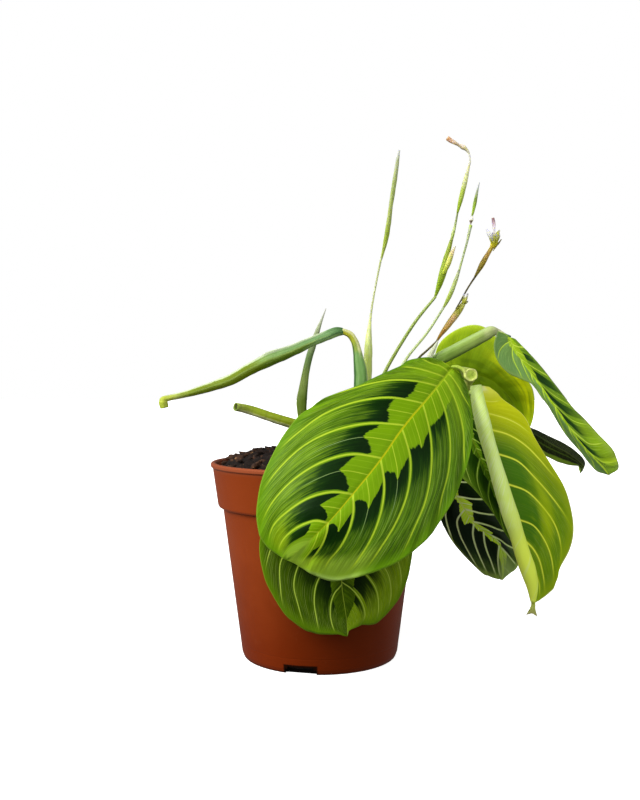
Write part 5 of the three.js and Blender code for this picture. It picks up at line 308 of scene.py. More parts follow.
# Sepals round the open flower, and chaff on the bract below it: points across, from base to tip.
SEPALS = [[[[86.61,7.4,204.78],[86.88,6.9,204.83],[87.34,7.4,205.03]],[[85.5,7.4,206.36],[85.93,6.9,206.47],[86.54,7.4,206.72]],[[85.08,7.4,208.18],[85.35,6.9,208.23],[85.81,7.4,208.43]],[[85.18,7.4,209.9],[85.15,6.9,209.84],[85.31,7.4,209.94]]],[[[87.11,6.6,204.48],[87.44,6.1,204.46],[87.95,6.6,204.59]],[[86.5,6.6,206.38],[87.01,6.1,206.38],[87.69,6.6,206.53]],[[86.44,6.6,208.35],[86.77,6.1,208.33],[87.28,6.6,208.46]],[[86.74,6.6,210.09],[86.72,6.1,210.02],[86.88,6.6,210.1]]],[[[88.26,7.2,205.38],[88.55,6.7,205.3],[89.03,7.2,205.37]],[[88.35,7.2,206.89],[88.81,6.7,206.8],[89.46,7.2,206.87]],[[88.53,7.2,208.4],[88.82,6.7,208.31],[89.3,7.2,208.38]],[[88.66,7.2,209.69],[88.64,6.7,209.61],[88.8,7.2,209.69]]],[[[89.0,8.2,206.14],[89.24,7.7,205.95],[89.67,8.2,205.91]],[[89.57,8.2,207.43],[89.95,7.7,207.2],[90.53,8.2,207.11]],[[90.15,8.2,208.73],[90.39,7.7,208.54],[90.82,8.2,208.5]],[[90.57,8.2,209.86],[90.53,7.7,209.76],[90.69,8.2,209.82]]]]
BRACT_TIPS = [[[[71.72,7.2,174.8],[72.06,6.7,174.7],[72.56,7.2,174.67]],[[71.54,7.2,176.7],[72.07,6.7,176.57],[72.74,7.2,176.52]],[[72.02,7.2,178.5],[72.36,6.7,178.39],[72.86,7.2,178.37]],[[72.85,7.2,179.98],[72.85,6.7,179.92],[73.0,7.2,179.96]]],[[[72.15,6.8,175.12],[72.5,6.3,174.92],[73.01,6.8,174.8]],[[72.77,6.8,176.7],[73.31,6.3,176.43],[74.0,6.8,176.25]],[[73.54,6.8,178.24],[73.89,6.3,178.04],[74.39,6.8,177.92]],[[74.2,6.8,179.56],[74.2,6.3,179.48],[74.35,6.8,179.5]]],[[[72.77,7.4,174.79],[72.9,6.9,174.46],[73.18,7.4,174.21]],[[73.37,7.4,175.28],[73.58,6.9,174.83],[73.95,7.4,174.45]],[[74.09,7.4,175.6],[74.21,6.9,175.27],[74.49,7.4,175.02]],[[74.75,7.4,175.81],[74.71,6.9,175.72],[74.82,7.4,175.71]]]]
# Stems, furled leaves, bracts and flower parts: [x, y, z, diameter] along each.
STEMS = {
    "petiole_front": [[62.0,-37.2,141.84,1.37],[63.87,-36.6,141.34,1.83],[65.95,-35.6,140.35,3.49],[68.05,-34.0,138.89,5.53],[69.82,-31.0,137.52,6.22],[70.62,-25.4,137.07,5.17],[70.18,-20.4,133.37,4.28],[67.67,-17.0,126.84,3.64],[58.27,-12.0,115.58,3.59],[49.66,-11.0,107.75,3.69],[36.0,-11.0,99.45,4.2],[36.0,-11.0,92.45,4.2]],
    "petiole_low": [[11.48,-59.4,100.0,2.0],[11.66,-57.5,102.29,2.36],[12.29,-51.0,104.87,2.22],[13.71,-41.0,105.95,2.27],[15.43,-31.0,105.25,2.42],[17.13,-23.0,103.04,2.65],[19.0,-19.0,101.73,3.4],[19.0,-19.0,94.73,3.4]],
    "petiole_right": [[74.7,-26.9,132.66,1.97],[75.64,-18.0,130.92,2.3],[74.05,-7.0,129.82,2.55],[69.3,4.0,126.92,2.81],[58.15,7.0,115.75,3.03],[49.48,6.0,106.71,3.23],[44.0,4.0,98.18,3.6],[44.0,4.0,91.18,3.6]],
    "petiole_between": [[66.41,-11.2,123.03,1.65],[63.57,-5.0,121.67,1.97],[56.5,-2.5,115.66,2.28],[47.66,-2.0,107.2,2.48],[37.0,-2.0,100.22,3.0],[37.0,-2.0,93.22,3.0]],
    "petiole_dark_low": [[58.24,6.4,93.04,1.72],[55.91,9.0,97.13,2.23],[53.3,13.0,99.63,2.35],[46.93,16.0,100.95,2.47],[38.0,18.0,99.87,2.8],[38.0,18.0,92.87,2.8]],
    "petiole_olive": [[61.11,18.1,132.13,2.07],[55.91,18.5,125.1,2.48],[47.62,18.0,112.7,2.79],[30.0,20.5,101.9,3.2],[30.0,20.5,94.9,3.2]],
    "petiole_dark_folded": [[103.72,31.2,112.93,1.7],[96.42,35.5,112.41,2.14],[80.45,36.0,110.24,2.36],[63.75,31.0,107.31,2.55],[50.09,27.0,101.74,2.63],[34.0,27.0,99.96,2.9],[34.0,27.0,92.96,2.9]],
    "petiole_folded": [[93.87,-0.9,157.55,1.19],[92.31,2.8,158.22,2.3],[89.02,4.2,159.89,3.51],[85.78,3.2,160.24,5.5],[82.55,3.0,158.43,6.3],[76.09,3.2,154.95,6.5],[69.22,4.0,151.22,6.71],[63.35,5.0,148.25,6.53],[57.45,6.0,144.75,5.79],[51.04,7.0,135.95,4.54],[46.11,8.0,123.81,3.84],[41.17,9.0,109.58,3.75],[36.0,10.0,100.9,4.0],[36.0,10.0,93.9,4.0]],
    "petiole_furled": [[11.7,4.15,160.24,1.8],[15.12,4.6,158.61,2.21],[17.45,5.0,155.27,3.21],[18.86,5.0,150.0,4.52],[19.93,4.0,143.46,6.11],[20.59,3.0,135.95,7.0],[19.77,1.0,124.98,6.48],[17.46,-1.0,112.61,5.46],[15.5,-2.0,104.6,5.0],[15.5,-2.0,97.6,5.0]],
    "petiole_new": [[1.74,-9.0,109.1,3.12],[7.41,-8.8,106.64,2.93],[9.0,-9.5,104.36,3.0],[9.0,-9.5,97.36,3.0]],
    "flower_stalk_1": [[31.17,14.0,197.41,0.97],[29.04,14.0,187.02,0.87],[26.89,13.6,175.26,0.92],[25.71,13.4,166.58,1.23],[25.1,13.2,159.94,2.35],[24.79,13.0,153.3,3.47],[24.58,12.8,146.15,3.88],[24.17,12.6,137.99,4.08],[23.56,12.4,125.74,3.88],[22.01,11.6,111.48,3.67],[20.5,10.5,104.37,3.6],[20.5,10.5,97.37,3.6]],
    "bract_1": [[40.42,14.0,252.57,0.46],[39.61,14.0,248.0,1.02],[38.81,14.0,241.92,1.38],[37.4,14.0,232.79,1.48],[36.29,14.0,225.68,1.38],[35.08,14.0,216.54,1.79],[33.76,14.0,208.4,2.09],[32.34,14.0,201.79,1.58],[31.33,14.0,197.92,1.12]],
    "flower_stalk_2": [[57.29,2.0,177.0,1.2],[48.54,3.0,166.17,1.4],[40.16,4.0,153.23,1.5],[32.73,5.0,139.96,1.61],[27.22,5.0,126.9,2.31],[24.17,4.0,113.37,3.01],[23.5,2.0,103.72,3.2],[23.5,2.0,96.72,3.2]],
    "bract_2_lower": [[57.54,2.0,177.6,1.2],[58.67,2.0,180.78,2.29],[60.16,2.0,185.25,3.29],[61.84,2.0,190.72,3.88],[63.12,2.0,196.18,2.99],[64.49,2.0,201.64,2.09],[65.48,2.0,205.31,1.59]],
    "bract_2_tip": [[63.33,0.5,189.06,1.19],[64.9,-0.3,193.41,2.08],[66.06,-0.4,197.85,1.78],[67.26,-0.2,202.07,0.5]],
    "flower_stalk_2_top": [[65.63,2.0,205.81,1.19],[66.36,2.0,209.08,1.49],[67.25,2.0,212.55,1.09],[68.33,2.0,218.3,0.75]],
    "bract_2_upper": [[68.42,2.0,218.8,0.9],[69.41,2.0,222.96,1.99],[70.68,2.0,227.91,2.39],[72.16,2.0,233.85,2.34],[73.43,2.0,239.29,1.59],[74.46,2.0,243.54,1.04]],
    "flower_withered": [[74.56,2.0,244.04,0.99],[74.4,2.0,247.2,1.29],[73.4,2.0,249.67,1.59],[71.4,2.0,251.55,2.09],[68.82,2.0,252.83,1.29],[66.33,2.0,254.12,2.19],[63.54,2.0,255.99,1.99]],
    "flower_stalk_3": [[60.45,-4.5,170.94,1.03],[52.88,-3.0,159.13,1.13],[43.18,-1.4,146.84,1.24],[35.83,-0.6,133.46,1.69],[31.33,-1.4,118.59,2.28],[28.5,-4.5,102.24,3.0],[28.5,-4.5,95.24,3.0]],
    "bract_3_lower": [[60.69,-4.5,171.38,1.03],[62.21,-4.5,174.03,1.87],[64.15,-4.6,177.94,2.16],[65.68,-4.8,181.6,2.06],[67.02,-5.0,185.5,1.86],[68.25,-5.2,189.39,1.18]],
    "flower_stalk_3_top": [[68.4,-5.2,189.83,0.98],[70.24,-5.5,196.69,0.93],[72.04,-5.8,203.48,1.03],[72.97,-6.0,207.84,1.27],[73.6,-6.0,210.47,1.37]],
    "flower_white": [[73.64,-6.0,210.91,0.73],[73.83,-6.0,212.52,0.78],[74.12,-6.0,214.37,2.05],[74.41,-6.0,215.83,0.78]],
    "bract_3_upper": [[74.46,-6.0,216.22,0.88],[75.08,-6.0,218.8,1.47],[75.85,-6.0,222.45,1.71],[76.82,-6.0,227.32,1.22],[77.87,-6.0,232.09,0.44]],
    "flower_stalk_4": [[59.0,9.0,155.28,0.91],[54.31,9.5,150.9,0.96],[49.31,10.0,145.84,1.12],[41.63,9.0,132.91,1.93],[35.93,7.0,117.77,2.52],[29.5,5.0,102.61,3.0],[29.5,5.0,95.61,3.0]],
    "bract_4_lower": [[59.26,9.0,155.68,1.01],[61.27,8.6,158.9,2.02],[64.75,8.2,163.52,3.13],[68.54,8.0,168.55,3.53],[71.56,8.0,172.79,2.73],[73.26,8.0,175.81,1.82],[74.72,8.0,179.23,0.5]],
    "flower_stalk_4_top": [[68.86,6.8,172.29,0.6],[70.48,6.9,175.01,0.65],[72.31,7.1,178.25,0.71],[74.16,7.7,181.52,0.76],[76.29,8.2,184.89,0.81],[78.15,8.5,187.65,0.96]],
    "bract_4_upper": [[78.35,8.5,188.0,1.06],[80.06,8.5,190.97,2.12],[82.37,8.5,195.0,2.68],[84.67,8.5,199.02,2.22],[86.58,8.5,202.34,1.92]],
    "flower_calyx": [[86.78,8.5,202.8,2.02],[87.68,8.5,204.56,3.53],[88.38,8.5,206.77,3.73],[89.38,8.5,209.08,2.32],[90.58,8.5,211.3,0.5]],
    "bract_thorn": [[89.8,8.2,203.91,0.76],[90.55,8.2,204.92,1.01],[91.75,8.2,206.63,0.45]],
    "flower_petals": [[86.7,6.5,206.37,1.0],[85.6,6.0,208.2,2.11],[84.65,5.8,209.97,1.71],[83.85,5.8,211.47,0.6]],
    "flower_purple": [[87.71,7.1,208.87,0.91],[87.68,7.0,211.86,1.21],[87.64,7.4,214.43,1.61],[87.26,7.6,217.17,1.31]],
    "sheath_pale": [[58.67,1.4,155.07,0.6],[57.33,1.8,152.4,1.99],[55.8,2.3,149.42,2.7],[54.07,2.8,145.94,2.7],[51.74,4.3,141.46,1.5]],
    "leaf_furled_long": [[10.6,4.0,159.98,2.0],[8.08,3.0,159.68,4.0],[3.07,2.0,157.64,4.74],[-3.9,1.0,154.86,4.73],[-14.79,-1.0,149.82,5.7],[-25.59,-3.0,145.57,6.91],[-34.83,-5.0,141.11,6.15],[-44.0,-7.0,135.94,5.63],[-52.21,-8.0,133.01,4.89],[-61.24,-10.0,130.1,3.89],[-68.88,-11.0,128.17,3.16],[-75.04,-12.0,126.74,2.91],[-75.82,-12.0,125.28,3.59],[-75.25,-12.0,122.57,3.01]],
    "leaf_new_rolled": [[-40.28,-16.0,123.21,3.84],[-34.59,-15.0,121.74,4.14],[-27.92,-14.0,119.53,4.34],[-19.27,-13.0,116.59,4.55],[-9.64,-11.0,113.59,4.57],[1.06,-9.0,109.59,3.91]],
    "leaf_spike": [[3.13,12.0,172.33,0.41],[1.1,12.0,167.0,1.22],[-1.19,11.0,160.84,2.54],[-3.48,11.0,153.74,3.56],[-5.5,10.0,147.11,3.65],[-7.01,9.0,140.0,3.85],[-8.26,8.0,131.9,4.55],[-9.01,7.0,124.84,5.3],[-8.49,6.0,116.8,4.54],[-6.96,5.0,107.78,4.02],[-7.0,4.0,105.58,3.6],[-7.0,4.0,98.58,3.6]],
}


# ---------------------------------------------------------------- numbers
def smoothstep(x, a, b):
    t = np.clip((np.asarray(x, float) - a) / (b - a), 0, 1)
    return t * t * (3 - 2 * t)


def crv(A, s):
    """Catmull-Rom through A[0], A[1], ... at fractional indices s."""
    A = np.asarray(A, float)
    n = len(A)
    s = np.asarray(s, float)
    i = np.clip(np.floor(s).astype(int), 0, n - 2)
    f = (s - i).reshape((-1,) + (1,) * (A.ndim - 1))
    b, c = A[i], A[i + 1]
    a = np.where((i > 0).reshape(f.shape), A[np.maximum(i - 1, 0)], 2 * b - c)
    d = np.where((i + 2 < n).reshape(f.shape), A[np.minimum(i + 2, n - 1)], 2 * c - b)
    return 0.5 * (2 * b + (c - a) * f + (2 * a - 5 * b + 4 * c - d) * f ** 2 + (3 * b - a - 3 * c + d) * f ** 3)


def noise1(x, seed=0):
    """Smooth value noise of one number."""
    r = np.random.default_rng(seed).uniform(-1, 1, 512)
    x = np.asarray(x, float) + 100.5
    i = np.floor(x).astype(int)
    f = x - i
    f = f * f * (3 - 2 * f)
    return r[i % 512] * (1 - f) + r[(i + 1) % 512] * f


def noise2(x, y, seed=0):
    r = np.random.default_rng(seed).uniform(-1, 1, (128, 128))
    x = np.asarray(x, float) + 64.3
    y = np.asarray(y, float) + 64.7
    i, j = np.floor(x).astype(int), np.floor(y).astype(int)
    f, g = x - i, y - j
    f, g = f * f * (3 - 2 * f), g * g * (3 - 2 * g)
    i0, i1, j0, j1 = i % 128, (i + 1) % 128, j % 128, (j + 1) % 128
    return (r[i0, j0] * (1 - f) + r[i1, j0] * f) * (1 - g) + (r[i0, j1] * (1 - f) + r[i1, j1] * f) * g


# ---------------------------------------------------------------- shader graph helper
class Sc:
    """A number in a node tree."""

    def __init__(self, g, v):
        self.g, self.v = g, v

    def op(self, kind, *others, clamp=False):
        n = self.g.nodes.new("ShaderNodeMath")
        n.operation = kind
        n.use_clamp = clamp
        for k, o in enumerate((self, *others)):
            self.g.put(n.inputs[k], o)
        return Sc(self.g, n.outputs[0])

    def __add__(self, o): return self.op("ADD", o)
    def __radd__(self, o): return self.op("ADD", o)
    def __sub__(self, o): return self.op("SUBTRACT", o)
    def __rsub__(self, o): return self.g.num(o).op("SUBTRACT", self)
    def __mul__(self, o): return self.op("MULTIPLY", o)
    def __rmul__(self, o): return self.op("MULTIPLY", o)
    def __truediv__(self, o): return self.op("DIVIDE", o)
    def __neg__(self): return self.op("MULTIPLY", -1.0)
    def __abs__(self): return self.op("ABSOLUTE")
    def fract(self): return self.op("FRACT")
    def pow(self, o): return self.op("POWER", o)
    def min(self, o): return self.op("MINIMUM", o)
    def max(self, o): return self.op("MAXIMUM", o)
    def sin(self): return self.op("SINE")
    def gt(self, o): return self.op("GREATER_THAN", o)
    def clamp(self): return self.op("ADD", 0.0, clamp=True)
    def inv(self): return self.g.num(1.0).op("SUBTRACT", self, clamp=True)


class Graph:
    def __init__(self, name):
        m = bpy.data.materials.new(name)
        m.use_nodes = True
        self.mat = m
        self.nodes, self.links = m.node_tree.nodes, m.node_tree.links
        self.nodes.clear()
        self.out = self.nodes.new("ShaderNodeOutputMaterial")
        self.bsdf = self.nodes.new("ShaderNodeBsdfPrincipled")
        self.links.new(self.bsdf.outputs[0], self.out.inputs[0])

    def put(self, socket, v):
        if isinstance(v, Sc):
            v = v.v
        if isinstance(v, bpy.types.NodeSocket):
            self.links.new(v, socket)
        else:
            socket.default_value = v

    def num(self, v):
        return v if isinstance(v, Sc) else Sc(self, v)

    def smooth(self, x, lo, hi, kind="SMOOTHSTEP"):
        n = self.nodes.new("ShaderNodeMapRange")
        n.interpolation_type = kind
        n.clamp = True
        self.put(n.inputs["Value"], x)
        self.put(n.inputs["From Min"], lo)
        self.put(n.inputs["From Max"], hi)
        return Sc(self, n.outputs["Result"])

    def curve(self, x, points, lo, hi):
        """A number looked up along straight lines between (x, y) points, with y from 0 to 1."""
        n = self.nodes.new("ShaderNodeFloatCurve")
        c = n.mapping.curves[0]
        pts = sorted(((p - lo) / (hi - lo), v) for p, v in points)
        while len(c.points) > 2:
            c.points.remove(c.points[1])
        c.points[0].location = (0.0, pts[0][1])
        c.points[1].location = (1.0, pts[-1][1])
        for p, v in pts:
            if 0.0005 < p < 0.9995:
                c.points.new(p, v)
        for q in c.points:
            q.handle_type = "VECTOR"
        n.mapping.update()
        self.put(n.inputs["Value"], (x - lo) / (hi - lo))
        return Sc(self, n.outputs[0])

    def uv(self, name):
        n = self.nodes.new("ShaderNodeUVMap")
        n.uv_map = name
        s = self.nodes.new("ShaderNodeSeparateXYZ")
        self.links.new(n.outputs[0], s.inputs[0])
        return Sc(self, s.outputs[0]), Sc(self, s.outputs[1])

    def coords(self):
        """Object coordinates, in millimetres."""
        n = self.nodes.new("ShaderNodeTexCoord")
        m = self.nodes.new("ShaderNodeVectorMath")
        m.operation = "SCALE"
        m.inputs["Scale"].default_value = 1000.0
        self.links.new(n.outputs["Object"], m.inputs[0])
        return m.outputs[0]

    def split(self, vec):
        s = self.nodes.new("ShaderNodeSeparateXYZ")
        self.links.new(vec, s.inputs[0])
        return tuple(Sc(self, o) for o in s.outputs)

    def vec(self, x, y, z=0.0):
        n = self.nodes.new("ShaderNodeCombineXYZ")
        for k, v in enumerate((x, y, z)):
            self.put(n.inputs[k], v)
        return n.outputs[0]

    def noise(self, vec, scale=1.0, detail=2.0, rough=0.5, distortion=0.0):
        n = self.nodes.new("ShaderNodeTexNoise")
        self.links.new(vec, n.inputs["Vector"])
        n.inputs["Scale"].default_value = scale
        n.inputs["Detail"].default_value = detail
        n.inputs["Roughness"].default_value = rough
        n.inputs["Distortion"].default_value = distortion
        return Sc(self, n.outputs["Fac"])

    def voronoi(self, vec, scale=1.0, feature="F1"):
        n = self.nodes.new("ShaderNodeTexVoronoi")
        n.feature = feature
        self.links.new(vec, n.inputs["Vector"])
        n.inputs["Scale"].default_value = scale
        return Sc(self, n.outputs["Distance"]), n.outputs["Color"]

    def rgb(self, c):
        return lin(c) if isinstance(c, tuple) and max(c) > 1.01 else c

    def mix(self, fac, a, b, blend="MIX"):
        n = self.nodes.new("ShaderNodeMix")
        n.data_type = "RGBA"
        n.blend_type = blend
        self.put(n.inputs[0], fac)
        for k, c in ((6, a), (7, b)):
            if isinstance(c, bpy.types.NodeSocket):
                self.links.new(c, n.inputs[k])
            else:
                n.inputs[k].default_value = (*self.rgb(c)[:3], 1.0)
        return n.outputs[2]

    def bump(self, height, strength=0.5, distance=0.0003, normal=None):
        n = self.nodes.new("ShaderNodeBump")
        n.inputs["Strength"].default_value = strength
        n.inputs["Distance"].default_value = distance
        self.put(n.inputs["Height"], height)
        if normal is not None:
            self.links.new(normal, n.inputs["Normal"])
        return n.outputs[0]

    def finish(self, color, rough=0.5, normal=None, spec=0.5, **sockets):
        if isinstance(color, tuple):
            self.bsdf.inputs["Base Color"].default_value = (*self.rgb(color)[:3], 1.0)
        else:
            self.links.new(color, self.bsdf.inputs["Base Color"])
        self.put(self.bsdf.inputs["Roughness"], rough)
        self.bsdf.inputs["Specular IOR Level"].default_value = spec
        if normal is not None:
            self.links.new(normal, self.bsdf.inputs["Normal"])
        for k, v in sockets.items():
            self.bsdf.inputs[k.replace("_", " ")].default_value = v
        return self.mat


def lin(c):
    """sRGB 0..255 to linear."""
    out = []
    for v in c:
        v = v / 255.0
        out.append(v / 12.92 if v <= 0.04045 else ((v + 0.055) / 1.055) ** 2.4)
    return tuple(out)


# ---------------------------------------------------------------- meshes
def new_mesh(name, verts, quads=(), tris=(), uvs=None, mats=None, mat_index=None, smooth=True):
    """verts in mm. uvs: {layer: array per corner}, corners of the quads first, then of the tris."""
    me = bpy.data.meshes.new(name)
    quads = np.asarray(quads, int).reshape(-1, 4)
    tris = np.asarray(tris, int).reshape(-1, 3)
    verts = np.asarray(verts, float) * MM
    me.vertices.add(len(verts))
    me.vertices.foreach_set("co", verts.ravel())
    idx = np.concatenate([quads.ravel(), tris.ravel()])
    me.loops.add(len(idx))
    me.loops.foreach_set("vertex_index", idx)
    start = np.concatenate([np.arange(len(quads)) * 4, len(quads) * 4 + np.arange(len(tris)) * 3])
    me.polygons.add(len(quads) + len(tris))
    me.polygons.foreach_set("loop_start", start)
    me.update(calc_edges=True)
    for layer, arr in (uvs or {}).items():
        me.uv_layers.new(name=layer).data.foreach_set("uv", np.asarray(arr, float).ravel())
    for m in mats or []:
        me.materials.append(m)
    if mat_index is not None:
        me.polygons.foreach_set("material_index", np.asarray(mat_index, int))
    me.polygons.foreach_set("use_smooth", np.full(len(me.polygons), smooth))
    me.update()
    ob = bpy.data.objects.new(name, me)
    scene.collection.objects.link(ob)
    return ob


def place(ob, node, slot=None):
    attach(ob, "root")
    nodes = node if isinstance(node, (list, tuple)) else [node]
    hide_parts(*nodes)
    if slot is None:
        slot = next(s["material_slot"] for s in frame["record"]["subparts"] if s["node"] == nodes[0])
    return ob


def grid_normals(G):
    du = np.gradient(G, axis=1)
    dv = np.gradient(G, axis=0)
    n = np.cross(du, dv)
    l = np.linalg.norm(n, axis=-1, keepdims=True)
    n = n / np.maximum(l, 1e-9)
    return n


def half_grid(leaf, sd, T, U):
    rows = leaf[sd]
    tau = np.array([r[1] for r in rows])
    ph = np.array([r[0] for r in rows])
    P = np.array([r[2] for r in rows])
    s = np.interp(T, tau, np.arange(len(rows)))
    rowpts = crv(P, s)  # n, K, 3
    M = crv(np.array(leaf["mid"]), T * (len(leaf["mid"]) - 1))
    fix = M - rowpts[:, 0]
    K = rowpts.shape[1]
    G = np.stack([crv(rp, U * (K - 1)) for rp in rowpts])  # n, m, 3
    G = G + fix[:, None, :] * ((1 - U) ** 2)[None, :, None]
    phase = np.interp(T, tau, ph)
    return G, phase, M


def metrics(G, phase):
    dT = np.gradient(G, axis=0)
    dp = np.maximum(np.gradient(phase), 1e-5)[:, None, None]
    r = np.gradient(G, axis=1)
    r = r / np.maximum(np.linalg.norm(r, axis=-1, keepdims=True), 1e-6)
    v = dT / dp
    v = v - (v * r).sum(-1, keepdims=True) * r
    gap = np.clip(np.linalg.norm(v, axis=-1), 0.02, 25)
    seg = np.linalg.norm(np.diff(G, axis=1), axis=-1)
    hw = seg.sum(1)
    return gap, np.repeat(hw[:, None], G.shape[1], 1)


def stations(leaf, sides, n):
    T = np.linspace(0, 1, 400)
    w = np.zeros(400)
    M = crv(np.array(leaf["mid"]), T * (len(leaf["mid"]) - 1))
    w[1:] += 0.5 * np.linalg.norm(np.diff(M, axis=0), axis=1)
    for sd in sides:
        G, _, _ = half_grid(leaf, sd, T, np.array([0.5, 1.0]))
        w[1:] += np.linalg.norm(np.diff(G[:, 1], axis=0), axis=1)
        w[1:] += 0.5 * np.linalg.norm(np.diff(G[:, 0], axis=0), axis=1)
    c = np.cumsum(w)
    return np.interp(np.linspace(0, c[-1], n), c, T)


def relief(phase, U, hw, quilt, groove, side_seed):
    """Height over the blade, mm: tissue bulges between the sunken veins, flatter towards the tip."""
    level = 1 - smoothstep(phase, phase.max() - 2.2, phase.max() - 0.9)
    frac = phase - np.floor(phase)
    q = np.sin(np.pi * frac) ** 1.3
    env = smoothstep(U, 0.02, 0.2) * (1 - smoothstep(U, 0.82, 1.0))
    h = quilt * q[:, None] * env[None, :]
    h = h + 0.12 * quilt * np.cos(2 * np.pi * 4 * phase)[:, None] * (env * smoothstep(U, 0.15, 0.4))[None, :]
    d = U[None, :] * hw
    h = h - groove * np.exp(-((d / 1.3) ** 2))
    return h * level[:, None]


def shell(name, G, corner_uv, mats, thickness=0.3, tip=None, back_shift=None):
    """A closed thin sheet from a grid of mid-surface points, with uv corner arrays for its quads."""
    n, m = G.shape[:2]
    N = grid_normals(G)
    ymean = N[..., 1].mean()
    flip = 1.0
    front, back = G + N * thickness / 2 * flip, G - N * thickness / 2 * flip
    V = np.concatenate([front.reshape(-1, 3), back.reshape(-1, 3)])
    o = n * m
    r, c = np.meshgrid(np.arange(n - 1), np.arange(m - 1), indexing="ij")
    a = (r * m + c).ravel()
    q_front = np.stack([a, a + 1, a + m + 1, a + m], 1)
    q_back = np.stack([a + o, a + m + o, a + m + 1 + o, a + 1 + o], 1)
    ring = list(range(0, m)) + [k * m + m - 1 for k in range(1, n)] + [(n - 1) * m + k for k in range(m - 2, -1, -1)] + [k * m for k in range(n - 2, 0, -1)]
    ring = np.array(ring)
    nxt = np.roll(ring, -1)
    q_rim = np.stack([ring, ring + o, nxt + o, nxt], 1)
    uvs = {}
    for layer, arr in corner_uv.items():  # arr: (n-1)*(m-1) x 4 x 2, corners (r,c),(r,c+1),(r+1,c+1),(r+1,c)
        bk = arr[:, [0, 3, 2, 1]]
        rim = np.zeros((len(ring), 4, 2))
        # the rim takes the value of the sheet's edge beside it
        ed = {}
        cell = arr.reshape(n - 1, m - 1, 4, 2)
        val = np.zeros((n, m, 2))
        val[:-1, :-1] = cell[:, :, 0]
        val[:-1, -1] = cell[:, -1, 1]
        val[-1, :-1] = cell[-1, :, 3]
        val[-1, -1] = cell[-1, -1, 2]
        flat = val.reshape(-1, 2)
        rim[:, 0] = flat[ring]
        rim[:, 1] = flat[ring]
        rim[:, 2] = flat[nxt]
        rim[:, 3] = flat[nxt]
        uvs[layer] = np.concatenate([arr, bk, rim]).reshape(-1, 2)
    quads = np.concatenate([q_front, q_back, q_rim])
    mi = np.concatenate([np.zeros(len(q_front)), np.ones(len(q_back)), np.zeros(len(q_rim))])
    # outward: the front's normal must agree with N
    p = V[q_front[len(q_front) // 2]]
    fn = np.cross(p[1] - p[0], p[3] - p[0])
    if fn @ N.reshape(-1, 3)[q_front[len(q_front) // 2][0]] < 0:
        quads = quads[:, ::-1]
        for k in uvs:
            uvs[k] = uvs[k].reshape(-1, 4, 2)[:, ::-1].reshape(-1, 2)
    return new_mesh(name, V, quads, (), uvs, mats, mi)


def corners(A):
    """(n, m) or (n, m, 2) values to per-quad corners."""
    return np.stack([A[:-1, :-1], A[:-1, 1:], A[1:, 1:], A[1:, :-1]], 2)


def leaf_object(name, leaf, mats, n=150, m=30, quilt=0.35, groove=0.5, thickness=0.32, wave=0.0, seed=1, extra=None, ripple=0.0):
    T = stations(leaf, "LR", n)
    T[-1] = 0.9985
    U = np.linspace(0, 1, m) ** 1.0
    parts = {}
    for sd in "LR":
        G, ph, M = half_grid(leaf, sd, T, U)
        gap, hw = metrics(G, ph)
        parts[sd] = (G, ph, gap, hw)
    GL, pL, gapL, hwL = parts["L"]
    GR, pR, gapR, hwR = parts["R"]
    G = np.concatenate([GL[:, ::-1], GR[:, 1:]], 1)
    N = grid_normals(G)
    face = N[..., 1].mean()
    sgn = -1.0 if face > 0 else 1.0  # the upper side looks to -Y
    N = N * sgn
    hL = relief(pL, U, hwL, quilt, groove, seed)
    hR = relief(pR, U, hwR, quilt, groove, seed + 1)
    H = np.concatenate([hL[:, ::-1], hR[:, 1:]], 1)
    if wave:
        for k, (h, sl) in enumerate(((1, np.s_[:, :m]), (1, np.s_[:, m - 1:]))):
            uu = U[::-1] if k == 0 else U
            H[sl] += wave * noise1(T * 14 + 31 * k, seed + k)[:, None] * (uu ** 3)[None, :]
    if ripple:
        amp = ripple * (1 - smoothstep(T, 0.05, 0.2)) * smoothstep(T, 0.0, 0.015)
        for k, sl in enumerate((np.s_[:, :m], np.s_[:, m - 1:])):
            uu = U[::-1] if k == 0 else U
            H[sl] += (amp * np.sin(T * 150 + 2.2 * k))[:, None] * (smoothstep(uu, 0.55, 1.0))[None, :]
    fade = (1 - smoothstep(T, 0.96, 1.0))[:, None]
    G = G + N * (H * fade)[..., None]
    if extra is not None:
        G = extra(G, T, U)
    CA = np.concatenate([
        corners(np.stack([np.repeat(pL[:, None], m, 1), np.repeat(-U[None, :], n, 0)], -1)[:, ::-1]),
        corners(np.stack([np.repeat(pR[:, None], m, 1), np.repeat(U[None, :], n, 0)], -1))], 1)
    CB = np.concatenate([
        corners(np.stack([gapL, hwL], -1)[:, ::-1]),
        corners(np.stack([gapR, hwR], -1))], 1)
    TT = corners(np.stack([np.repeat(T[:, None], 2 * m - 1, 1), np.repeat(((np.concatenate([-U[::-1], U[1:]]) + 1) / 2)[None, :], n, 0)], -1))
    uv = {"UVMap": TT.reshape(-1, 4, 2), "Veins": CA.reshape(-1, 4, 2), "Metric": CB.reshape(-1, 4, 2)}
    if sgn < 0:
        # keep the first material on the side that looks to -Y
        G = G[:, ::-1]
        for k in uv:
            a = uv[k].reshape(n - 1, 2 * m - 2, 4, 2)[:, ::-1][:, :, [1, 0, 3, 2]]
            uv[k] = a.reshape(-1, 4, 2)
    ob = shell(name, G, uv, mats, thickness)
    line = G[:, m - 1]
    up = grid_normals(G)[:, m - 1]
    if (up * N[:, m - 1]).sum() < 0:
        up = -up
    return ob, line, up


# ---------------------------------------------------------------- leaf materials
def teeth(spec):
    """Feather widths along the blade from {vein number: ((share of the way to the next vein, width), ...)}."""
    return [(k + f, w) for k, row in spec.items() for f, w in row]


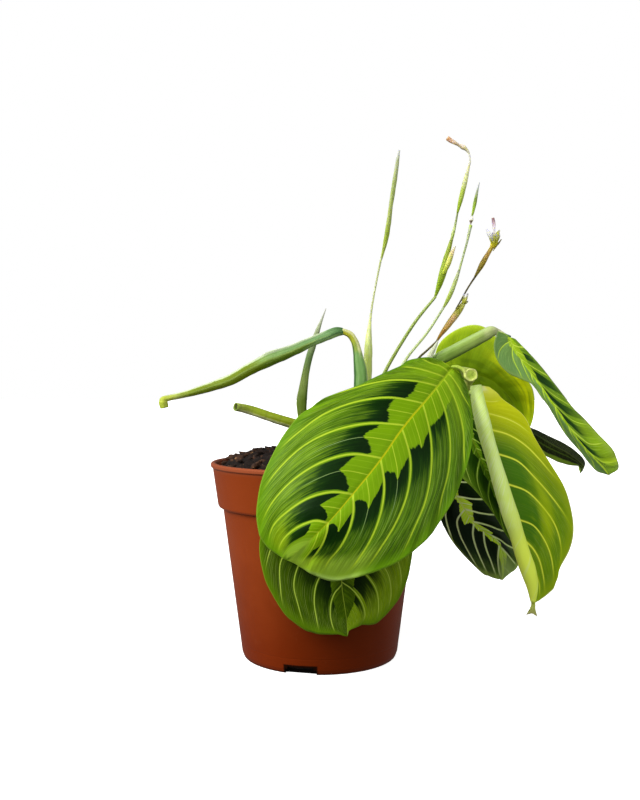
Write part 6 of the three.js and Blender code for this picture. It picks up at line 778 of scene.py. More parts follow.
def spans(spec):
    """How far the dark reaches in each space between two veins: {vein number: (from, to, reach)}."""
    out = []
    for k, (f, t, r) in spec.items():
        out += [(k + f - 0.02, 0.0), (k + f + 0.03, r), (k + t - 0.03, r), (k + t + 0.02, 0.0)]
    return out


def leaf_material(name, left, right, last, green=(70, 128, 18), green2=(96, 158, 30), green_r=None, green_r2=None, dark=(8, 38, 8), dark2=(26, 70, 14), lime=(140, 178, 12), lime2=(118, 160, 14), vein=(178, 204, 38), margin=(84, 150, 30), midrib=(186, 190, 30),
                  midrib_base=(150, 176, 76), vein_w=(0.5, 0.2), halo=1.0, half_veins=(), half_tint=(190, 214, 170), half_amount=0.6, base=(3.2, 1.6), base_col=None, tip=None, mid_w=(0.8, 0.3), fray=1.0, phase_slant=None, vein_reach=(0.97, 0.8), vein_amount=1.0,
                  rough=0.46, spec=0.09, streak=1.0, tint=None, after=None, lime_fade=None, late_veins=None, late_mid=1.0, phase_map=None, ribs=0.35, edge=None):
    """left, right: {"feather": {...}, "dark": {...}} for teeth() and spans(). last: the vein number at the tip."""
    g = Graph(name)
    P, U = g.uv("Veins")
    gap, hw = g.uv("Metric")
    a = abs(U)
    on_r = U.gt(0.0)
    on_l = on_r.inv()
    pick = lambda l, r: on_l * l + on_r * r
    if phase_slant:
        scale, slant, shift = phase_slant
        P = on_l * P + on_r * ((P + a * slant) * scale + shift)
        gap = on_l * gap + on_r * (gap * (1.0 / scale))
    if phase_map:
        P = on_l * P + on_r * g.curve(P, phase_map, 0.0, last)
    frac = P.fract()
    dmm = frac.min(1.0 - frac) * gap
    seedx = on_r * 37.0
    # fibres run along the veins
    streak_n = g.noise(g.vec(P * 15.0 + seedx, a * 2.6, 0.0), 1.0, 3.0, 0.65)
    fine_n = g.noise(g.vec(P * 44.0 + seedx, a * 7.0, 3.0), 1.0, 2.0, 0.6)
    patch_n = g.noise(g.vec(P * 1.6 + seedx, a * 5.0, 7.0), 1.0, 2.0, 0.5)
    jag_n = g.noise(g.vec(P * 7.0 + seedx, a * 3.0, 11.0), 1.0, 2.0, 0.6)
    jag2 = g.noise(g.vec(P * 30.0 + seedx, a * 26.0, 13.0), 1.0, 2.0, 0.6)
    cell = g.noise(g.vec(P * gap * 3.0 + seedx, a * hw * 2.2, 5.0), 1.0, 2.0, 0.5)
    wob = (jag_n - 0.5) * 0.05 * fray + (jag2 - 0.5) * 0.022 * fray
    W = (pick(g.curve(P, teeth(left["feather"]), 0.0, last), g.curve(P, teeth(right["feather"]), 0.0, last)) + wob).max(0.0)
    R = pick(g.curve(P, spans(left["dark"]), 0.0, last), g.curve(P, spans(right["dark"]), 0.0, last))
    wv = vein_w[0] + (vein_w[1] - vein_w[0]) * a.pow(0.7)
    feather = g.smooth(a, W - 0.008, W + 0.008).inv()
    # the outer edge of each dark patch breaks up into streaks
    reach = a + (streak_n - 0.5) * 0.34 + (patch_n - 0.5) * 0.2 + (fine_n - 0.5) * 0.14
    D = g.smooth(a, W - 0.004, W + 0.01) * g.smooth(reach, R * 0.86 - 0.03, R * 1.12 + 0.03).inv() * g.smooth(R, 0.02, 0.12) * g.smooth(dmm, wv * 0.7, wv * 1.25)
    # the green of the blade
    mixn = (g.smooth(streak_n, 0.36, 0.66) * 0.6 + g.smooth(fine_n, 0.36, 0.68) * 0.4) * streak
    col = g.mix(mixn, green, green2)
    if green_r:
        col = g.mix(on_r, col, g.mix(mixn, green_r, green_r2))
    col = g.mix(g.smooth(cell, 0.55, 0.75) * 0.25, col, green2)
    # thin pale lines between the side veins
    rib_n = g.noise(g.vec(P * 5.0 + seedx, a * 4.0, 17.0), 1.0, 2.0, 0.6)
    rib = abs((P * 9.0 + (rib_n - 0.5) * 0.9).fract() - 0.5)
    rib_mask = g.smooth(rib, 0.4, 0.49) * g.smooth(rib_n, 0.38, 0.58) * ribs
    col = g.mix(rib_mask, col, g.mix(0.5, col, (206, 222, 130)))
    col = g.mix(g.smooth(a, 0.82, 0.99) * 0.75, col, margin)
    halo_mask = g.smooth(dmm, wv * 0.8, wv * 2.4).inv() * halo
    col = g.mix(halo_mask * 0.5, col, lime2)
    fringe = g.smooth(reach, R * 1.5 + 0.02, R * 1.0).clamp() * g.smooth(R, 0.02, 0.1) * g.smooth(a, W, W + 0.02)
    col = g.mix(fringe * 0.45, col, dark2)
    dcol = g.mix(g.smooth(reach, R * 0.45, R * 1.05) * 0.7 + g.smooth(cell, 0.5, 0.75) * 0.2, dark, dark2)
    dcol = g.mix(rib_mask * g.smooth(a, 0.1, 0.4) * 0.6, dcol, dark2)
    col = g.mix(D, col, dcol)
    lcol = g.mix(g.smooth(fine_n, 0.35, 0.7) * 0.5 + g.smooth(cell, 0.5, 0.75) * 0.3, lime, lime2)
    lines = abs((P * 6.0 + 0.5).fract() - 0.5) * gap * (1.0 / 6.0)
    lcol = g.mix(g.smooth(lines, 0.05, 0.16).inv() * 0.28, lcol, vein)
    halfd = abs(frac - 0.5) * gap
    lcol = g.mix(g.smooth(halfd, 0.14, 0.3).inv() * 0.75, lcol, vein)
    if lime_fade:
        lcol = g.mix(g.smooth(P, lime_fade[0], lime_fade[1]), lcol, g.mix(mixn, green, green2))
    col = g.mix(feather, col, lcol)
    if base:
        col = g.mix(g.smooth(P, base[0], base[1]) * g.smooth(a, 0.85, 0.3) * 0.8, col, base_col or lcol)
    for k, side in half_veins:
        on = g.smooth(abs(P - (k + 0.5)), 0.3, 0.2) * (on_r if side == "R" else on_l)
        thin = g.smooth(halfd, 0.08, 0.2).inv() * g.smooth(a, W, W + 0.01) * g.smooth(a, 0.62, 0.34) * on * half_amount
        col = g.mix(thin, col, half_tint)
    vein_mask = g.smooth(dmm, wv * 0.4, wv * 1.05).inv() * g.smooth(a, vein_reach[0], vein_reach[1]) * vein_amount
    if late_veins:
        vein_mask = vein_mask * g.smooth(P, late_veins[1], late_veins[0]).max(late_veins[2])
    col = g.mix(vein_mask, col, vein)
    if tip:
        col = g.mix(g.smooth(P, tip[0], tip[1]) * 0.85, col, tip[2])
    mid_d = a * hw
    mw = mid_w[0] + (mid_w[1] - mid_w[0]) * g.smooth(P, 0.0, last - 0.5, "LINEAR")
    mid_mask = g.smooth(mid_d, mw * 0.65, mw * 1.1).inv()
    if late_mid < 1:
        mid_mask = mid_mask * g.smooth(P, last - 1.3, last - 2.1).max(late_mid)
    mcol = g.mix(g.smooth(P, last * 0.25, last * 0.5), midrib_base, midrib)
    col = g.mix(mid_mask, col, mcol)
    col = g.mix(g.smooth(mid_d, mw * 0.1, mw * 0.3).inv() * g.smooth(P, 1.0, last * 0.4) * 0.6, col, tuple(c * f for c, f in zip(midrib, (1.0, 0.86, 0.7))))
    if tint:
        for lo, hi, amount, tcol, only in tint:
            m = g.smooth(a, lo, hi) * amount
            if only:
                m = m * (on_r if only == "R" else on_l)
            col = g.mix(m, col, tcol)
    if after is not None:
        col = after(g, col, dict(P=P, U=U, a=a, on_r=on_r, on_l=on_l, streak=streak_n, fine=fine_n, patch=patch_n, vein=vein_mask, gap=gap, hw=hw, dmm=dmm, frac=frac, jag=jag_n))
    if edge:
        col = g.mix(g.smooth(a, 0.984, 0.992) * edge[0], col, edge[1])
    h = vein_mask * -0.6 + streak_n * 0.45 + fine_n * 0.4 + cell * 0.5 - mid_mask * 0.5
    return g.finish(col, rough + (streak_n - 0.5) * 0.12 - vein_mask * 0.03, g.bump(h, 0.4, 0.00022), spec)


def under_material(name, base=(120, 160, 70), vein=(170, 200, 110), edge=(110, 150, 60), rough=0.55, vein_w=0.42, vein_amount=0.7, seam=False, low=None):
    """The pale underside of a blade, with raised veins."""
    g = Graph(name)
    P, U = g.uv("Veins")
    gap, hw = g.uv("Metric")
    a = abs(U)
    frac = P.fract()
    dmm = frac.min(1.0 - frac) * gap
    n = g.noise(g.vec(P * 14.0, a * 3.0, 0.0), 1.0, 3.0, 0.6)
    n2 = g.noise(g.coords(), 0.12, 3.0, 0.6)
    v = g.smooth(dmm, vein_w * 0.3, vein_w).inv() * g.smooth(a, 1.0, 0.8).max(0.6 if seam else 0.0)
    col = g.mix(g.smooth(n, 0.35, 0.7), base, edge)
    col = g.mix(g.smooth(n2, 0.42, 0.62) * 0.5, col, edge)
    if low:
        col = g.mix(g.smooth(P, low[0][0], low[0][1]), col, low[1])
    col = g.mix(v * vein_amount, col, vein)
    if not seam:
        col = g.mix(g.smooth(a * hw, 0.4, 0.9).inv(), col, vein)
    return g.finish(col, rough + (n - 0.5) * 0.1, g.bump(v + n * 0.3, 0.4, 0.0003), 0.1)


def stem_material(name, stops, facets=(), fibre=0.4, rough=0.46, speck=None, mottle=0.25, spec=0.16, rings=0.0):
    """stops: [(t, colour), ...] from the stem's first point to its last. facets: [(angle share, half width, colour, amount, t0, t1)]."""
    g = Graph(name)
    t, ang = g.uv("Stem")
    v3 = g.coords()
    n = g.noise(g.vec(ang * 26.0, t * 4.0, 0.0), 1.0, 3.0, 0.6)
    n2 = g.noise(v3, 0.3, 3.0, 0.6)
    n3 = g.noise(v3, 1.6, 3.0, 0.65)
    tt = t + (n2 - 0.5) * 0.12
    col = stops[0][1]
    for (ta, _), (tb, cb) in zip(stops[:-1], stops[1:]):
        col = g.mix(g.smooth(tt, ta, tb), col, cb)
    if len(stops) == 1:
        col = g.mix(g.num(0.0) + n2 * 0.0, stops[0][1], stops[0][1])
    for centre, half, fcol, amount, t0, t1 in facets:
        off = abs((ang - centre + 0.5 + (n2 - 0.5) * 0.05).fract() - 0.5)
        m = g.smooth(off, half + 0.025, half - 0.015) * amount
        if t0 > 0:
            m = m * g.smooth(tt, t0 - 0.08, t0 + 0.04)
        if t1 < 1:
            m = m * g.smooth(tt, t1 + 0.08, t1 - 0.04)
        col = g.mix(m, col, fcol)
    col = g.mix(g.smooth(n, 0.52, 0.76) * fibre, col, g.mix(0.62, col, (20, 30, 4)))
    col = g.mix(g.smooth(n, 0.45, 0.25) * fibre * 0.8, col, g.mix(0.35, col, (240, 244, 200)))
    col = g.mix(g.smooth(n3, 0.5, 0.72) * mottle, col, g.mix(0.4, col, (40, 48, 10)))
    if rings:
        band = g.smooth((t * rings + (n2 - 0.5) * 1.5).sin(), 0.86, 0.98)
        col = g.mix(band * 0.5, col, g.mix(0.5, col, (90, 104, 40)))
    if speck:
        amount, scol, size = speck
        d, _ = g.voronoi(v3, size)
        col = g.mix(g.smooth(d, 0.34, 0.16) * g.smooth(n3, 0.42, 0.6) * amount, col, scol)
    # the thin stalks and bracts let light through
    glow = dict(Subsurface_Weight=0.9, Subsurface_Radius=(1.0, 1.0, 0.5), Subsurface_Scale=0.003) if name.startswith(("skin_flower", "skin_bract", "skin_sepals")) else {}
    return g.finish(col, rough + (n - 0.5) * 0.15, g.bump(n + n3 * 0.6, 0.4, 0.0002), spec, **glow)


# ---------------------------------------------------------------- stems
def frames(path, step):
    """Points, radii and cross axes along [x, y, z, diameter] stations."""
    A = np.array(path, float)
    s = np.linspace(0, len(A) - 1, (len(A) - 1) * step + 1)
    R = crv(A, s)
    P, D = R[:, :3], np.maximum(R[:, 3], 0.35)
    T = np.gradient(P, axis=0)
    T /= np.linalg.norm(T, axis=1, keepdims=True)
    X = np.zeros_like(P)
    x = np.cross([0, 1.0, 0], T[0])
    if np.linalg.norm(x) < 0.2:
        x = np.cross([1.0, 0, 0], T[0])
    for i in range(len(P)):
        x = x - (x @ T[i]) * T[i]
        x = x / np.linalg.norm(x)
        X[i] = x
    Y = np.cross(T, X)
    L = np.concatenate([[0], np.cumsum(np.linalg.norm(np.diff(P, axis=0), axis=1))])
    return P, D / 2, X, Y, T, L


def extended(path, a, b):
    """The path with its ends carried on straight by a and b mm."""
    A = [list(map(float, p)) for p in path]
    if a:
        d = np.array(A[0][:3]) - A[1][:3]
        A[0][:3] = (np.array(A[0][:3]) + d / np.linalg.norm(d) * a).tolist()
    if b:
        d = np.array(A[-1][:3]) - A[-2][:3]
        A[-1][:3] = (np.array(A[-1][:3]) + d / np.linalg.norm(d) * b).tolist()
    return A


def tube(name, path, mat, sides=20, step=6, flat=1.0, section=None, round_ends=(0.5, 0.5), wobble=0.03, seed=0, hollow=0.0, extend=(0.0, 0.0)):
    P, R, X, Y, T, L = frames(extended(path, *extend), step)
    n = len(P)
    ang = np.linspace(0, 2 * np.pi, sides, endpoint=False)
    rings, tt, rr = [], [], []
    t = L / L[-1]

    def ring(k, r, shift=0.0):
        rad = np.ones(sides) if section is None else section(ang, t[k])
        if wobble:
            rad = rad * (1 + wobble * noise2(np.cos(ang) * 1.3 + seed, L[k] * 0.35 + np.sin(ang) * 1.3, 5 + seed))
        c = P[k] + T[k] * shift
        return c + r * rad[:, None] * (np.cos(ang)[:, None] * X[k] + flat * np.sin(ang)[:, None] * Y[k])

    if hollow:
        for d, f in ((hollow, 0.62), (hollow * 0.5, 0.66), (0.4, 0.74), (0.0, 0.84)):
            rings.append(ring(0, R[0] * f, d)); tt.append(0.0)
    if round_ends[0]:
        for a in (0.35, 0.75):
            rings.append(ring(0, R[0] * math.sin(a * math.pi / 2), -0.0 - R[0] * 0.25 * math.cos(a * math.pi / 2) * round_ends[0])); tt.append(0.0)
    for k in range(n):
        rings.append(ring(k, R[k])); tt.append(t[k])
    if round_ends[1]:
        for a in (0.75, 0.35):
            rings.append(ring(n - 1, R[-1] * math.sin(a * math.pi / 2), R[-1] * 0.25 * math.cos(a * math.pi / 2) * round_ends[1])); tt.append(1.0)
    V = np.concatenate(rings)
    nr = len(rings)
    r, c = np.meshgrid(np.arange(nr - 1), np.arange(sides), indexing="ij")
    c2 = (c + 1) % sides
    a0, a1 = (r * sides + c).ravel(), (r * sides + c2).ravel()
    quads = np.stack([a0, a1, a1 + sides, a0 + sides], 1)
    first = rings[0].mean(0)
    last = rings[-1].mean(0)
    V = np.concatenate([V, [first, last]])
    k = np.arange(sides)
    k2 = (k + 1) % sides
    i0, i1 = nr * sides, nr * sides + 1
    tris = np.concatenate([np.stack([np.full(sides, i0), k2, k], 1), np.stack([np.full(sides, i1), (nr - 1) * sides + k, (nr - 1) * sides + k2], 1)])
    tt = np.array(tt)
    u0, u1 = tt[r.ravel()], tt[r.ravel() + 1]
    v0, v1 = c.ravel() / sides, (c.ravel() + 1) / sides
    uvq = np.stack([np.stack([u0, v0], 1), np.stack([u0, v1], 1), np.stack([u1, v1], 1), np.stack([u1, v0], 1)], 1)
    z = np.zeros(sides)
    uvt0 = np.stack([np.stack([z, (k + 0.5) / sides], 1), np.stack([z, (k + 1) / sides], 1), np.stack([z, k / sides], 1)], 1)
    o = np.ones(sides)
    uvt1 = np.stack([np.stack([o, (k + 0.5) / sides], 1), np.stack([o, k / sides], 1), np.stack([o, (k + 1) / sides], 1)], 1)
    uv = np.concatenate([uvq.reshape(-1, 2), uvt0.reshape(-1, 2), uvt1.reshape(-1, 2)])
    return new_mesh(name, V, quads, tris, {"Stem": uv}, [mat])



def rolled_leaf(name, leaf, roll, mats, n=190, m=30, quilt=0.3, groove=0.35, thickness=0.26, total=640.0, steps=72):
    """The open half with its other half rolled up beside the midrib, as one sheet."""
    T = stations(leaf, "R", n)
    T[-1] = 0.9985
    U = np.linspace(0, 1, m)
    G, ph, M = half_grid(leaf, "R", T, U)
    gap, hw = metrics(G, ph)
    N = grid_normals(G)
    sgn = -1.0 if N[..., 1].mean() > 0 else 1.0
    H = relief(ph, U, hw, quilt, 0.0, 3) * (1 - smoothstep(T, 0.96, 1.0))[:, None]
    H += 0.35 * noise1(T * 15, 8)[:, None] * (U ** 3)[None, :]
    roll = np.array(roll, float)
    s = T * (len(roll) - 1)
    C = crv(roll, s)
    ax = crv(roll, np.minimum(s + 0.05, len(roll) - 1))[:, :3] - crv(roll, np.maximum(s - 0.05, 0))[:, :3]
    ax /= np.linalg.norm(ax, axis=1, keepdims=True)
    Y = np.array([0, 1.0, 0]) - ax * ax[:, 1:2]
    Y /= np.linalg.norm(Y, axis=1, keepdims=True)
    X = np.cross(Y, ax)
    X /= np.linalg.norm(X, axis=1, keepdims=True)
    X *= np.where(X[:, :1] < 0, -1.0, 1.0)
    ang = np.radians(45.0 + total * np.arange(steps, -1, -1) / steps)
    rad = 1 - 0.12 * (np.degrees(ang) - 45.0) / 318.0
    rr = C[:, 3][:, None] * rad[None, :]
    # the roll is not quite round, and its veins stand a little proud
    veins_on = 0.05 * np.maximum(0, 1 - np.abs(((ph[:, None] * 1.0 + (ang[None, :] - 0.8) * 0.32) % 1.0) - 0.5) / 0.16)
    rr = rr * (1 + 0.025 * np.cos(2 * ang[None, :] + T[:, None] * 9)) + veins_on
    R = C[:, None, :3] + rr[..., None] * (np.cos(ang)[None, :, None] * X[:, None, :] + np.sin(ang)[None, :, None] * Y[:, None, :])
    open_half = G + (R[:, -1] - G[:, 0])[:, None, :] * ((1 - U) ** 2)[None, :, None]
    open_half = open_half + N * sgn * H[..., None]
    A = np.concatenate([R, open_half[:, 1:]], 1)
    k = R.shape[1]
    arc = np.linspace(-1.0, 0.0, k)
    PH = np.repeat(ph[:, None], A.shape[1], 1)
    UU = np.repeat(np.concatenate([arc, U[1:]])[None, :], n, 0)
    # on the roll the veins run round it on a slant
    slant = np.concatenate([(ang - ang[-1]) * 0.32, np.zeros(m - 1)])
    PH = PH + slant[None, :]
    gg = np.concatenate([np.repeat(gap[:, :1], k, 1), gap[:, 1:]], 1)
    hh = np.repeat(hw[:, :1], A.shape[1], 1)
    TT = np.repeat(T[:, None], A.shape[1], 1)
    uv = {"UVMap": corners(np.stack([TT, (UU + 1) / 2], -1)).reshape(-1, 4, 2), "Veins": corners(np.stack([PH, UU], -1)).reshape(-1, 4, 2), "Metric": corners(np.stack([gg, hh], -1)).reshape(-1, 4, 2)}
    NA = grid_normals(A)
    if NA[:, k + 4:, 1].mean() > 0:
        A = A[:, ::-1]
        for key in uv:
            a = uv[key].reshape(n - 1, A.shape[1] - 1, 4, 2)[:, ::-1][:, :, [1, 0, 3, 2]]
            uv[key] = a.reshape(-1, 4, 2)
    return shell(name, A, uv, mats, thickness)


# ================================================================ the leaves
UNDER = under_material("leaf_underside", (112, 146, 72), (150, 178, 100), (98, 134, 58), 0.5)
UNDER_DARK = under_material("leaf_underside_dark", (64, 76, 46), (98, 114, 70), (54, 68, 38), 0.5)
UNDER_ROLL = under_material("leaf_underside_roll", (232, 255, 174), (240, 255, 222), (220, 250, 118), 0.55, vein_w=0.3, vein_amount=0.16, seam=True, low=((5.6, 8.8), (232, 252, 90)))

PLAIN = {"feather": {0: ((0.0, 0.0), (0.9, 0.0))}, "dark": {0: (0.1, 0.9, 0.0)}}

def front_after(g, col, d):
    P, a = d["P"], d["a"]
    n = d["streak"] - 0.5
    # the tip, folded under: a painted pale sheen, then painted shade where the blade folds away from the light
    fold = g.smooth(P + n * 0.3, 8.55, 9.2)
    col = g.mix(fold * 0.75, col, (134, 170, 48))
    col = g.mix(g.smooth(abs(P - 9.3), 0.5, 0.1) * g.smooth(a, 0.95, 0.3) * 0.12, col, (140, 176, 60))
    col = g.mix(g.smooth(a + n * 0.1, 0.72, 0.97) * g.smooth(P, 8.6, 9.3) * 0.85, col, (62, 96, 4))
    col = g.mix(g.smooth(P, 9.66, 9.95) * 0.85, col, (64, 100, 4))
    # yellow where the right side turns under beside the tip
    yellow = d["on_r"] * g.smooth(abs(P - 7.8 + n * 0.7), 0.95, 0.2) * g.smooth(abs(a - 0.9 + n * 0.16), 0.26, 0.04)
    col = g.mix(yellow * 0.7 * d["vein"].inv(), col, (196, 246, 16))
    col = g.mix(d["on_l"] * g.smooth(abs(P - 7.9 + n), 1.1, 0.2) * g.smooth(abs(a - 0.8), 0.2, 0.05) * 0.4 * d["vein"].inv(), col, (150, 178, 12))
    glow = d["on_r"] * g.smooth(a + n * 0.2, 0.66, 0.86) * g.smooth(P, 4.6, 5.6)
    col = g.mix(glow * 0.55 * d["vein"].inv(), col, (156, 190, 56))
    # a pale rim along the bottom
    rim = d["on_r"] * g.smooth(abs(P - 6.6), 2.0, 0.8) * g.smooth(a, 0.935, 0.985)
    col = g.mix(rim * 0.75, col, (166, 200, 96))
    # the dark crimped margin near the stalk
    crimp = d["on_l"] * g.smooth(P, 3.6, 2.4) * g.smooth(a, 0.955, 0.98) * g.smooth(d["patch"], 0.35, 0.55)
    col = g.mix(crimp * 0.8, col, (46, 96, 48))
    glow = g.smooth(P, 3.3, 1.8) * g.smooth(a, 0.9, 0.4) * d["on_l"]
    return g.mix(glow * 0.35 * d["vein"].inv(), col, (132, 172, 10))


M_FRONT = leaf_material(
    "blade_front",
    {"feather": {0: ((0.0, 0.3),), 1: ((0.0, 0.26),), 2: ((0.0, 0.2), (0.95, 0.17)), 3: ((0.03, 0.165), (0.5, 0.13), (0.97, 0.105)), 4: ((0.03, 0.165), (0.18, 0.17), (0.5, 0.155), (0.62, 0.13), (0.85, 0.1), (0.97, 0.1)),
                 5: ((0.03, 0.135), (0.14, 0.14), (0.34, 0.188), (0.52, 0.19), (0.58, 0.15), (0.85, 0.09), (0.97, 0.085)), 6: ((0.03, 0.15), (0.12, 0.165), (0.47, 0.225), (0.54, 0.195), (0.68, 0.13), (0.85, 0.065), (0.97, 0.06)),
                 7: ((0.03, 0.1), (0.12, 0.12), (0.44, 0.24), (0.52, 0.19), (0.66, 0.13), (0.8, 0.065), (0.97, 0.055)), 8: ((0.03, 0.18), (0.1, 0.24), (0.45, 0.22), (0.66, 0.26), (0.72, 0.55), (0.8, 0.95), (0.97, 1.0)), 9: ((0.0, 1.0), (1.0, 1.0))},
     "dark": {3: (0.06, 0.95, 0.31), 4: (0.06, 0.94, 0.34), 5: (0.06, 0.94, 0.37), 6: (0.06, 0.94, 0.44), 7: (0.06, 0.93, 0.54), 8: (0.12, 0.7, 0.62)}},
    {"feather": {0: ((0.0, 0.26),), 1: ((0.0, 0.22),), 2: ((0.0, 0.18), (0.95, 0.17)), 3: ((0.03, 0.17), (0.5, 0.165), (0.97, 0.145)), 4: ((0.03, 0.17), (0.3, 0.18), (0.5, 0.21), (0.58, 0.165), (0.97, 0.14)),
                 5: ((0.03, 0.16), (0.12, 0.175), (0.36, 0.2), (0.5, 0.245), (0.58, 0.18), (0.85, 0.12), (0.97, 0.11)), 6: ((0.03, 0.16), (0.12, 0.18), (0.36, 0.22), (0.5, 0.29), (0.58, 0.2), (0.66, 0.17), (0.85, 0.11), (0.97, 0.1)),
                 7: ((0.03, 0.17), (0.12, 0.19), (0.36, 0.27), (0.48, 0.34), (0.55, 0.25), (0.62, 0.2), (0.8, 0.09), (0.97, 0.07)), 8: ((0.03, 0.42), (0.1, 0.44), (0.36, 0.5), (0.46, 0.8), (0.6, 0.98), (0.97, 1.0)), 9: ((0.0, 1.0), (1.0, 1.0))},
     "dark": {3: (0.06, 0.93, 0.26), 4: (0.06, 0.94, 0.37), 5: (0.06, 0.94, 0.4), 6: (0.06, 0.94, 0.48), 7: (0.06, 0.94, 0.58), 8: (0.05, 0.42, 0.72)}},
    10.0, green=(50, 90, 1), green2=(120, 157, 24), green_r=(38, 76, 1), green_r2=(96, 133, 20), dark=(5, 31, 1), dark2=(24, 59, 4), lime=(112, 152, 2), lime2=(96, 139, 3), vein=(164, 190, 44), margin=(94, 140, 6),
    midrib=(172, 180, 12), midrib_base=(156, 188, 30), half_veins=((5, "L"), (6, "L"), (5, "R"), (6, "R")), half_tint=(158, 190, 116), half_amount=0.5, base=(3.1, 1.6), base_col=(122, 158, 18), mid_w=(0.8, 0.35), vein_w=(0.62, 0.4), late_veins=(8.5, 8.8, 0.22), late_mid=0.35,
    spec=0.06, after=front_after, edge=(0.3, (140, 174, 60)), ribs=0.5)

M_LOW = leaf_material(
    "blade_low",
    {"feather": {0: ((0.0, 0.16), (0.45, 0.22), (0.9, 0.12)), 1: ((0.0, 0.14), (0.45, 0.24), (0.9, 0.12)), 2: ((0.0, 0.14), (0.45, 0.25), (0.9, 0.12)), 3: ((0.0, 0.14), (0.45, 0.26), (0.9, 0.12)), 4: ((0.0, 0.14), (0.45, 0.27), (0.9, 0.14)),
                 5: ((0.03, 0.13), (0.3, 0.17), (0.6, 0.22), (0.9, 0.25)), 6: ((0.03, 0.3), (0.5, 0.36), (1.0, 0.3)), 7: ((0.5, 0.0),)},
     "dark": {0: (0.1, 0.9, 0.4), 1: (0.1, 0.9, 0.44), 2: (0.1, 0.9, 0.46), 3: (0.08, 0.92, 0.5), 4: (0.08, 0.92, 0.5), 5: (0.06, 0.86, 0.58), 6: (0.08, 0.34, 0.5)}},
    {"feather": {0: ((0.0, 0.16), (0.45, 0.22), (0.9, 0.12)), 1: ((0.0, 0.14), (0.45, 0.24), (0.9, 0.12)), 2: ((0.0, 0.14), (0.45, 0.25), (0.9, 0.12)), 3: ((0.0, 0.14), (0.45, 0.26), (0.9, 0.12)), 4: ((0.0, 0.14), (0.45, 0.27), (0.9, 0.16)),
                 5: ((0.03, 0.18), (0.5, 0.22), (0.9, 0.25)), 6: ((0.03, 0.33), (0.5, 0.38), (1.0, 0.3)), 7: ((0.5, 0.0),)},
     "dark": {0: (0.1, 0.9, 0.4), 1: (0.1, 0.9, 0.44), 2: (0.1, 0.9, 0.46), 3: (0.08, 0.92, 0.5), 4: (0.3, 0.92, 0.5), 5: (0.06, 0.86, 0.58), 6: (0.06, 0.36, 0.6)}},
    8.0, green=(38, 63, 1), green2=(76, 103, 3), green_r=(98, 128, 5), green_r2=(128, 156, 14), dark=(10, 28, 2), dark2=(36, 58, 2), lime=(90, 124, 4), lime2=(80, 113, 4), vein=(166, 190, 70), margin=(88, 124, 4), midrib=(148, 172, 56), midrib_base=(150, 174, 60), vein_w=(0.36, 0.3), halo=0.5, base=None,
    mid_w=(0.6, 0.26), vein_amount=0.95, lime_fade=(5.5, 6.0), late_veins=(6.6, 6.9, 0.0), late_mid=0.6, edge=(0.6, (120, 150, 40)), ribs=0.6, spec=0.05)


def half_rolled_after(g, col, d):
    P, a = d["P"], d["a"]
    col = g.mix(g.smooth(P, 4.2, 0.9) * 0.85 * d["vein"].inv(), col, (222, 228, 6))
    col = g.mix(g.smooth(P, 1.2, 0.2) * 0.7, col, (236, 240, 90))
    deep = g.smooth(a + (d["streak"] - 0.5) * 0.3 + (d["patch"] - 0.5) * 0.5, 0.42, 0.14) * g.smooth(P, 3.0, 4.1) * g.smooth(P, 7.2, 6.5)
    col = g.mix(deep * 0.8 * d["vein"].inv(), col, (58, 112, 3))
    glow = g.smooth(abs(a - 0.46), 0.2, 0.02) * g.smooth(abs(P - 4.9), 1.5, 0.3)
    col = g.mix(glow * 0.7 * (d["patch"] + 0.2), col, (186, 208, 3))
    col = g.mix(g.smooth(a, 0.72, 0.95) * g.smooth(P, 2.4, 3.6) * 0.6, col, (140, 168, 6))
    col = g.mix(g.smooth(a, 0.975, 0.99) * 0.8, col, (226, 234, 120))
    col = g.mix(g.smooth(P, 7.0, 8.4) * 0.5, col, (150, 182, 3))
    return g.mix(g.smooth(P + (d["jag"] - 0.5) * 0.3, 0.5, 0.2) * g.smooth(a, 0.7, 0.3) * 0.8, col, (238, 242, 168))


M_HALF = leaf_material("blade_half_rolled", PLAIN, PLAIN, 9.0, green=(90, 130, 1), green2=(124, 160, 2), lime=(156, 184, 4), lime2=(166, 192, 6), vein=(228, 238, 70), margin=(150, 178, 6), midrib=(210, 222, 60), midrib_base=(226, 232, 100), vein_w=(0.6, 0.34),
                       half_veins=((5, "R"), (6, "R")), half_tint=(150, 176, 90), half_amount=0.4, base=None, vein_reach=(0.95, 0.62), after=half_rolled_after, rough=0.42, ribs=0.6)
M_BETWEEN = leaf_material(
    "blade_between",
    {"feather": {k: ((0.03, 0.1), (0.45, 0.16), (0.9, 0.08)) for k in range(7)}, "dark": {1: (0.15, 0.9, 0.4), 2: (0.1, 0.9, 0.46), 3: (0.1, 0.9, 0.48), 4: (0.1, 0.9, 0.5), 5: (0.1, 0.9, 0.5)}},
    {"feather": {k: ((0.03, 0.1), (0.45, 0.16), (0.9, 0.08)) for k in range(7)}, "dark": {1: (0.15, 0.9, 0.4), 2: (0.1, 0.9, 0.46), 3: (0.1, 0.9, 0.48), 4: (0.1, 0.9, 0.5), 5: (0.1, 0.9, 0.5)}},
    7.0, green=(72, 112, 6), green2=(104, 144, 22), dark=(34, 70, 5), dark2=(58, 96, 8), lime=(104, 146, 8), lime2=(92, 136, 8), vein=(184, 214, 90), margin=(140, 176, 48), midrib=(132, 160, 30), midrib_base=(150, 178, 60), vein_w=(0.4, 0.26), halo=0.5, base=(1.2, 0.2))
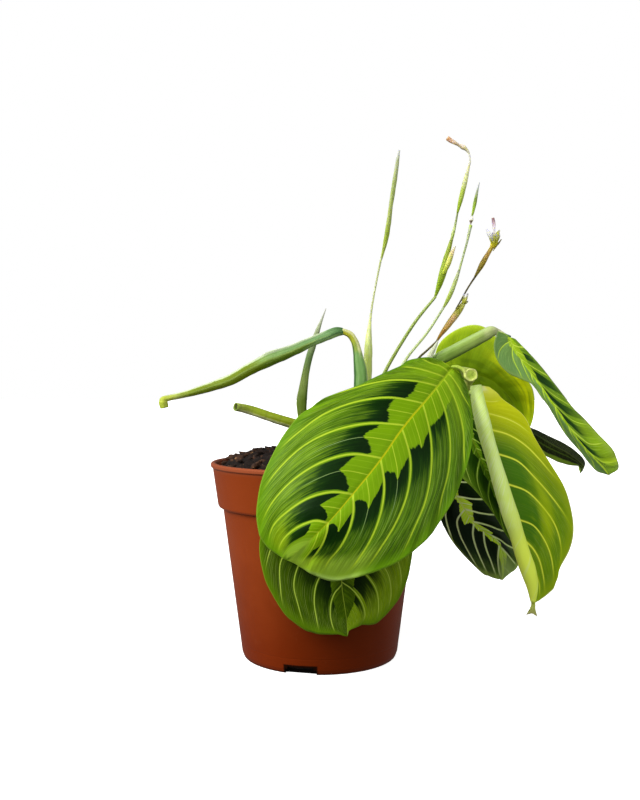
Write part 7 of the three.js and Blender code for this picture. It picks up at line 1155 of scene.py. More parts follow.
M_DARK = leaf_material(
    "blade_dark_low",
    {"feather": {0: ((0.0, 0.1), (0.5, 0.18), (0.9, 0.08)), 1: ((0.0, 0.1), (0.5, 0.2), (0.9, 0.06)), 2: ((0.03, 0.05), (0.5, 0.03), (0.9, 0.1)), 3: ((0.03, 0.1), (0.45, 0.16), (0.7, 0.06), (0.9, 0.04)), 4: ((0.03, 0.04), (0.4, 0.07), (0.9, 0.03)), 5: ((0.03, 0.05), (0.4, 0.12), (0.9, 0.05)),
                 6: ((0.1, 0.3), (0.9, 0.3))}, "dark": {0: (0.05, 0.95, 0.9), 1: (0.05, 0.95, 0.9), 2: (0.05, 0.95, 0.92), 3: (0.04, 0.96, 0.66), 4: (0.04, 0.96, 0.7), 5: (0.04, 0.94, 0.66)}},
    {"feather": {0: ((0.0, 0.1), (0.5, 0.18), (0.9, 0.08)), 1: ((0.0, 0.1), (0.5, 0.2), (0.9, 0.1)), 2: ((0.03, 0.16), (0.35, 0.34), (0.6, 0.26), (0.9, 0.2)), 3: ((0.03, 0.2), (0.4, 0.12), (0.9, 0.05)), 4: ((0.03, 0.06), (0.6, 0.3), (0.9, 0.16)), 5: ((0.03, 0.16), (0.5, 0.2), (0.9, 0.1)),
                 6: ((0.1, 0.3), (0.9, 0.3)), 7: ((0.5, 0.2),)}, "dark": {0: (0.05, 0.95, 0.9), 1: (0.05, 0.95, 0.9), 2: (0.05, 0.95, 0.92), 3: (0.04, 0.96, 0.86), 4: (0.04, 0.96, 0.8), 5: (0.04, 0.9, 0.6)}},
    8.0, green=(72, 100, 28), green2=(98, 128, 50), dark=(13, 30, 10), dark2=(36, 60, 20), lime=(222, 255, 54), lime2=(196, 244, 48), vein=(240, 255, 184), margin=(180, 206, 100), midrib=(224, 250, 110), midrib_base=(224, 250, 120), vein_w=(0.64, 0.44), halo=0.3, base=None, tip=(5.7, 6.9, (176, 204, 112)),
    rough=0.4, spec=0.12, vein_reach=(0.95, 0.76), fray=1.1)


def olive_after(g, col, d):
    P, a = d["P"], d["a"]
    n = g.noise(g.vec(d["U"] * 1.5, P * 0.4, 2.0), 1.0, 2.0, 0.5)
    long_n = g.noise(g.vec(d["U"] * 8.0, P * 0.45, 4.0), 1.0, 2.0, 0.5)
    # painted shade: the middle of the blade darkened, with darker streaks in it, where shade falls
    deep = g.smooth(a + (n - 0.5) * 0.5, 0.74, 0.26) * g.smooth(P, 1.4, 2.8)
    col = g.mix(deep * 0.9, col, (104, 134, 1))
    col = g.mix(g.smooth(long_n, 0.5, 0.66) * deep * 0.45, col, (64, 96, 1))
    # painted light: a yellow glow towards the tip, as of light shining through the blade
    painted_glow = g.smooth(P, 3.0, 5.2) * g.smooth(a, 0.2, 0.7)
    col = g.mix(painted_glow * g.smooth(long_n, 0.34, 0.62).max(0.25) * 0.85, col, (214, 224, 8))
    col = g.mix(g.smooth(a, 0.9, 0.97) * 0.4, col, (168, 196, 50))
    return g.mix(g.smooth(a, 0.975, 0.99) * 0.45, col, (196, 216, 96))


M_OLIVE = leaf_material("blade_back_olive", PLAIN, PLAIN, 9.0, green=(124, 156, 6), green2=(146, 174, 12), lime=(134, 162, 6), lime2=(144, 170, 6), vein=(176, 200, 34), margin=(170, 196, 30), midrib=(170, 190, 30), midrib_base=(180, 200, 60), vein_w=(0.36, 0.2), halo=0.4,
                        vein_amount=0.22, base=None, after=olive_after, rough=0.46, ribs=0.2)
def folded_after(g, col, d):
    P, a = d["P"], d["a"]
    lit = d["on_r"] * g.smooth(a, 0.5, 0.8) * g.smooth(P, 4.2, 5.4)
    col = g.mix(lit * 0.4 * d["vein"].inv(), col, (160, 194, 22))
    return g.mix(d["on_r"] * g.smooth(P + (d["streak"] - 0.5) * 0.2, 6.6, 7.1) * 0.85 * d["vein"].inv(), col, (186, 216, 40))


M_FOLD = leaf_material(
    "blade_folded_right",
    {"feather": {k: ((0.05, 0.1), (0.5, 0.14), (0.95, 0.1)) for k in range(9)}, "dark": {0: (0.1, 0.9, 0.0)}},
    {"feather": {1: ((0.0, 0.3),), 2: ((0.0, 0.3),), 3: ((0.0, 0.26), (0.5, 0.24), (0.9, 0.12)), 4: ((0.0, 0.04), (0.9, 0.04)), 5: ((0.0, 0.03), (0.9, 0.03)), 6: ((0.0, 0.03), (0.9, 0.03)), 7: ((0.0, 0.03), (0.9, 0.03)), 8: ((0.5, 0.0),)},
     "dark": {2: (0.3, 0.7, 0.6), 3: (0.22, 0.72, 0.84), 4: (0.22, 0.72, 0.8), 5: (0.2, 0.74, 0.74), 6: (0.26, 0.72, 0.66), 7: (0.45, 0.6, 0.0)}},
    9.0, green=(94, 132, 60), green2=(114, 150, 78), green_r=(86, 128, 10), green_r2=(122, 160, 28), dark=(22, 58, 10), dark2=(54, 92, 16), lime=(150, 186, 16), lime2=(132, 172, 16), vein=(186, 214, 70), margin=(136, 158, 76), midrib=(176, 206, 50), midrib_base=(170, 200, 56),
    vein_w=(0.34, 0.26), halo=0.9, base=None, phase_slant=(0.73, 0.55, 1.4), phase_map=[(0, 0), (1.1, 1.1), (2.9, 2.9), (3.43, 3.5), (4.0, 4.0), (4.48, 4.5), (4.85, 5.0), (5.21, 5.5), (5.75, 6.0), (6.31, 6.5), (6.9, 7.0), (7.66, 7.26), (9.0, 7.34)],
    # painted reflection: the grey-teal tint over the left flap stands in for sky reflected at a grazing angle
    mid_w=(0.5, 0.3), tint=((0.1, 0.8, 0.3, (84, 124, 74), "L"),), after=folded_after, ribs=0.6, fray=1.4)


def dark_folded_after(g, col, d):
    a = d["a"]
    low = d["on_r"] * g.smooth(a + (d["patch"] - 0.5) * 0.2, 0.62, 0.76)
    col = g.mix(low * 0.85, col, (140, 176, 50))
    col = g.mix(d["on_r"] * g.smooth(a, 0.93, 0.975) * 0.8, col, (170, 188, 110))
    return g.mix(d["on_r"] * g.smooth(abs(a - 0.3 + (d["streak"] - 0.5) * 0.1), 0.07, 0.02) * 0.6, col, (92, 120, 36))


M_DFOLD = leaf_material("blade_dark_folded", PLAIN, PLAIN, 7.0, green=(22, 30, 9), green2=(38, 48, 16), lime=(40, 54, 14), lime2=(34, 48, 12), vein=(54, 66, 24), margin=(44, 54, 20), midrib=(62, 76, 30), midrib_base=(60, 76, 34), vein_w=(0.3, 0.16), halo=0.3, vein_amount=0.7, base=None, rough=0.42,
                        spec=0.12, after=dark_folded_after)

blades = [
    ("leaf_front", M_FRONT, UNDER, dict(n=260, m=46, wave=0.35, quilt=0.42, groove=0.5, ripple=0.8), 1.3),
    ("leaf_low", M_LOW, UNDER, dict(n=190, m=36, wave=0.3, seed=5, quilt=0.3), 1.1),
    ("leaf_between", M_BETWEEN, UNDER, dict(n=120, m=24, wave=0.2, seed=9, quilt=0.25), 0.9),
    ("leaf_dark_low", M_DARK, UNDER_DARK, dict(n=130, m=26, wave=0.3, seed=12), 0.9),
    ("leaf_back_olive", M_OLIVE, UNDER, dict(n=130, m=28, wave=0.4, seed=15), 1.0),
    ("leaf_folded_right", M_FOLD, UNDER, dict(n=180, m=24, wave=0.3, seed=18, quilt=0.3, groove=0.2), 0),
    ("leaf_dark_folded", M_DFOLD, UNDER_DARK, dict(n=100, m=18, wave=0.15, seed=21, quilt=0.2, groove=0.2), 0),
]
M_RIB = stem_material("skin_midrib_under", [(0.0, (150, 176, 92)), (1.0, (124, 156, 74))], rough=0.5)
for node, upper, lower, shape, rib in blades:
    ob, line, up = leaf_object(node + "_blade", LEAVES[node], [upper, lower], **shape)
    place(ob, node)
    if rib:
        # the midrib stands proud of the underside
        k = np.linspace(0, int(len(line) * 0.86), 22).astype(int)
        w = np.linspace(rib, 0.5, len(k))
        path = [[*(line[i] - up[i] * (0.16 + w[j] * 0.3)), w[j]] for j, i in enumerate(k)]
        place(tube(node + "_midrib", path, M_RIB, sides=12, step=3, wobble=0.03, seed=3), node)
place(rolled_leaf("leaf_half_rolled_blade", LEAVES["leaf_half_rolled"], ROLL, [M_HALF, UNDER_ROLL]), "leaf_half_rolled")

# ================================================================ stems
def slot_of(node):
    return next(s["material_slot"] for s in frame["record"]["subparts"] if s["node"] == node)


def grooved(depth=0.16, at=-math.pi / 2, width=0.5):
    """A channel down one side of a petiole."""
    return lambda ang, t: 1 - depth * np.exp(-((np.angle(np.exp(1j * (ang - at))) / width) ** 2))


def keeled(k=0.16, at=0.6, sharp=0.35):
    """A folded sheath: one raised edge where it overlaps."""
    return lambda ang, t: 1 + k * np.exp(-((np.angle(np.exp(1j * (ang - at - t * 1.2))) / sharp) ** 2)) - 0.06 * np.cos(2 * ang)


STEM_LOOK = {  # colours along each stem from its first point down
    # petiole_front: pale and bright over its middle, painted light where it lies in shade
    "petiole_front": [(0.0, (150, 172, 84)), (0.1, (178, 192, 96)), (0.3, (206, 216, 110)), (0.56, (222, 232, 120)), (0.72, (128, 158, 60)), (1.0, (110, 144, 50))],
    # petiole_right: pale and bright at its top end, painted light where it lies in shade
    "petiole_low": [(0.0, (150, 172, 70)), (1.0, (116, 148, 56))], "petiole_right": [(0.0, (226, 234, 130)), (0.12, (200, 214, 110)), (0.3, (132, 160, 66)), (1.0, (110, 144, 54))],
    "petiole_between": [(0.0, (130, 160, 66)), (1.0, (104, 140, 50))], "petiole_dark_low": [(0.0, (100, 132, 56)), (1.0, (84, 120, 44))],
    "petiole_olive": [(0.0, (142, 168, 60)), (1.0, (118, 150, 50))], "petiole_dark_folded": [(0.0, (70, 92, 36)), (1.0, (74, 108, 40))],
    "petiole_folded": [(0.0, (70, 108, 56)), (0.045, (84, 122, 60)), (0.075, (198, 198, 160)), (0.13, (178, 192, 124)), (0.2, (150, 176, 86)), (0.34, (128, 160, 68)), (0.5, (116, 150, 64)), (0.7, (100, 138, 54)), (1.0, (104, 142, 56))],
    "petiole_furled": [(0.0, (120, 136, 34)), (0.035, (190, 190, 50)), (0.1, (180, 188, 50)), (0.16, (150, 172, 70)), (0.24, (112, 154, 84)), (0.6, (94, 140, 56)), (1.0, (88, 126, 50))],
    "petiole_new": [(0.0, (154, 178, 80)), (1.0, (150, 172, 80))],
    "flower_stalk_1": [(0.0, (176, 186, 140)), (0.25, (186, 194, 150)), (0.35, (214, 224, 160)), (0.55, (206, 222, 128)), (0.75, (222, 232, 150)), (1.0, (214, 226, 126))], "flower_stalk_2": [(0.0, (150, 168, 100)), (0.3, (136, 154, 80)), (1.0, (136, 158, 64))],
    "flower_stalk_3": [(0.0, (168, 184, 140)), (0.5, (176, 190, 144)), (1.0, (154, 172, 100))], "flower_stalk_4": [(0.0, (84, 76, 40)), (0.4, (70, 74, 44)), (1.0, (104, 124, 60))],
    "flower_stalk_2_top": [(0.0, (150, 166, 84)), (0.35, (184, 200, 136)), (0.7, (140, 154, 104)), (1.0, (120, 132, 84))], "flower_stalk_3_top": [(0.0, (168, 184, 130)), (0.5, (158, 172, 134)), (0.92, (176, 188, 150)), (1.0, (150, 180, 60))],
    "flower_stalk_4_top": [(0.0, (64, 66, 40)), (1.0, (80, 72, 44))],
}
STEM_FACETS = {
    "petiole_furled": [(0.5, 0.1, (186, 204, 150), 0.7, 0.2, 1.0), (0.99, 0.1, (52, 92, 44), 0.8, 0.14, 1.0), (0.52, 0.2, (222, 224, 160), 0.8, 0.0, 0.2)],
    # petiole_folded: a lighter stripe down one side as painted light, a darker stripe down the other as painted shade
    "petiole_folded": [(0.0, 0.1, (170, 196, 130), 0.5, 0.1, 0.5), (0.5, 0.14, (78, 112, 56), 0.5, 0.1, 0.6)],
    "flower_stalk_1": [(0.5, 0.1, (206, 216, 160), 0.5, 0.4, 1.0)],
}
for node, stops in STEM_LOOK.items():
    mat = stem_material("skin_" + node, stops, STEM_FACETS.get(node, ()), speck=(0.25, (140, 104, 60), 2.2) if node == "petiole_front" else None)
    thin = node.startswith("flower")
    path = [list(p) for p in STEMS[node]]
    if node == "petiole_furled":
        for p, w in zip(path, (3.0, 3.4, 3.7, 4.5)):
            p[3] = w
    if thin:
        for p in path:
            p[3] *= 1.14
    place(tube(node + "_skin", path, mat, sides=14 if thin else 24, step=7, section=None if thin else grooved(0.14), wobble=0.05 if not thin else 0.04, seed=len(node), extend=(0.7, 1.2)), node)

# the curled end of the front leaf's stalk: a small disc with a thick pale rim
def disc(name, mat, centre, radius, thick, face, seed=0):
    n = np.array(face, float)
    n /= np.linalg.norm(n)
    a = np.cross(n, [0, 0, 1.0])
    a /= np.linalg.norm(a)
    b = np.cross(n, a)
    prof = [(0.0, 0.34), (0.3, 0.3), (0.55, 0.32), (0.72, 0.42), (0.86, 0.52), (0.96, 0.42), (1.0, 0.1), (0.97, -0.35), (0.84, -0.6), (0.5, -0.7), (0.0, -0.72)]
    pr = crv(prof, np.linspace(0, len(prof) - 1, 41))
    ang = np.linspace(0, 2 * np.pi, 48, endpoint=False)
    wob = 1 + 0.05 * np.sin(2 * ang + seed) + 0.03 * np.sin(5 * ang + 1.0)
    r = pr[1:-1, 0][:, None] * radius * wob[None, :]
    h = pr[1:-1, 1][:, None] * thick * (1 + 0.12 * np.sin(3 * ang + seed))[None, :]
    G = np.array(centre) + r[..., None] * (np.cos(ang)[None, :, None] * a + np.sin(ang)[None, :, None] * b) + h[..., None] * n
    k = len(ang)
    V = np.concatenate([G.reshape(-1, 3), [np.array(centre) + n * pr[0, 1] * thick, np.array(centre) + n * pr[-1, 1] * thick]])
    R, C = np.meshgrid(np.arange(len(G) - 1), np.arange(k), indexing="ij")
    C2 = (C + 1) % k
    q = np.stack([(R * k + C).ravel(), ((R + 1) * k + C).ravel(), ((R + 1) * k + C2).ravel(), (R * k + C2).ravel()], 1)
    i = np.arange(k)
    i2 = (i + 1) % k
    t = np.concatenate([np.stack([np.full(k, len(V) - 2), i, i2], 1), np.stack([np.full(k, len(V) - 1), (len(G) - 1) * k + i2, (len(G) - 1) * k + i], 1)])
    # the u of the Stem layer is the distance from the middle
    rad = pr[1:-1, 0]
    u0, u1 = rad[R.ravel()], rad[R.ravel() + 1]
    f0, f1 = C.ravel() / k, (C.ravel() + 1) / k
    uq = np.stack([np.stack([u0, f0], 1), np.stack([u1, f0], 1), np.stack([u1, f1], 1), np.stack([u0, f1], 1)], 1).reshape(-1, 2)
    z = np.zeros(k)
    ut = np.stack([np.stack([z, i / k], 1), np.stack([z + 0.05, i / k], 1), np.stack([z + 0.05, (i + 1) / k], 1)], 1).reshape(-1, 2)
    uv = np.concatenate([uq, ut, ut])
    # outward faces
    p = V[q[len(q) // 2]]
    if np.cross(p[1] - p[0], p[3] - p[0]) @ (p[0] - np.array(centre)) < 0:
        q, t = q[:, ::-1], t[:, ::-1]
        uv = np.concatenate([uv[:len(q) * 4].reshape(-1, 4, 2)[:, ::-1].reshape(-1, 2), uv[len(q) * 4:].reshape(-1, 3, 2)[:, ::-1].reshape(-1, 2)])
    return new_mesh(name, V, q, t, {"Stem": uv}, [mat])


M_KNOB = stem_material("skin_stalk_knob", [(0.0, (156, 184, 60)), (0.5, (168, 192, 70)), (0.8, (206, 218, 112)), (0.92, (222, 230, 140)), (1.0, (176, 190, 80))], speck=(0.9, (110, 74, 30), 1.7), mottle=0.35, rough=0.5)
place(disc("petiole_front_knob", M_KNOB, (68.9, -38.0, 138.2), 3.15, 1.7, (0.25, -1.0, 0.15), 1.0), "petiole_front")
place(tube("petiole_front_arc", [[60.2, -37.6, 142.0, 1.2], [62.4, -38.2, 142.0, 1.5], [64.4, -38.6, 141.2, 1.7], [65.9, -38.8, 139.8, 1.6], [66.4, -38.6, 138.0, 1.3]], M_KNOB, sides=16, step=6, wobble=0.05, seed=2), "petiole_front")

M_FURL = stem_material("skin_leaf_furled_long", [(0.0, (78, 120, 66)), (0.1, (112, 154, 96)), (0.3, (122, 160, 92)), (0.55, (136, 168, 76)), (0.72, (160, 182, 84)), (0.9, (182, 196, 96)), (0.95, (186, 198, 66)), (1.0, (170, 186, 60))],
                       [(0.57, 0.19, (98, 126, 8), 0.88, 0.2, 0.52), (0.56, 0.31, (114, 134, 5), 0.9, 0.48, 0.86), (0.56, 0.13, (170, 206, 130), 0.75, 0.03, 0.2), (0.99, 0.1, (206, 218, 182), 0.85, 0.12, 0.92), (0.9, 0.01, (64, 104, 40), 0.5, 0.12, 0.4), (0.76, 0.01, (150, 176, 90), 0.6, 0.1, 0.8)], fibre=0.5)


def furled(ang, t):
    """The edge of the outermost turn stands up as a ridge and stops part way."""
    off = np.angle(np.exp(1j * (ang + 0.35)))
    ridge = 0.2 * (1 - smoothstep(np.array(t), 0.41, 0.445)) + 0.06
    corner = 0.1 * np.exp(-((np.angle(np.exp(1j * (ang + 1.65))) / 0.4) ** 2))
    return 1 + ridge * np.exp(-((off / 0.42) ** 2)) + corner - 0.05 * np.cos(2 * ang)


furl_path = [list(p) for p in STEMS["leaf_furled_long"]]
for i, w in ((0, 3.5), (1, 4.6), (11, 3.3), (12, 4.5), (13, 4.2)):
    furl_path[i][3] = w
place(tube("leaf_furled_long_roll", furl_path, M_FURL, sides=64, step=12, flat=0.72, section=furled, wobble=0.05, seed=3, extend=(0.8, 0)), "leaf_furled_long")
M_NEW = stem_material("skin_leaf_new_rolled", [(0.0, (116, 140, 50)), (0.05, (204, 214, 110)), (0.3, (186, 200, 66)), (0.6, (196, 208, 66)), (1.0, (162, 178, 24))], [(0.58, 0.2, (122, 142, 8), 0.8, 0.05, 1.0), (0.96, 0.15, (218, 228, 160), 0.8, 0.05, 1.0)], rings=40.0)
new_path = [list(p) for p in STEMS["leaf_new_rolled"]]
new_path[0][1] -= 2.6
for p in new_path:
    p[3] *= 1.14
place(tube("leaf_new_roll", new_path, M_NEW, sides=36, step=9, section=keeled(0.12, 1.2, 0.2), wobble=0.05, seed=4, hollow=5.0, round_ends=(0, 0.5)), "leaf_new_rolled")
# painted shade: a near-black plug inside the open end of the rolled new leaf, where shade falls into the hollow
M_HOLE = stem_material("skin_new_leaf_inside", [(0.0, (60, 66, 24)), (1.0, (26, 30, 10))])
hole = [np.array(new_path[0][:3]), np.array(new_path[1][:3])]
hd = (hole[1] - hole[0]) / np.linalg.norm(hole[1] - hole[0])
place(tube("leaf_new_inside", [[*(hole[0] + hd * 0.5), 2.5], [*(hole[0] + hd * 1.4), 2.5], [*(hole[0] + hd * 2.4), 2.3]], M_HOLE, sides=20, step=3, wobble=0.05), "leaf_new_rolled")
M_SPIKE = stem_material("skin_leaf_spike", [(0.0, (190, 192, 176)), (0.2, (156, 170, 126)), (0.36, (100, 130, 70)), (0.5, (132, 154, 74)), (0.66, (92, 116, 24)), (0.85, (80, 102, 6)), (1.0, (70, 92, 5))], [(0.0, 0.07, (196, 210, 150), 0.6, 0.4, 1.0), (0.55, 0.1, (56, 84, 22), 0.55, 0.55, 1.0)])
place(tube("leaf_spike_roll", STEMS["leaf_spike"], M_SPIKE, sides=32, step=7, flat=0.7, section=keeled(0.2, -1.2, 0.25), wobble=0.04, seed=5), "leaf_spike")

BRACT_LOOK = {
    "bract_1": ([(0.0, (196, 200, 196)), (0.12, (170, 178, 144)), (0.35, (160, 174, 104)), (0.55, (164, 176, 110)), (0.8, (150, 170, 60)), (1.0, (160, 174, 90))], []),
    "bract_2_lower": ([(0.0, (140, 158, 60)), (0.15, (128, 156, 16)), (0.6, (150, 168, 56)), (1.0, (146, 160, 70))], [(0.5, 0.1, (132, 164, 14), 0.6, 0.0, 1.0), (0.98, 0.07, (214, 222, 150), 0.6, 0.2, 1.0)]),
    "bract_2_tip": ([(0.0, (176, 194, 64)), (0.5, (196, 198, 104)), (0.8, (214, 194, 156)), (1.0, (224, 214, 196))], []),
    "bract_2_upper": ([(0.0, (144, 162, 70)), (0.1, (144, 170, 36)), (0.4, (166, 184, 80)), (0.65, (200, 206, 150)), (1.0, (214, 210, 176))], [(0.98, 0.08, (220, 224, 180), 0.5, 0.1, 1.0)]),
    "bract_3_lower": ([(0.0, (150, 164, 100)), (0.25, (150, 170, 70)), (0.6, (168, 182, 120)), (1.0, (168, 178, 144))], [(0.98, 0.08, (206, 216, 170), 0.5, 0.1, 0.9)]),
    "bract_3_upper": ([(0.0, (150, 170, 90)), (0.2, (142, 172, 50)), (0.5, (130, 152, 70)), (0.75, (150, 160, 140)), (1.0, (190, 196, 196))], []),
    "bract_4_lower": ([(0.0, (110, 92, 44)), (0.15, (160, 120, 50)), (0.35, (180, 148, 84)), (0.5, (200, 170, 126)), (0.65, (164, 166, 64)), (0.82, (196, 198, 116)), (1.0, (214, 212, 170))], [(0.98, 0.1, (214, 196, 150), 0.6, 0.2, 0.9), (0.52, 0.1, (120, 116, 20), 0.7, 0.1, 0.85)]),
    "bract_4_upper": ([(0.0, (100, 92, 44)), (0.2, (124, 112, 36)), (0.5, (144, 128, 40)), (0.8, (172, 142, 80)), (1.0, (176, 156, 50))], [(0.98, 0.08, (206, 176, 96), 0.6, 0.1, 0.9), (0.52, 0.1, (96, 76, 14), 0.6, 0.1, 0.9)]),
    "bract_thorn": ([(0.0, (130, 124, 40)), (1.0, (86, 74, 44))], []),
    "flower_calyx": ([(0.0, (186, 166, 46)), (0.3, (206, 204, 40)), (0.7, (222, 228, 100)), (1.0, (232, 236, 170))], []),
    "sheath_pale": ([(0.0, (222, 228, 204)), (0.5, (214, 222, 186)), (1.0, (196, 208, 160))], []),
    "flower_withered": ([(0.0, (214, 216, 170)), (0.2, (232, 230, 206)), (0.4, (224, 214, 170)), (0.55, (238, 216, 190)), (0.75, (232, 200, 174)), (1.0, (214, 166, 136))], []),
    "flower_white": ([(0.0, (226, 222, 206)), (0.5, (120, 106, 92)), (0.7, (240, 238, 232)), (1.0, (236, 234, 226))], []),
    "flower_petals": ([(0.0, (226, 228, 170)), (0.5, (244, 244, 234)), (1.0, (246, 246, 242))], []),
    "flower_purple": ([(0.0, (236, 226, 206)), (0.35, (238, 224, 228)), (0.65, (214, 186, 200)), (0.85, (160, 128, 140)), (1.0, (140, 104, 112))], []),
}
for node, (stops, facets) in BRACT_LOOK.items():
    mat = stem_material("skin_" + node, stops, facets, rough=0.52, mottle=0.4 if node.startswith("bract_4") else 0.1, fibre=0.25)
    flat = 0.7 if node.startswith("bract_") or node in ("flower_calyx", "sheath_pale") else 0.9
    path = [list(p) for p in STEMS[node]]
    rough_it = 0.08
    if node == "bract_2_tip":
        # it opens from the side of the bract below it
        for p, dx, w in zip(path, (-1.8, -1.3, -0.9, -0.3), (1.8, 2.6, 2.2, 0.8)):
            p[0] += dx
            p[3] = w
    if node == "bract_1":
        for p, w in zip(path, (0.9, 1.8, 2.3, 2.4, 2.2, 2.4, 2.4)):
            p[3] = w
    if node == "bract_thorn":
        path.insert(0, [88.0, 8.2, 201.5, 0.6])
        for p in path:
            p[0] -= 0.35
            p[3] *= 0.8
    if node == "flower_withered":
        rough_it = 0.3
        for i, w in enumerate((0.9, 1.0, 1.3, 2.1, 1.2, 2.1, 1.9)):
            path[i][3] = w
    place(tube(node + "_skin", path, mat, sides=24, step=9, flat=flat, section=keeled(0.22, 2.0, 0.3), wobble=rough_it, seed=len(node), extend=(0.5, 0.35)), node)

# the dried fork at the rolled leaf's tip
M_TIP = stem_material("skin_leaf_tip_dried", [(0.0, (196, 210, 50)), (0.5, (176, 190, 90)), (1.0, (160, 160, 90))], rough=0.6)


def small_sheet(name, rows, mat, thickness=0.3, n=24, m=10, curl=0.0, seed=0, ripple=0.0):
    A = np.array(rows, float)
    s = np.linspace(0, len(A) - 1, n)
    R = crv(A, s)
    u = np.linspace(0, 1, m) * (A.shape[1] - 1)
    G = np.stack([crv(r, u) for r in R])
    N = grid_normals(G)
    if ripple:
        jj, ii = np.meshgrid(np.arange(m), np.arange(n))
        G = G + N * (ripple * noise2(ii * 0.35, jj * 0.45, seed))[..., None]
    tt, uu = np.meshgrid(np.linspace(0, 1, n), np.linspace(0, 1, m), indexing="ij")
    uv = corners(np.stack([tt, uu], -1)).reshape(-1, 4, 2)
    return shell(name, G, {"UVMap": uv, "Stem": uv}, [mat, mat], thickness)


tail = [[list(p) for p in row] for row in TAIL]
tail.insert(0, [[100.9, -20.9, 31.6], [101.8, -20.7, 31.8], [102.5, -20.9, 31.6]])
place(small_sheet("leaf_tip_dried_fork", tail, M_TIP, 0.35, ripple=0.25, seed=4), "leaf_tip_dried")
M_SEPAL = stem_material("skin_sepals", [(0.0, (206, 204, 50)), (0.45, (216, 220, 100)), (0.8, (240, 236, 206)), (1.0, (216, 200, 170))], rough=0.5, mottle=0.05, fibre=0.15)
for k, rows in enumerate(SEPALS):
    place(small_sheet("flower_sepal_%d" % (k + 1), rows, M_SEPAL, 0.22, n=18, m=8, ripple=0.12, seed=k), "flower_calyx")
for k, rows in enumerate(BRACT_TIPS):
    place(small_sheet("bract_4_chaff_%d" % (k + 1), rows, M_SEPAL, 0.22, n=18, m=8, ripple=0.15, seed=9 + k), "bract_4_lower")

# ================================================================ pot
def lathe(name, profile, seg, mat):
    prof = np.array(profile, float)
    ang = np.linspace(0, 2 * np.pi, seg, endpoint=False)
    inner = prof[1:-1]
    V = np.concatenate([[[0, 0, prof[0, 1]]], np.concatenate([np.stack([r * np.cos(ang), r * np.sin(ang), np.full(seg, z)], 1) for r, z in inner]), [[0, 0, prof[-1, 1]]]])
    k = np.arange(seg)
    k2 = (k + 1) % seg
    quads = np.concatenate([np.stack([1 + i * seg + k, 1 + i * seg + k2, 1 + (i + 1) * seg + k2, 1 + (i + 1) * seg + k], 1) for i in range(len(inner) - 1)])
    last = len(V) - 1
    o = 1 + (len(inner) - 1) * seg
    tris = np.concatenate([np.stack([np.zeros(seg, int), k2 + 1, k + 1], 1), np.stack([np.full(seg, last), o + k, o + k2], 1)])
    return new_mesh(name, V, quads, tris, None, [mat])


def rounded(points, seg=5):
    """Round each corner of a profile given as (r, z, radius)."""
    out = []
    P = [np.array(p[:2], float) for p in points]
    for i, p in enumerate(points):
        rad = p[2] if len(p) > 2 else 0
        if rad == 0 or i in (0, len(points) - 1):
            out.append(P[i])
            continue
        a, b = P[i - 1] - P[i], P[i + 1] - P[i]
        la, lb = np.linalg.norm(a), np.linalg.norm(b)
        a, b = a / la, b / lb
        half = math.acos(np.clip(a @ b, -1, 1)) / 2
        d = min(rad / math.tan(half), la * 0.45, lb * 0.45)
        p0, p1 = P[i] + a * d, P[i] + b * d
        for k in range(seg + 1):
            t = k / seg
            out.append((1 - t) ** 2 * p0 + 2 * t * (1 - t) * P[i] + t * t * p1)
    return out


def pot_r(z):
    return 38.3 + (48.0 - 38.3) * z / 74.2


def pot_material():
    g = Graph("pot_plastic_skin")
    v = g.coords()
    x, y, z = g.split(v)
    big = g.noise(v, 0.045, 3.0, 0.6)
    fine = g.noise(v, 1.7, 3.0, 0.6)
    grain = g.noise(v, 6.0, 2.0, 0.6)
    up = g.noise(g.vec(x * 0.5, y * 0.5, z * 0.02), 1.0, 2.0, 0.6)
    col = g.mix(big, (126, 50, 15), (140, 59, 21))
    col = g.mix(g.smooth(fine, 0.5, 0.8) * 0.2, col, (150, 70, 30))
    col = g.mix(g.smooth(up, 0.55, 0.8) * 0.12, col, (98, 34, 8))
    # painted shade: the pot darker towards the bottom, where less light reaches it
    col = g.mix(g.smooth(z + (big - 0.5) * 30.0, 60.0, 2.0) * 0.75, col, (98, 28, 1))
    # painted highlight: a lighter band along the top of the rim, where light catches it
    col = g.mix(g.smooth(z, 91.0, 94.5) * 0.45, col, (156, 88, 60))
    # painted shadow: the bottom edge darkened where the pot meets the floor
    col = g.mix(g.smooth(z, 1.5, 0.3) * 0.8, col, (46, 14, 4))
    # painted shade: the right and front of the pot darker below the rim, away from the light from the left, eased at
    # the far right edge as painted reflected light
    col = g.mix(g.smooth(x - y * 0.5 + (big - 0.5) * 8.0, -14.0, 30.0) * g.smooth(z, 76.0, 60.0) * g.smooth(x, 44.0, 26.0).max(0.25) * 0.6, col, (76, 22, 1))
    # painted shade: near-black round the openings of the drain slots, where shade falls into them
    for deg in (256.3, 16.3, 136.3):
        c, s_ = math.cos(math.radians(deg)), math.sin(math.radians(deg))
        out, side = x * c + y * s_, abs(y * c - x * s_)
        col = g.mix(out.gt(0.0) * g.smooth(side, 8.5, 7.7) * g.smooth(z, 4.8, 4.2) * 0.96, col, (6, 2, 1))
    dust = g.noise(v, 0.12, 4.0, 0.7)
    col = g.mix(g.smooth(dust, 0.62, 0.8) * 0.12, col, (176, 110, 76))
    rough = 0.42 + (fine - 0.5) * 0.16 + g.smooth(dust, 0.55, 0.8) * 0.15
    ring = (z * 2.4 + (big - 0.5) * 1.2).sin()
    return g.finish(col, rough, g.bump(grain * 0.35 + fine * 0.25 + ring * 0.04, 0.3, 0.00025), 0.14, Specular_Tint=(1.0, 0.5, 0.3, 1.0))


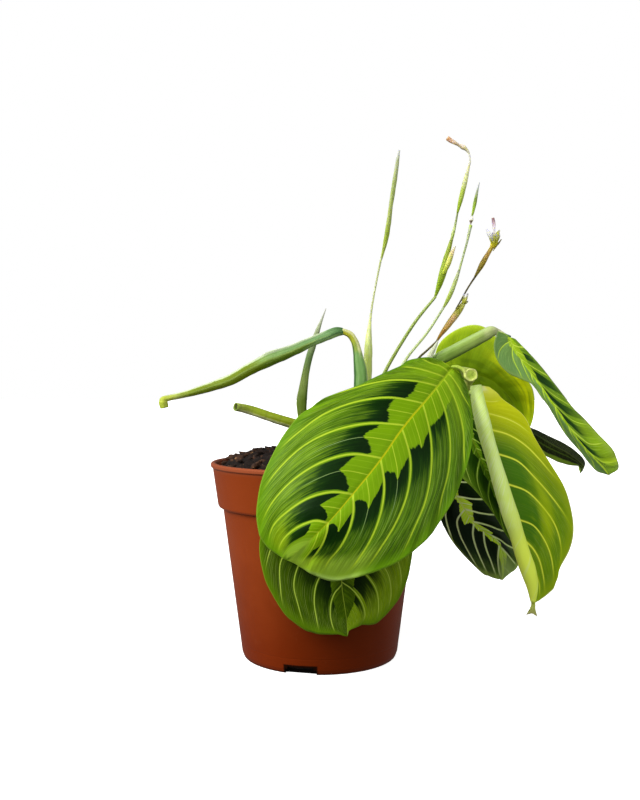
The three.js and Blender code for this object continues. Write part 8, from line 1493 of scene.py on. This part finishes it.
M_POT = pot_material()
POT = rounded([
    (0, 0), (30.0, 0.0, 0.3), (31.0, 0.9, 0.6), (35.2, 0.9, 0.6), (35.9, 0.0, 0.4), (38.3 - 0.6, 0.0, 0.8), (pot_r(2.4), 2.4, 0.9),
    (pot_r(7.0), 7.0, 0.4), (pot_r(7.45) - 0.06, 7.45, 0.4), (pot_r(7.9), 7.9, 0.4),
    (48.0, 73.7, 0.8), (49.9, 73.95, 0.5), (50.4, 74.9, 0.6), (53.0, 92.9, 0.5), (54.0, 93.6, 0.6), (54.0, 95.0, 0.6), (53.4, 95.6, 0.5), (52.1, 95.6, 0.5), (51.5, 94.9, 0.8),
    (48.9, 75.6, 0.8), (46.5, 73.4, 0.8), (pot_r(1.6) - 1.9, 1.6, 0.6), (0, 1.6)], 5)
pot = lathe("nursery_pot_shell", POT, 192, M_POT)
for k, deg in enumerate((256.3, 16.3, 136.3)):
    bm = bmesh.new()
    bmesh.ops.create_cube(bm, size=1.0)
    for v in bm.verts:
        v.co = (v.co.x * 9.0 * MM, v.co.y * 15.0 * MM, v.co.z * 5.6 * MM)
    bmesh.ops.bevel(bm, geom=[e for e in bm.edges if abs(e.verts[0].co.x - e.verts[1].co.x) > 1e-6], offset=0.0012, segments=4, affect="EDGES")
    for v in bm.verts:
        v.co.x += (38.3 - 4.5 + 2.5) * MM
        v.co.z += 0.8 * MM
    cut = bpy.data.meshes.new("slot")
    bm.to_mesh(cut)
    bm.free()
    co = bpy.data.objects.new("slot_cutter", cut)
    scene.collection.objects.link(co)
    co.rotation_euler[2] = math.radians(deg)
    bpy.context.view_layer.update()
    mod = pot.modifiers.new("slot", "BOOLEAN")
    mod.operation = "DIFFERENCE"
    mod.solver = "EXACT"
    mod.object = co
    bpy.context.view_layer.update()
    done = bpy.data.meshes.new_from_object(pot.evaluated_get(bpy.context.evaluated_depsgraph_get()))
    pot.modifiers.clear()
    pot.data = done
    bpy.data.objects.remove(co)
pot.data.name = "nursery_pot_shell"
pot.data.polygons.foreach_set("use_smooth", np.ones(len(pot.data.polygons), bool))
pot.data.set_sharp_from_angle(angle=math.radians(38))
place(pot, "nursery_pot")

# dark blocks behind the drain slots: soil seen through them above the pot's floor, and painted shade carried down to
# the ground below it
SLOT_BACKS = []
for k, deg in enumerate((256.3, 16.3, 136.3)):
    c, s_ = math.cos(math.radians(deg)), math.sin(math.radians(deg))
    lo, hi = [31.4, -7.6, 0.1], [35.1, 7.6, 3.7]
    vs = np.array([[(hi if i & 1 else lo)[0], (hi if i & 2 else lo)[1], (hi if i & 4 else lo)[2]] for i in range(8)], float)
    vs = np.stack([vs[:, 0] * c - vs[:, 1] * s_, vs[:, 0] * s_ + vs[:, 1] * c, vs[:, 2]], 1)
    SLOT_BACKS.append(vs)

# ================================================================ soil
def soil_material():
    g = Graph("potting_soil_skin")
    v = g.coords()
    n1 = g.noise(v, 0.35, 5.0, 0.7)
    n2 = g.noise(v, 2.4, 4.0, 0.7)
    d, c = g.voronoi(v, 0.9)
    col = g.mix(g.smooth(n1, 0.35, 0.7), (12, 8, 6), (34, 21, 15))
    col = g.mix(g.smooth(n2, 0.5, 0.72) * 0.5, col, (58, 38, 26))
    col = g.mix(g.smooth(n2, 0.45, 0.25) * 0.6, col, (8, 5, 4))
    return g.finish(col, 0.9, g.bump(n2 + d * 0.5, 0.8, 0.0006), 0.25)


def bark_material():
    g = Graph("soil_bark_bits")
    v = g.coords()
    n1 = g.noise(v, 0.22, 2.0, 0.6)
    n2 = g.noise(v, 3.0, 4.0, 0.7)
    col = g.mix(g.smooth(n1, 0.4, 0.62), (30, 18, 12), (74, 48, 32))
    col = g.mix(g.smooth(n1, 0.62, 0.72) * 0.85, col, (170, 126, 84))
    col = g.mix(g.smooth(n2, 0.4, 0.7) * 0.5, col, (30, 17, 11))
    return g.finish(col, 0.85, g.bump(n2, 0.7, 0.0004), 0.25)


def soil_z(x, y):
    r = np.hypot(x, y)
    lump = 0.7 * np.sin(x * 0.41 + y * 0.23) * np.cos(y * 0.37 - x * 0.17) * np.minimum(1, (51 - r) / 12)
    return 92.6 + 10.4 * np.maximum(0, 1 - (r / 51) ** 2.2) + 0.065 * y + lump


def make_soil():
    seg, rings = 300, 96
    ang = np.linspace(0, 2 * np.pi, seg, endpoint=False)
    f = np.linspace(1, 0, rings + 1)[:-1]
    rr, aa = np.meshgrid(f * 50.1, ang, indexing="ij")
    x, y = rr * np.cos(aa), rr * np.sin(aa)
    r = np.random.default_rng(11)
    lx, ly = r.uniform(-51, 51, 900), r.uniform(-51, 51, 900)
    lr = r.uniform(0.9, 3.0, 900)
    z = np.zeros_like(x)
    for a, b, c in zip(lx, ly, lr):
        d2 = ((x - a) ** 2 + (y - b) ** 2) / (c * c)
        z = np.maximum(z, np.where(d2 < 1, np.sqrt(np.maximum(0, 1 - d2)) * c * 0.55, 0))
    z = z + 0.5 * noise2(x * 0.9, y * 0.9, 4) + 0.3 * noise2(x * 2.3, y * 2.3, 5)
    edge = smoothstep(50.1 - rr, 0.0, 2.0)
    z = soil_z(x, y) - 0.7 + z * (0.25 + 0.75 * edge)
    top = np.stack([x, y, z], -1).reshape(-1, 3)
    lev = [(35.6, 2.0), (46.0, 73.4), (48.3, 76.2), (50.1, 90.5)]
    low = np.concatenate([np.stack([q * np.cos(ang), q * np.sin(ang), np.full(seg, w)], 1) for q, w in lev])
    V = np.concatenate([[[0, 0, 2.0]], low, top, [[0, 0, float(soil_z(0, 0)) - 0.3]]])
    k = np.arange(seg)
    k2 = (k + 1) % seg
    nr = len(lev) + rings
    quads = np.concatenate([np.stack([1 + i * seg + k, 1 + i * seg + k2, 1 + (i + 1) * seg + k2, 1 + (i + 1) * seg + k], 1) for i in range(nr - 1)])
    last = len(V) - 1
    o = 1 + (nr - 1) * seg
    tris = np.concatenate([np.stack([np.zeros(seg, int), k2 + 1, k + 1], 1), np.stack([np.full(seg, last), o + k, o + k2], 1)])
    return V, quads, tris


V, Q, Tt = make_soil()
soil = new_mesh("potting_soil_bed", V, Q, Tt, None, [soil_material()])
place(soil, "potting_soil")
# near-black for the blocks in the slots: soil colour, with painted shade where they reach below the soil
g = Graph("soil_and_painted_shade_behind_slots")
v = g.coords()
M_SHADE = g.finish(g.mix(g.noise(v, 1.2, 3.0, 0.6), (5, 3, 2), (16, 9, 6)), 0.95, g.bump(g.noise(v, 2.0, 3.0, 0.7), 0.6, 0.0004), 0.05)
box = np.array([[0, 2, 3, 1], [4, 5, 7, 6], [0, 1, 5, 4], [2, 6, 7, 3], [0, 4, 6, 2], [1, 3, 7, 5]])
for k, vs in enumerate(SLOT_BACKS):
    place(new_mesh("soil_and_shade_in_slot_%d" % (k + 1), vs, box, (), None, [M_SHADE], smooth=False), "potting_soil")


def make_bits(count=420, seed=3):
    """Bark and peat crumbs lying in the soil's surface, one mesh."""
    r = np.random.default_rng(seed)
    bm = bmesh.new()
    bmesh.ops.create_icosphere(bm, subdivisions=2, radius=1.0)
    base = np.array([v.co[:] for v in bm.verts])
    faces = np.array([[v.index for v in f.verts] for f in bm.faces])
    bm.free()
    VV, FF = [], []
    o = 0
    for i in range(count):
        a, q = r.uniform(0, 2 * np.pi), 49.0 * math.sqrt(r.uniform(0.0, 1))
        size = r.uniform(0.5, 1.5) if r.uniform() < 0.8 else r.uniform(1.6, 3.0)
        sc = size * np.array([r.uniform(0.9, 1.8), r.uniform(0.6, 1.1), r.uniform(0.3, 0.7)])
        q = min(q, 49.6 - sc[0])
        x, y = q * math.cos(a), q * math.sin(a)
        d = 1 + 0.22 * r.standard_normal(len(base))
        p = base * sc * d[:, None]
        t1, t2, t3 = r.uniform(0, 2 * np.pi), r.uniform(-0.5, 0.5), r.uniform(-0.5, 0.5)
        Rz = np.array([[math.cos(t1), -math.sin(t1), 0], [math.sin(t1), math.cos(t1), 0], [0, 0, 1]])
        Rx = np.array([[1, 0, 0], [0, math.cos(t2), -math.sin(t2)], [0, math.sin(t2), math.cos(t2)]])
        Ry = np.array([[math.cos(t3), 0, math.sin(t3)], [0, 1, 0], [-math.sin(t3), 0, math.cos(t3)]])
        p = p @ (Rz @ Rx @ Ry).T + np.array([x, y, float(soil_z(x, y)) - 0.35 + sc[2] * 0.75])
        VV.append(p)
        FF.append(faces + o)
        o += len(base)
    return np.concatenate(VV), np.concatenate(FF)


bv, bf = make_bits(430)
bits = new_mesh("soil_bark_crumbs", bv, (), bf, None, [bark_material()])
place(bits, "potting_soil")

# ================================================================ studio
def floor_material():
    g = Graph("studio_floor_paper")
    v = g.coords()
    n = g.noise(v, 0.004, 2.0, 0.5)
    col = g.mix(n, (240, 240, 240), (246, 246, 246))
    g.links.new(col, g.bsdf.inputs["Emission Color"])
    g.bsdf.inputs["Emission Strength"].default_value = 0.88
    return g.finish(col, 0.9, None, 0.05)


bm = bmesh.new()
bmesh.ops.create_grid(bm, x_segments=8, y_segments=8, size=6.0)
me = bpy.data.meshes.new("studio_floor")
bm.to_mesh(me)
bm.free()
me.materials.append(floor_material())
floor = bpy.data.objects.new("studio_floor", me)
scene.collection.objects.link(floor)
floor.visible_diffuse = False
floor.visible_glossy = False

world = bpy.data.worlds.new("studio")
scene.world = world
world.use_nodes = True
wn, wl = world.node_tree.nodes, world.node_tree.links
wn.clear()
soft = wn.new("ShaderNodeBackground")
soft.inputs[0].default_value = (1.0, 1.0, 0.98, 1.0)
soft.inputs[1].default_value = 0.22
seen = wn.new("ShaderNodeBackground")
seen.inputs[0].default_value = (1.0, 1.0, 1.0, 1.0)
seen.inputs[1].default_value = 1.0
ray = wn.new("ShaderNodeLightPath")
both = wn.new("ShaderNodeMixShader")
wout = wn.new("ShaderNodeOutputWorld")
wl.new(ray.outputs["Is Camera Ray"], both.inputs[0])
wl.new(soft.outputs[0], both.inputs[1])
wl.new(seen.outputs[0], both.inputs[2])
wl.new(both.outputs[0], wout.inputs[0])
scene.view_settings.view_transform = "Standard"


def sun(name, toward, strength, angle, color=(1, 1, 1)):
    """A broad soft light from the direction given."""
    from mathutils import Vector
    L = bpy.data.lights.new(name, "SUN")
    L.energy = strength
    L.angle = math.radians(angle)
    L.color = color
    ob = bpy.data.objects.new(name, L)
    ob.rotation_euler = (-Vector(toward)).to_track_quat("-Z", "Y").to_euler()
    scene.collection.objects.link(ob)
    return ob


sun("key_light", (-0.72, -0.4, 0.57), 4.3, 42.0, (1.0, 0.99, 0.96))
sun("fill_light", (0.34, -0.8, 0.5), 0.95, 60.0)
sun("side_light", (0.94, -0.3, 0.2), 0.4, 40.0)

cam_data = bpy.data.cameras.new("camera")
cam_data.sensor_width = 36.0
cam_data.sensor_fit = "AUTO"
cam_data.lens = 945.0 * 36.0 / 800.0
cam_data.clip_start = 0.01
cam = bpy.data.objects.new("camera", cam_data)
tilt = math.radians(1.2)
cam.location = (0.00008, -0.470 * math.cos(tilt), 0.126 + 0.470 * math.sin(tilt))
cam.rotation_euler = (math.pi / 2 - tilt, 0, 0)
scene.collection.objects.link(cam)
scene.camera = cam

bpy.context.view_layer.update()
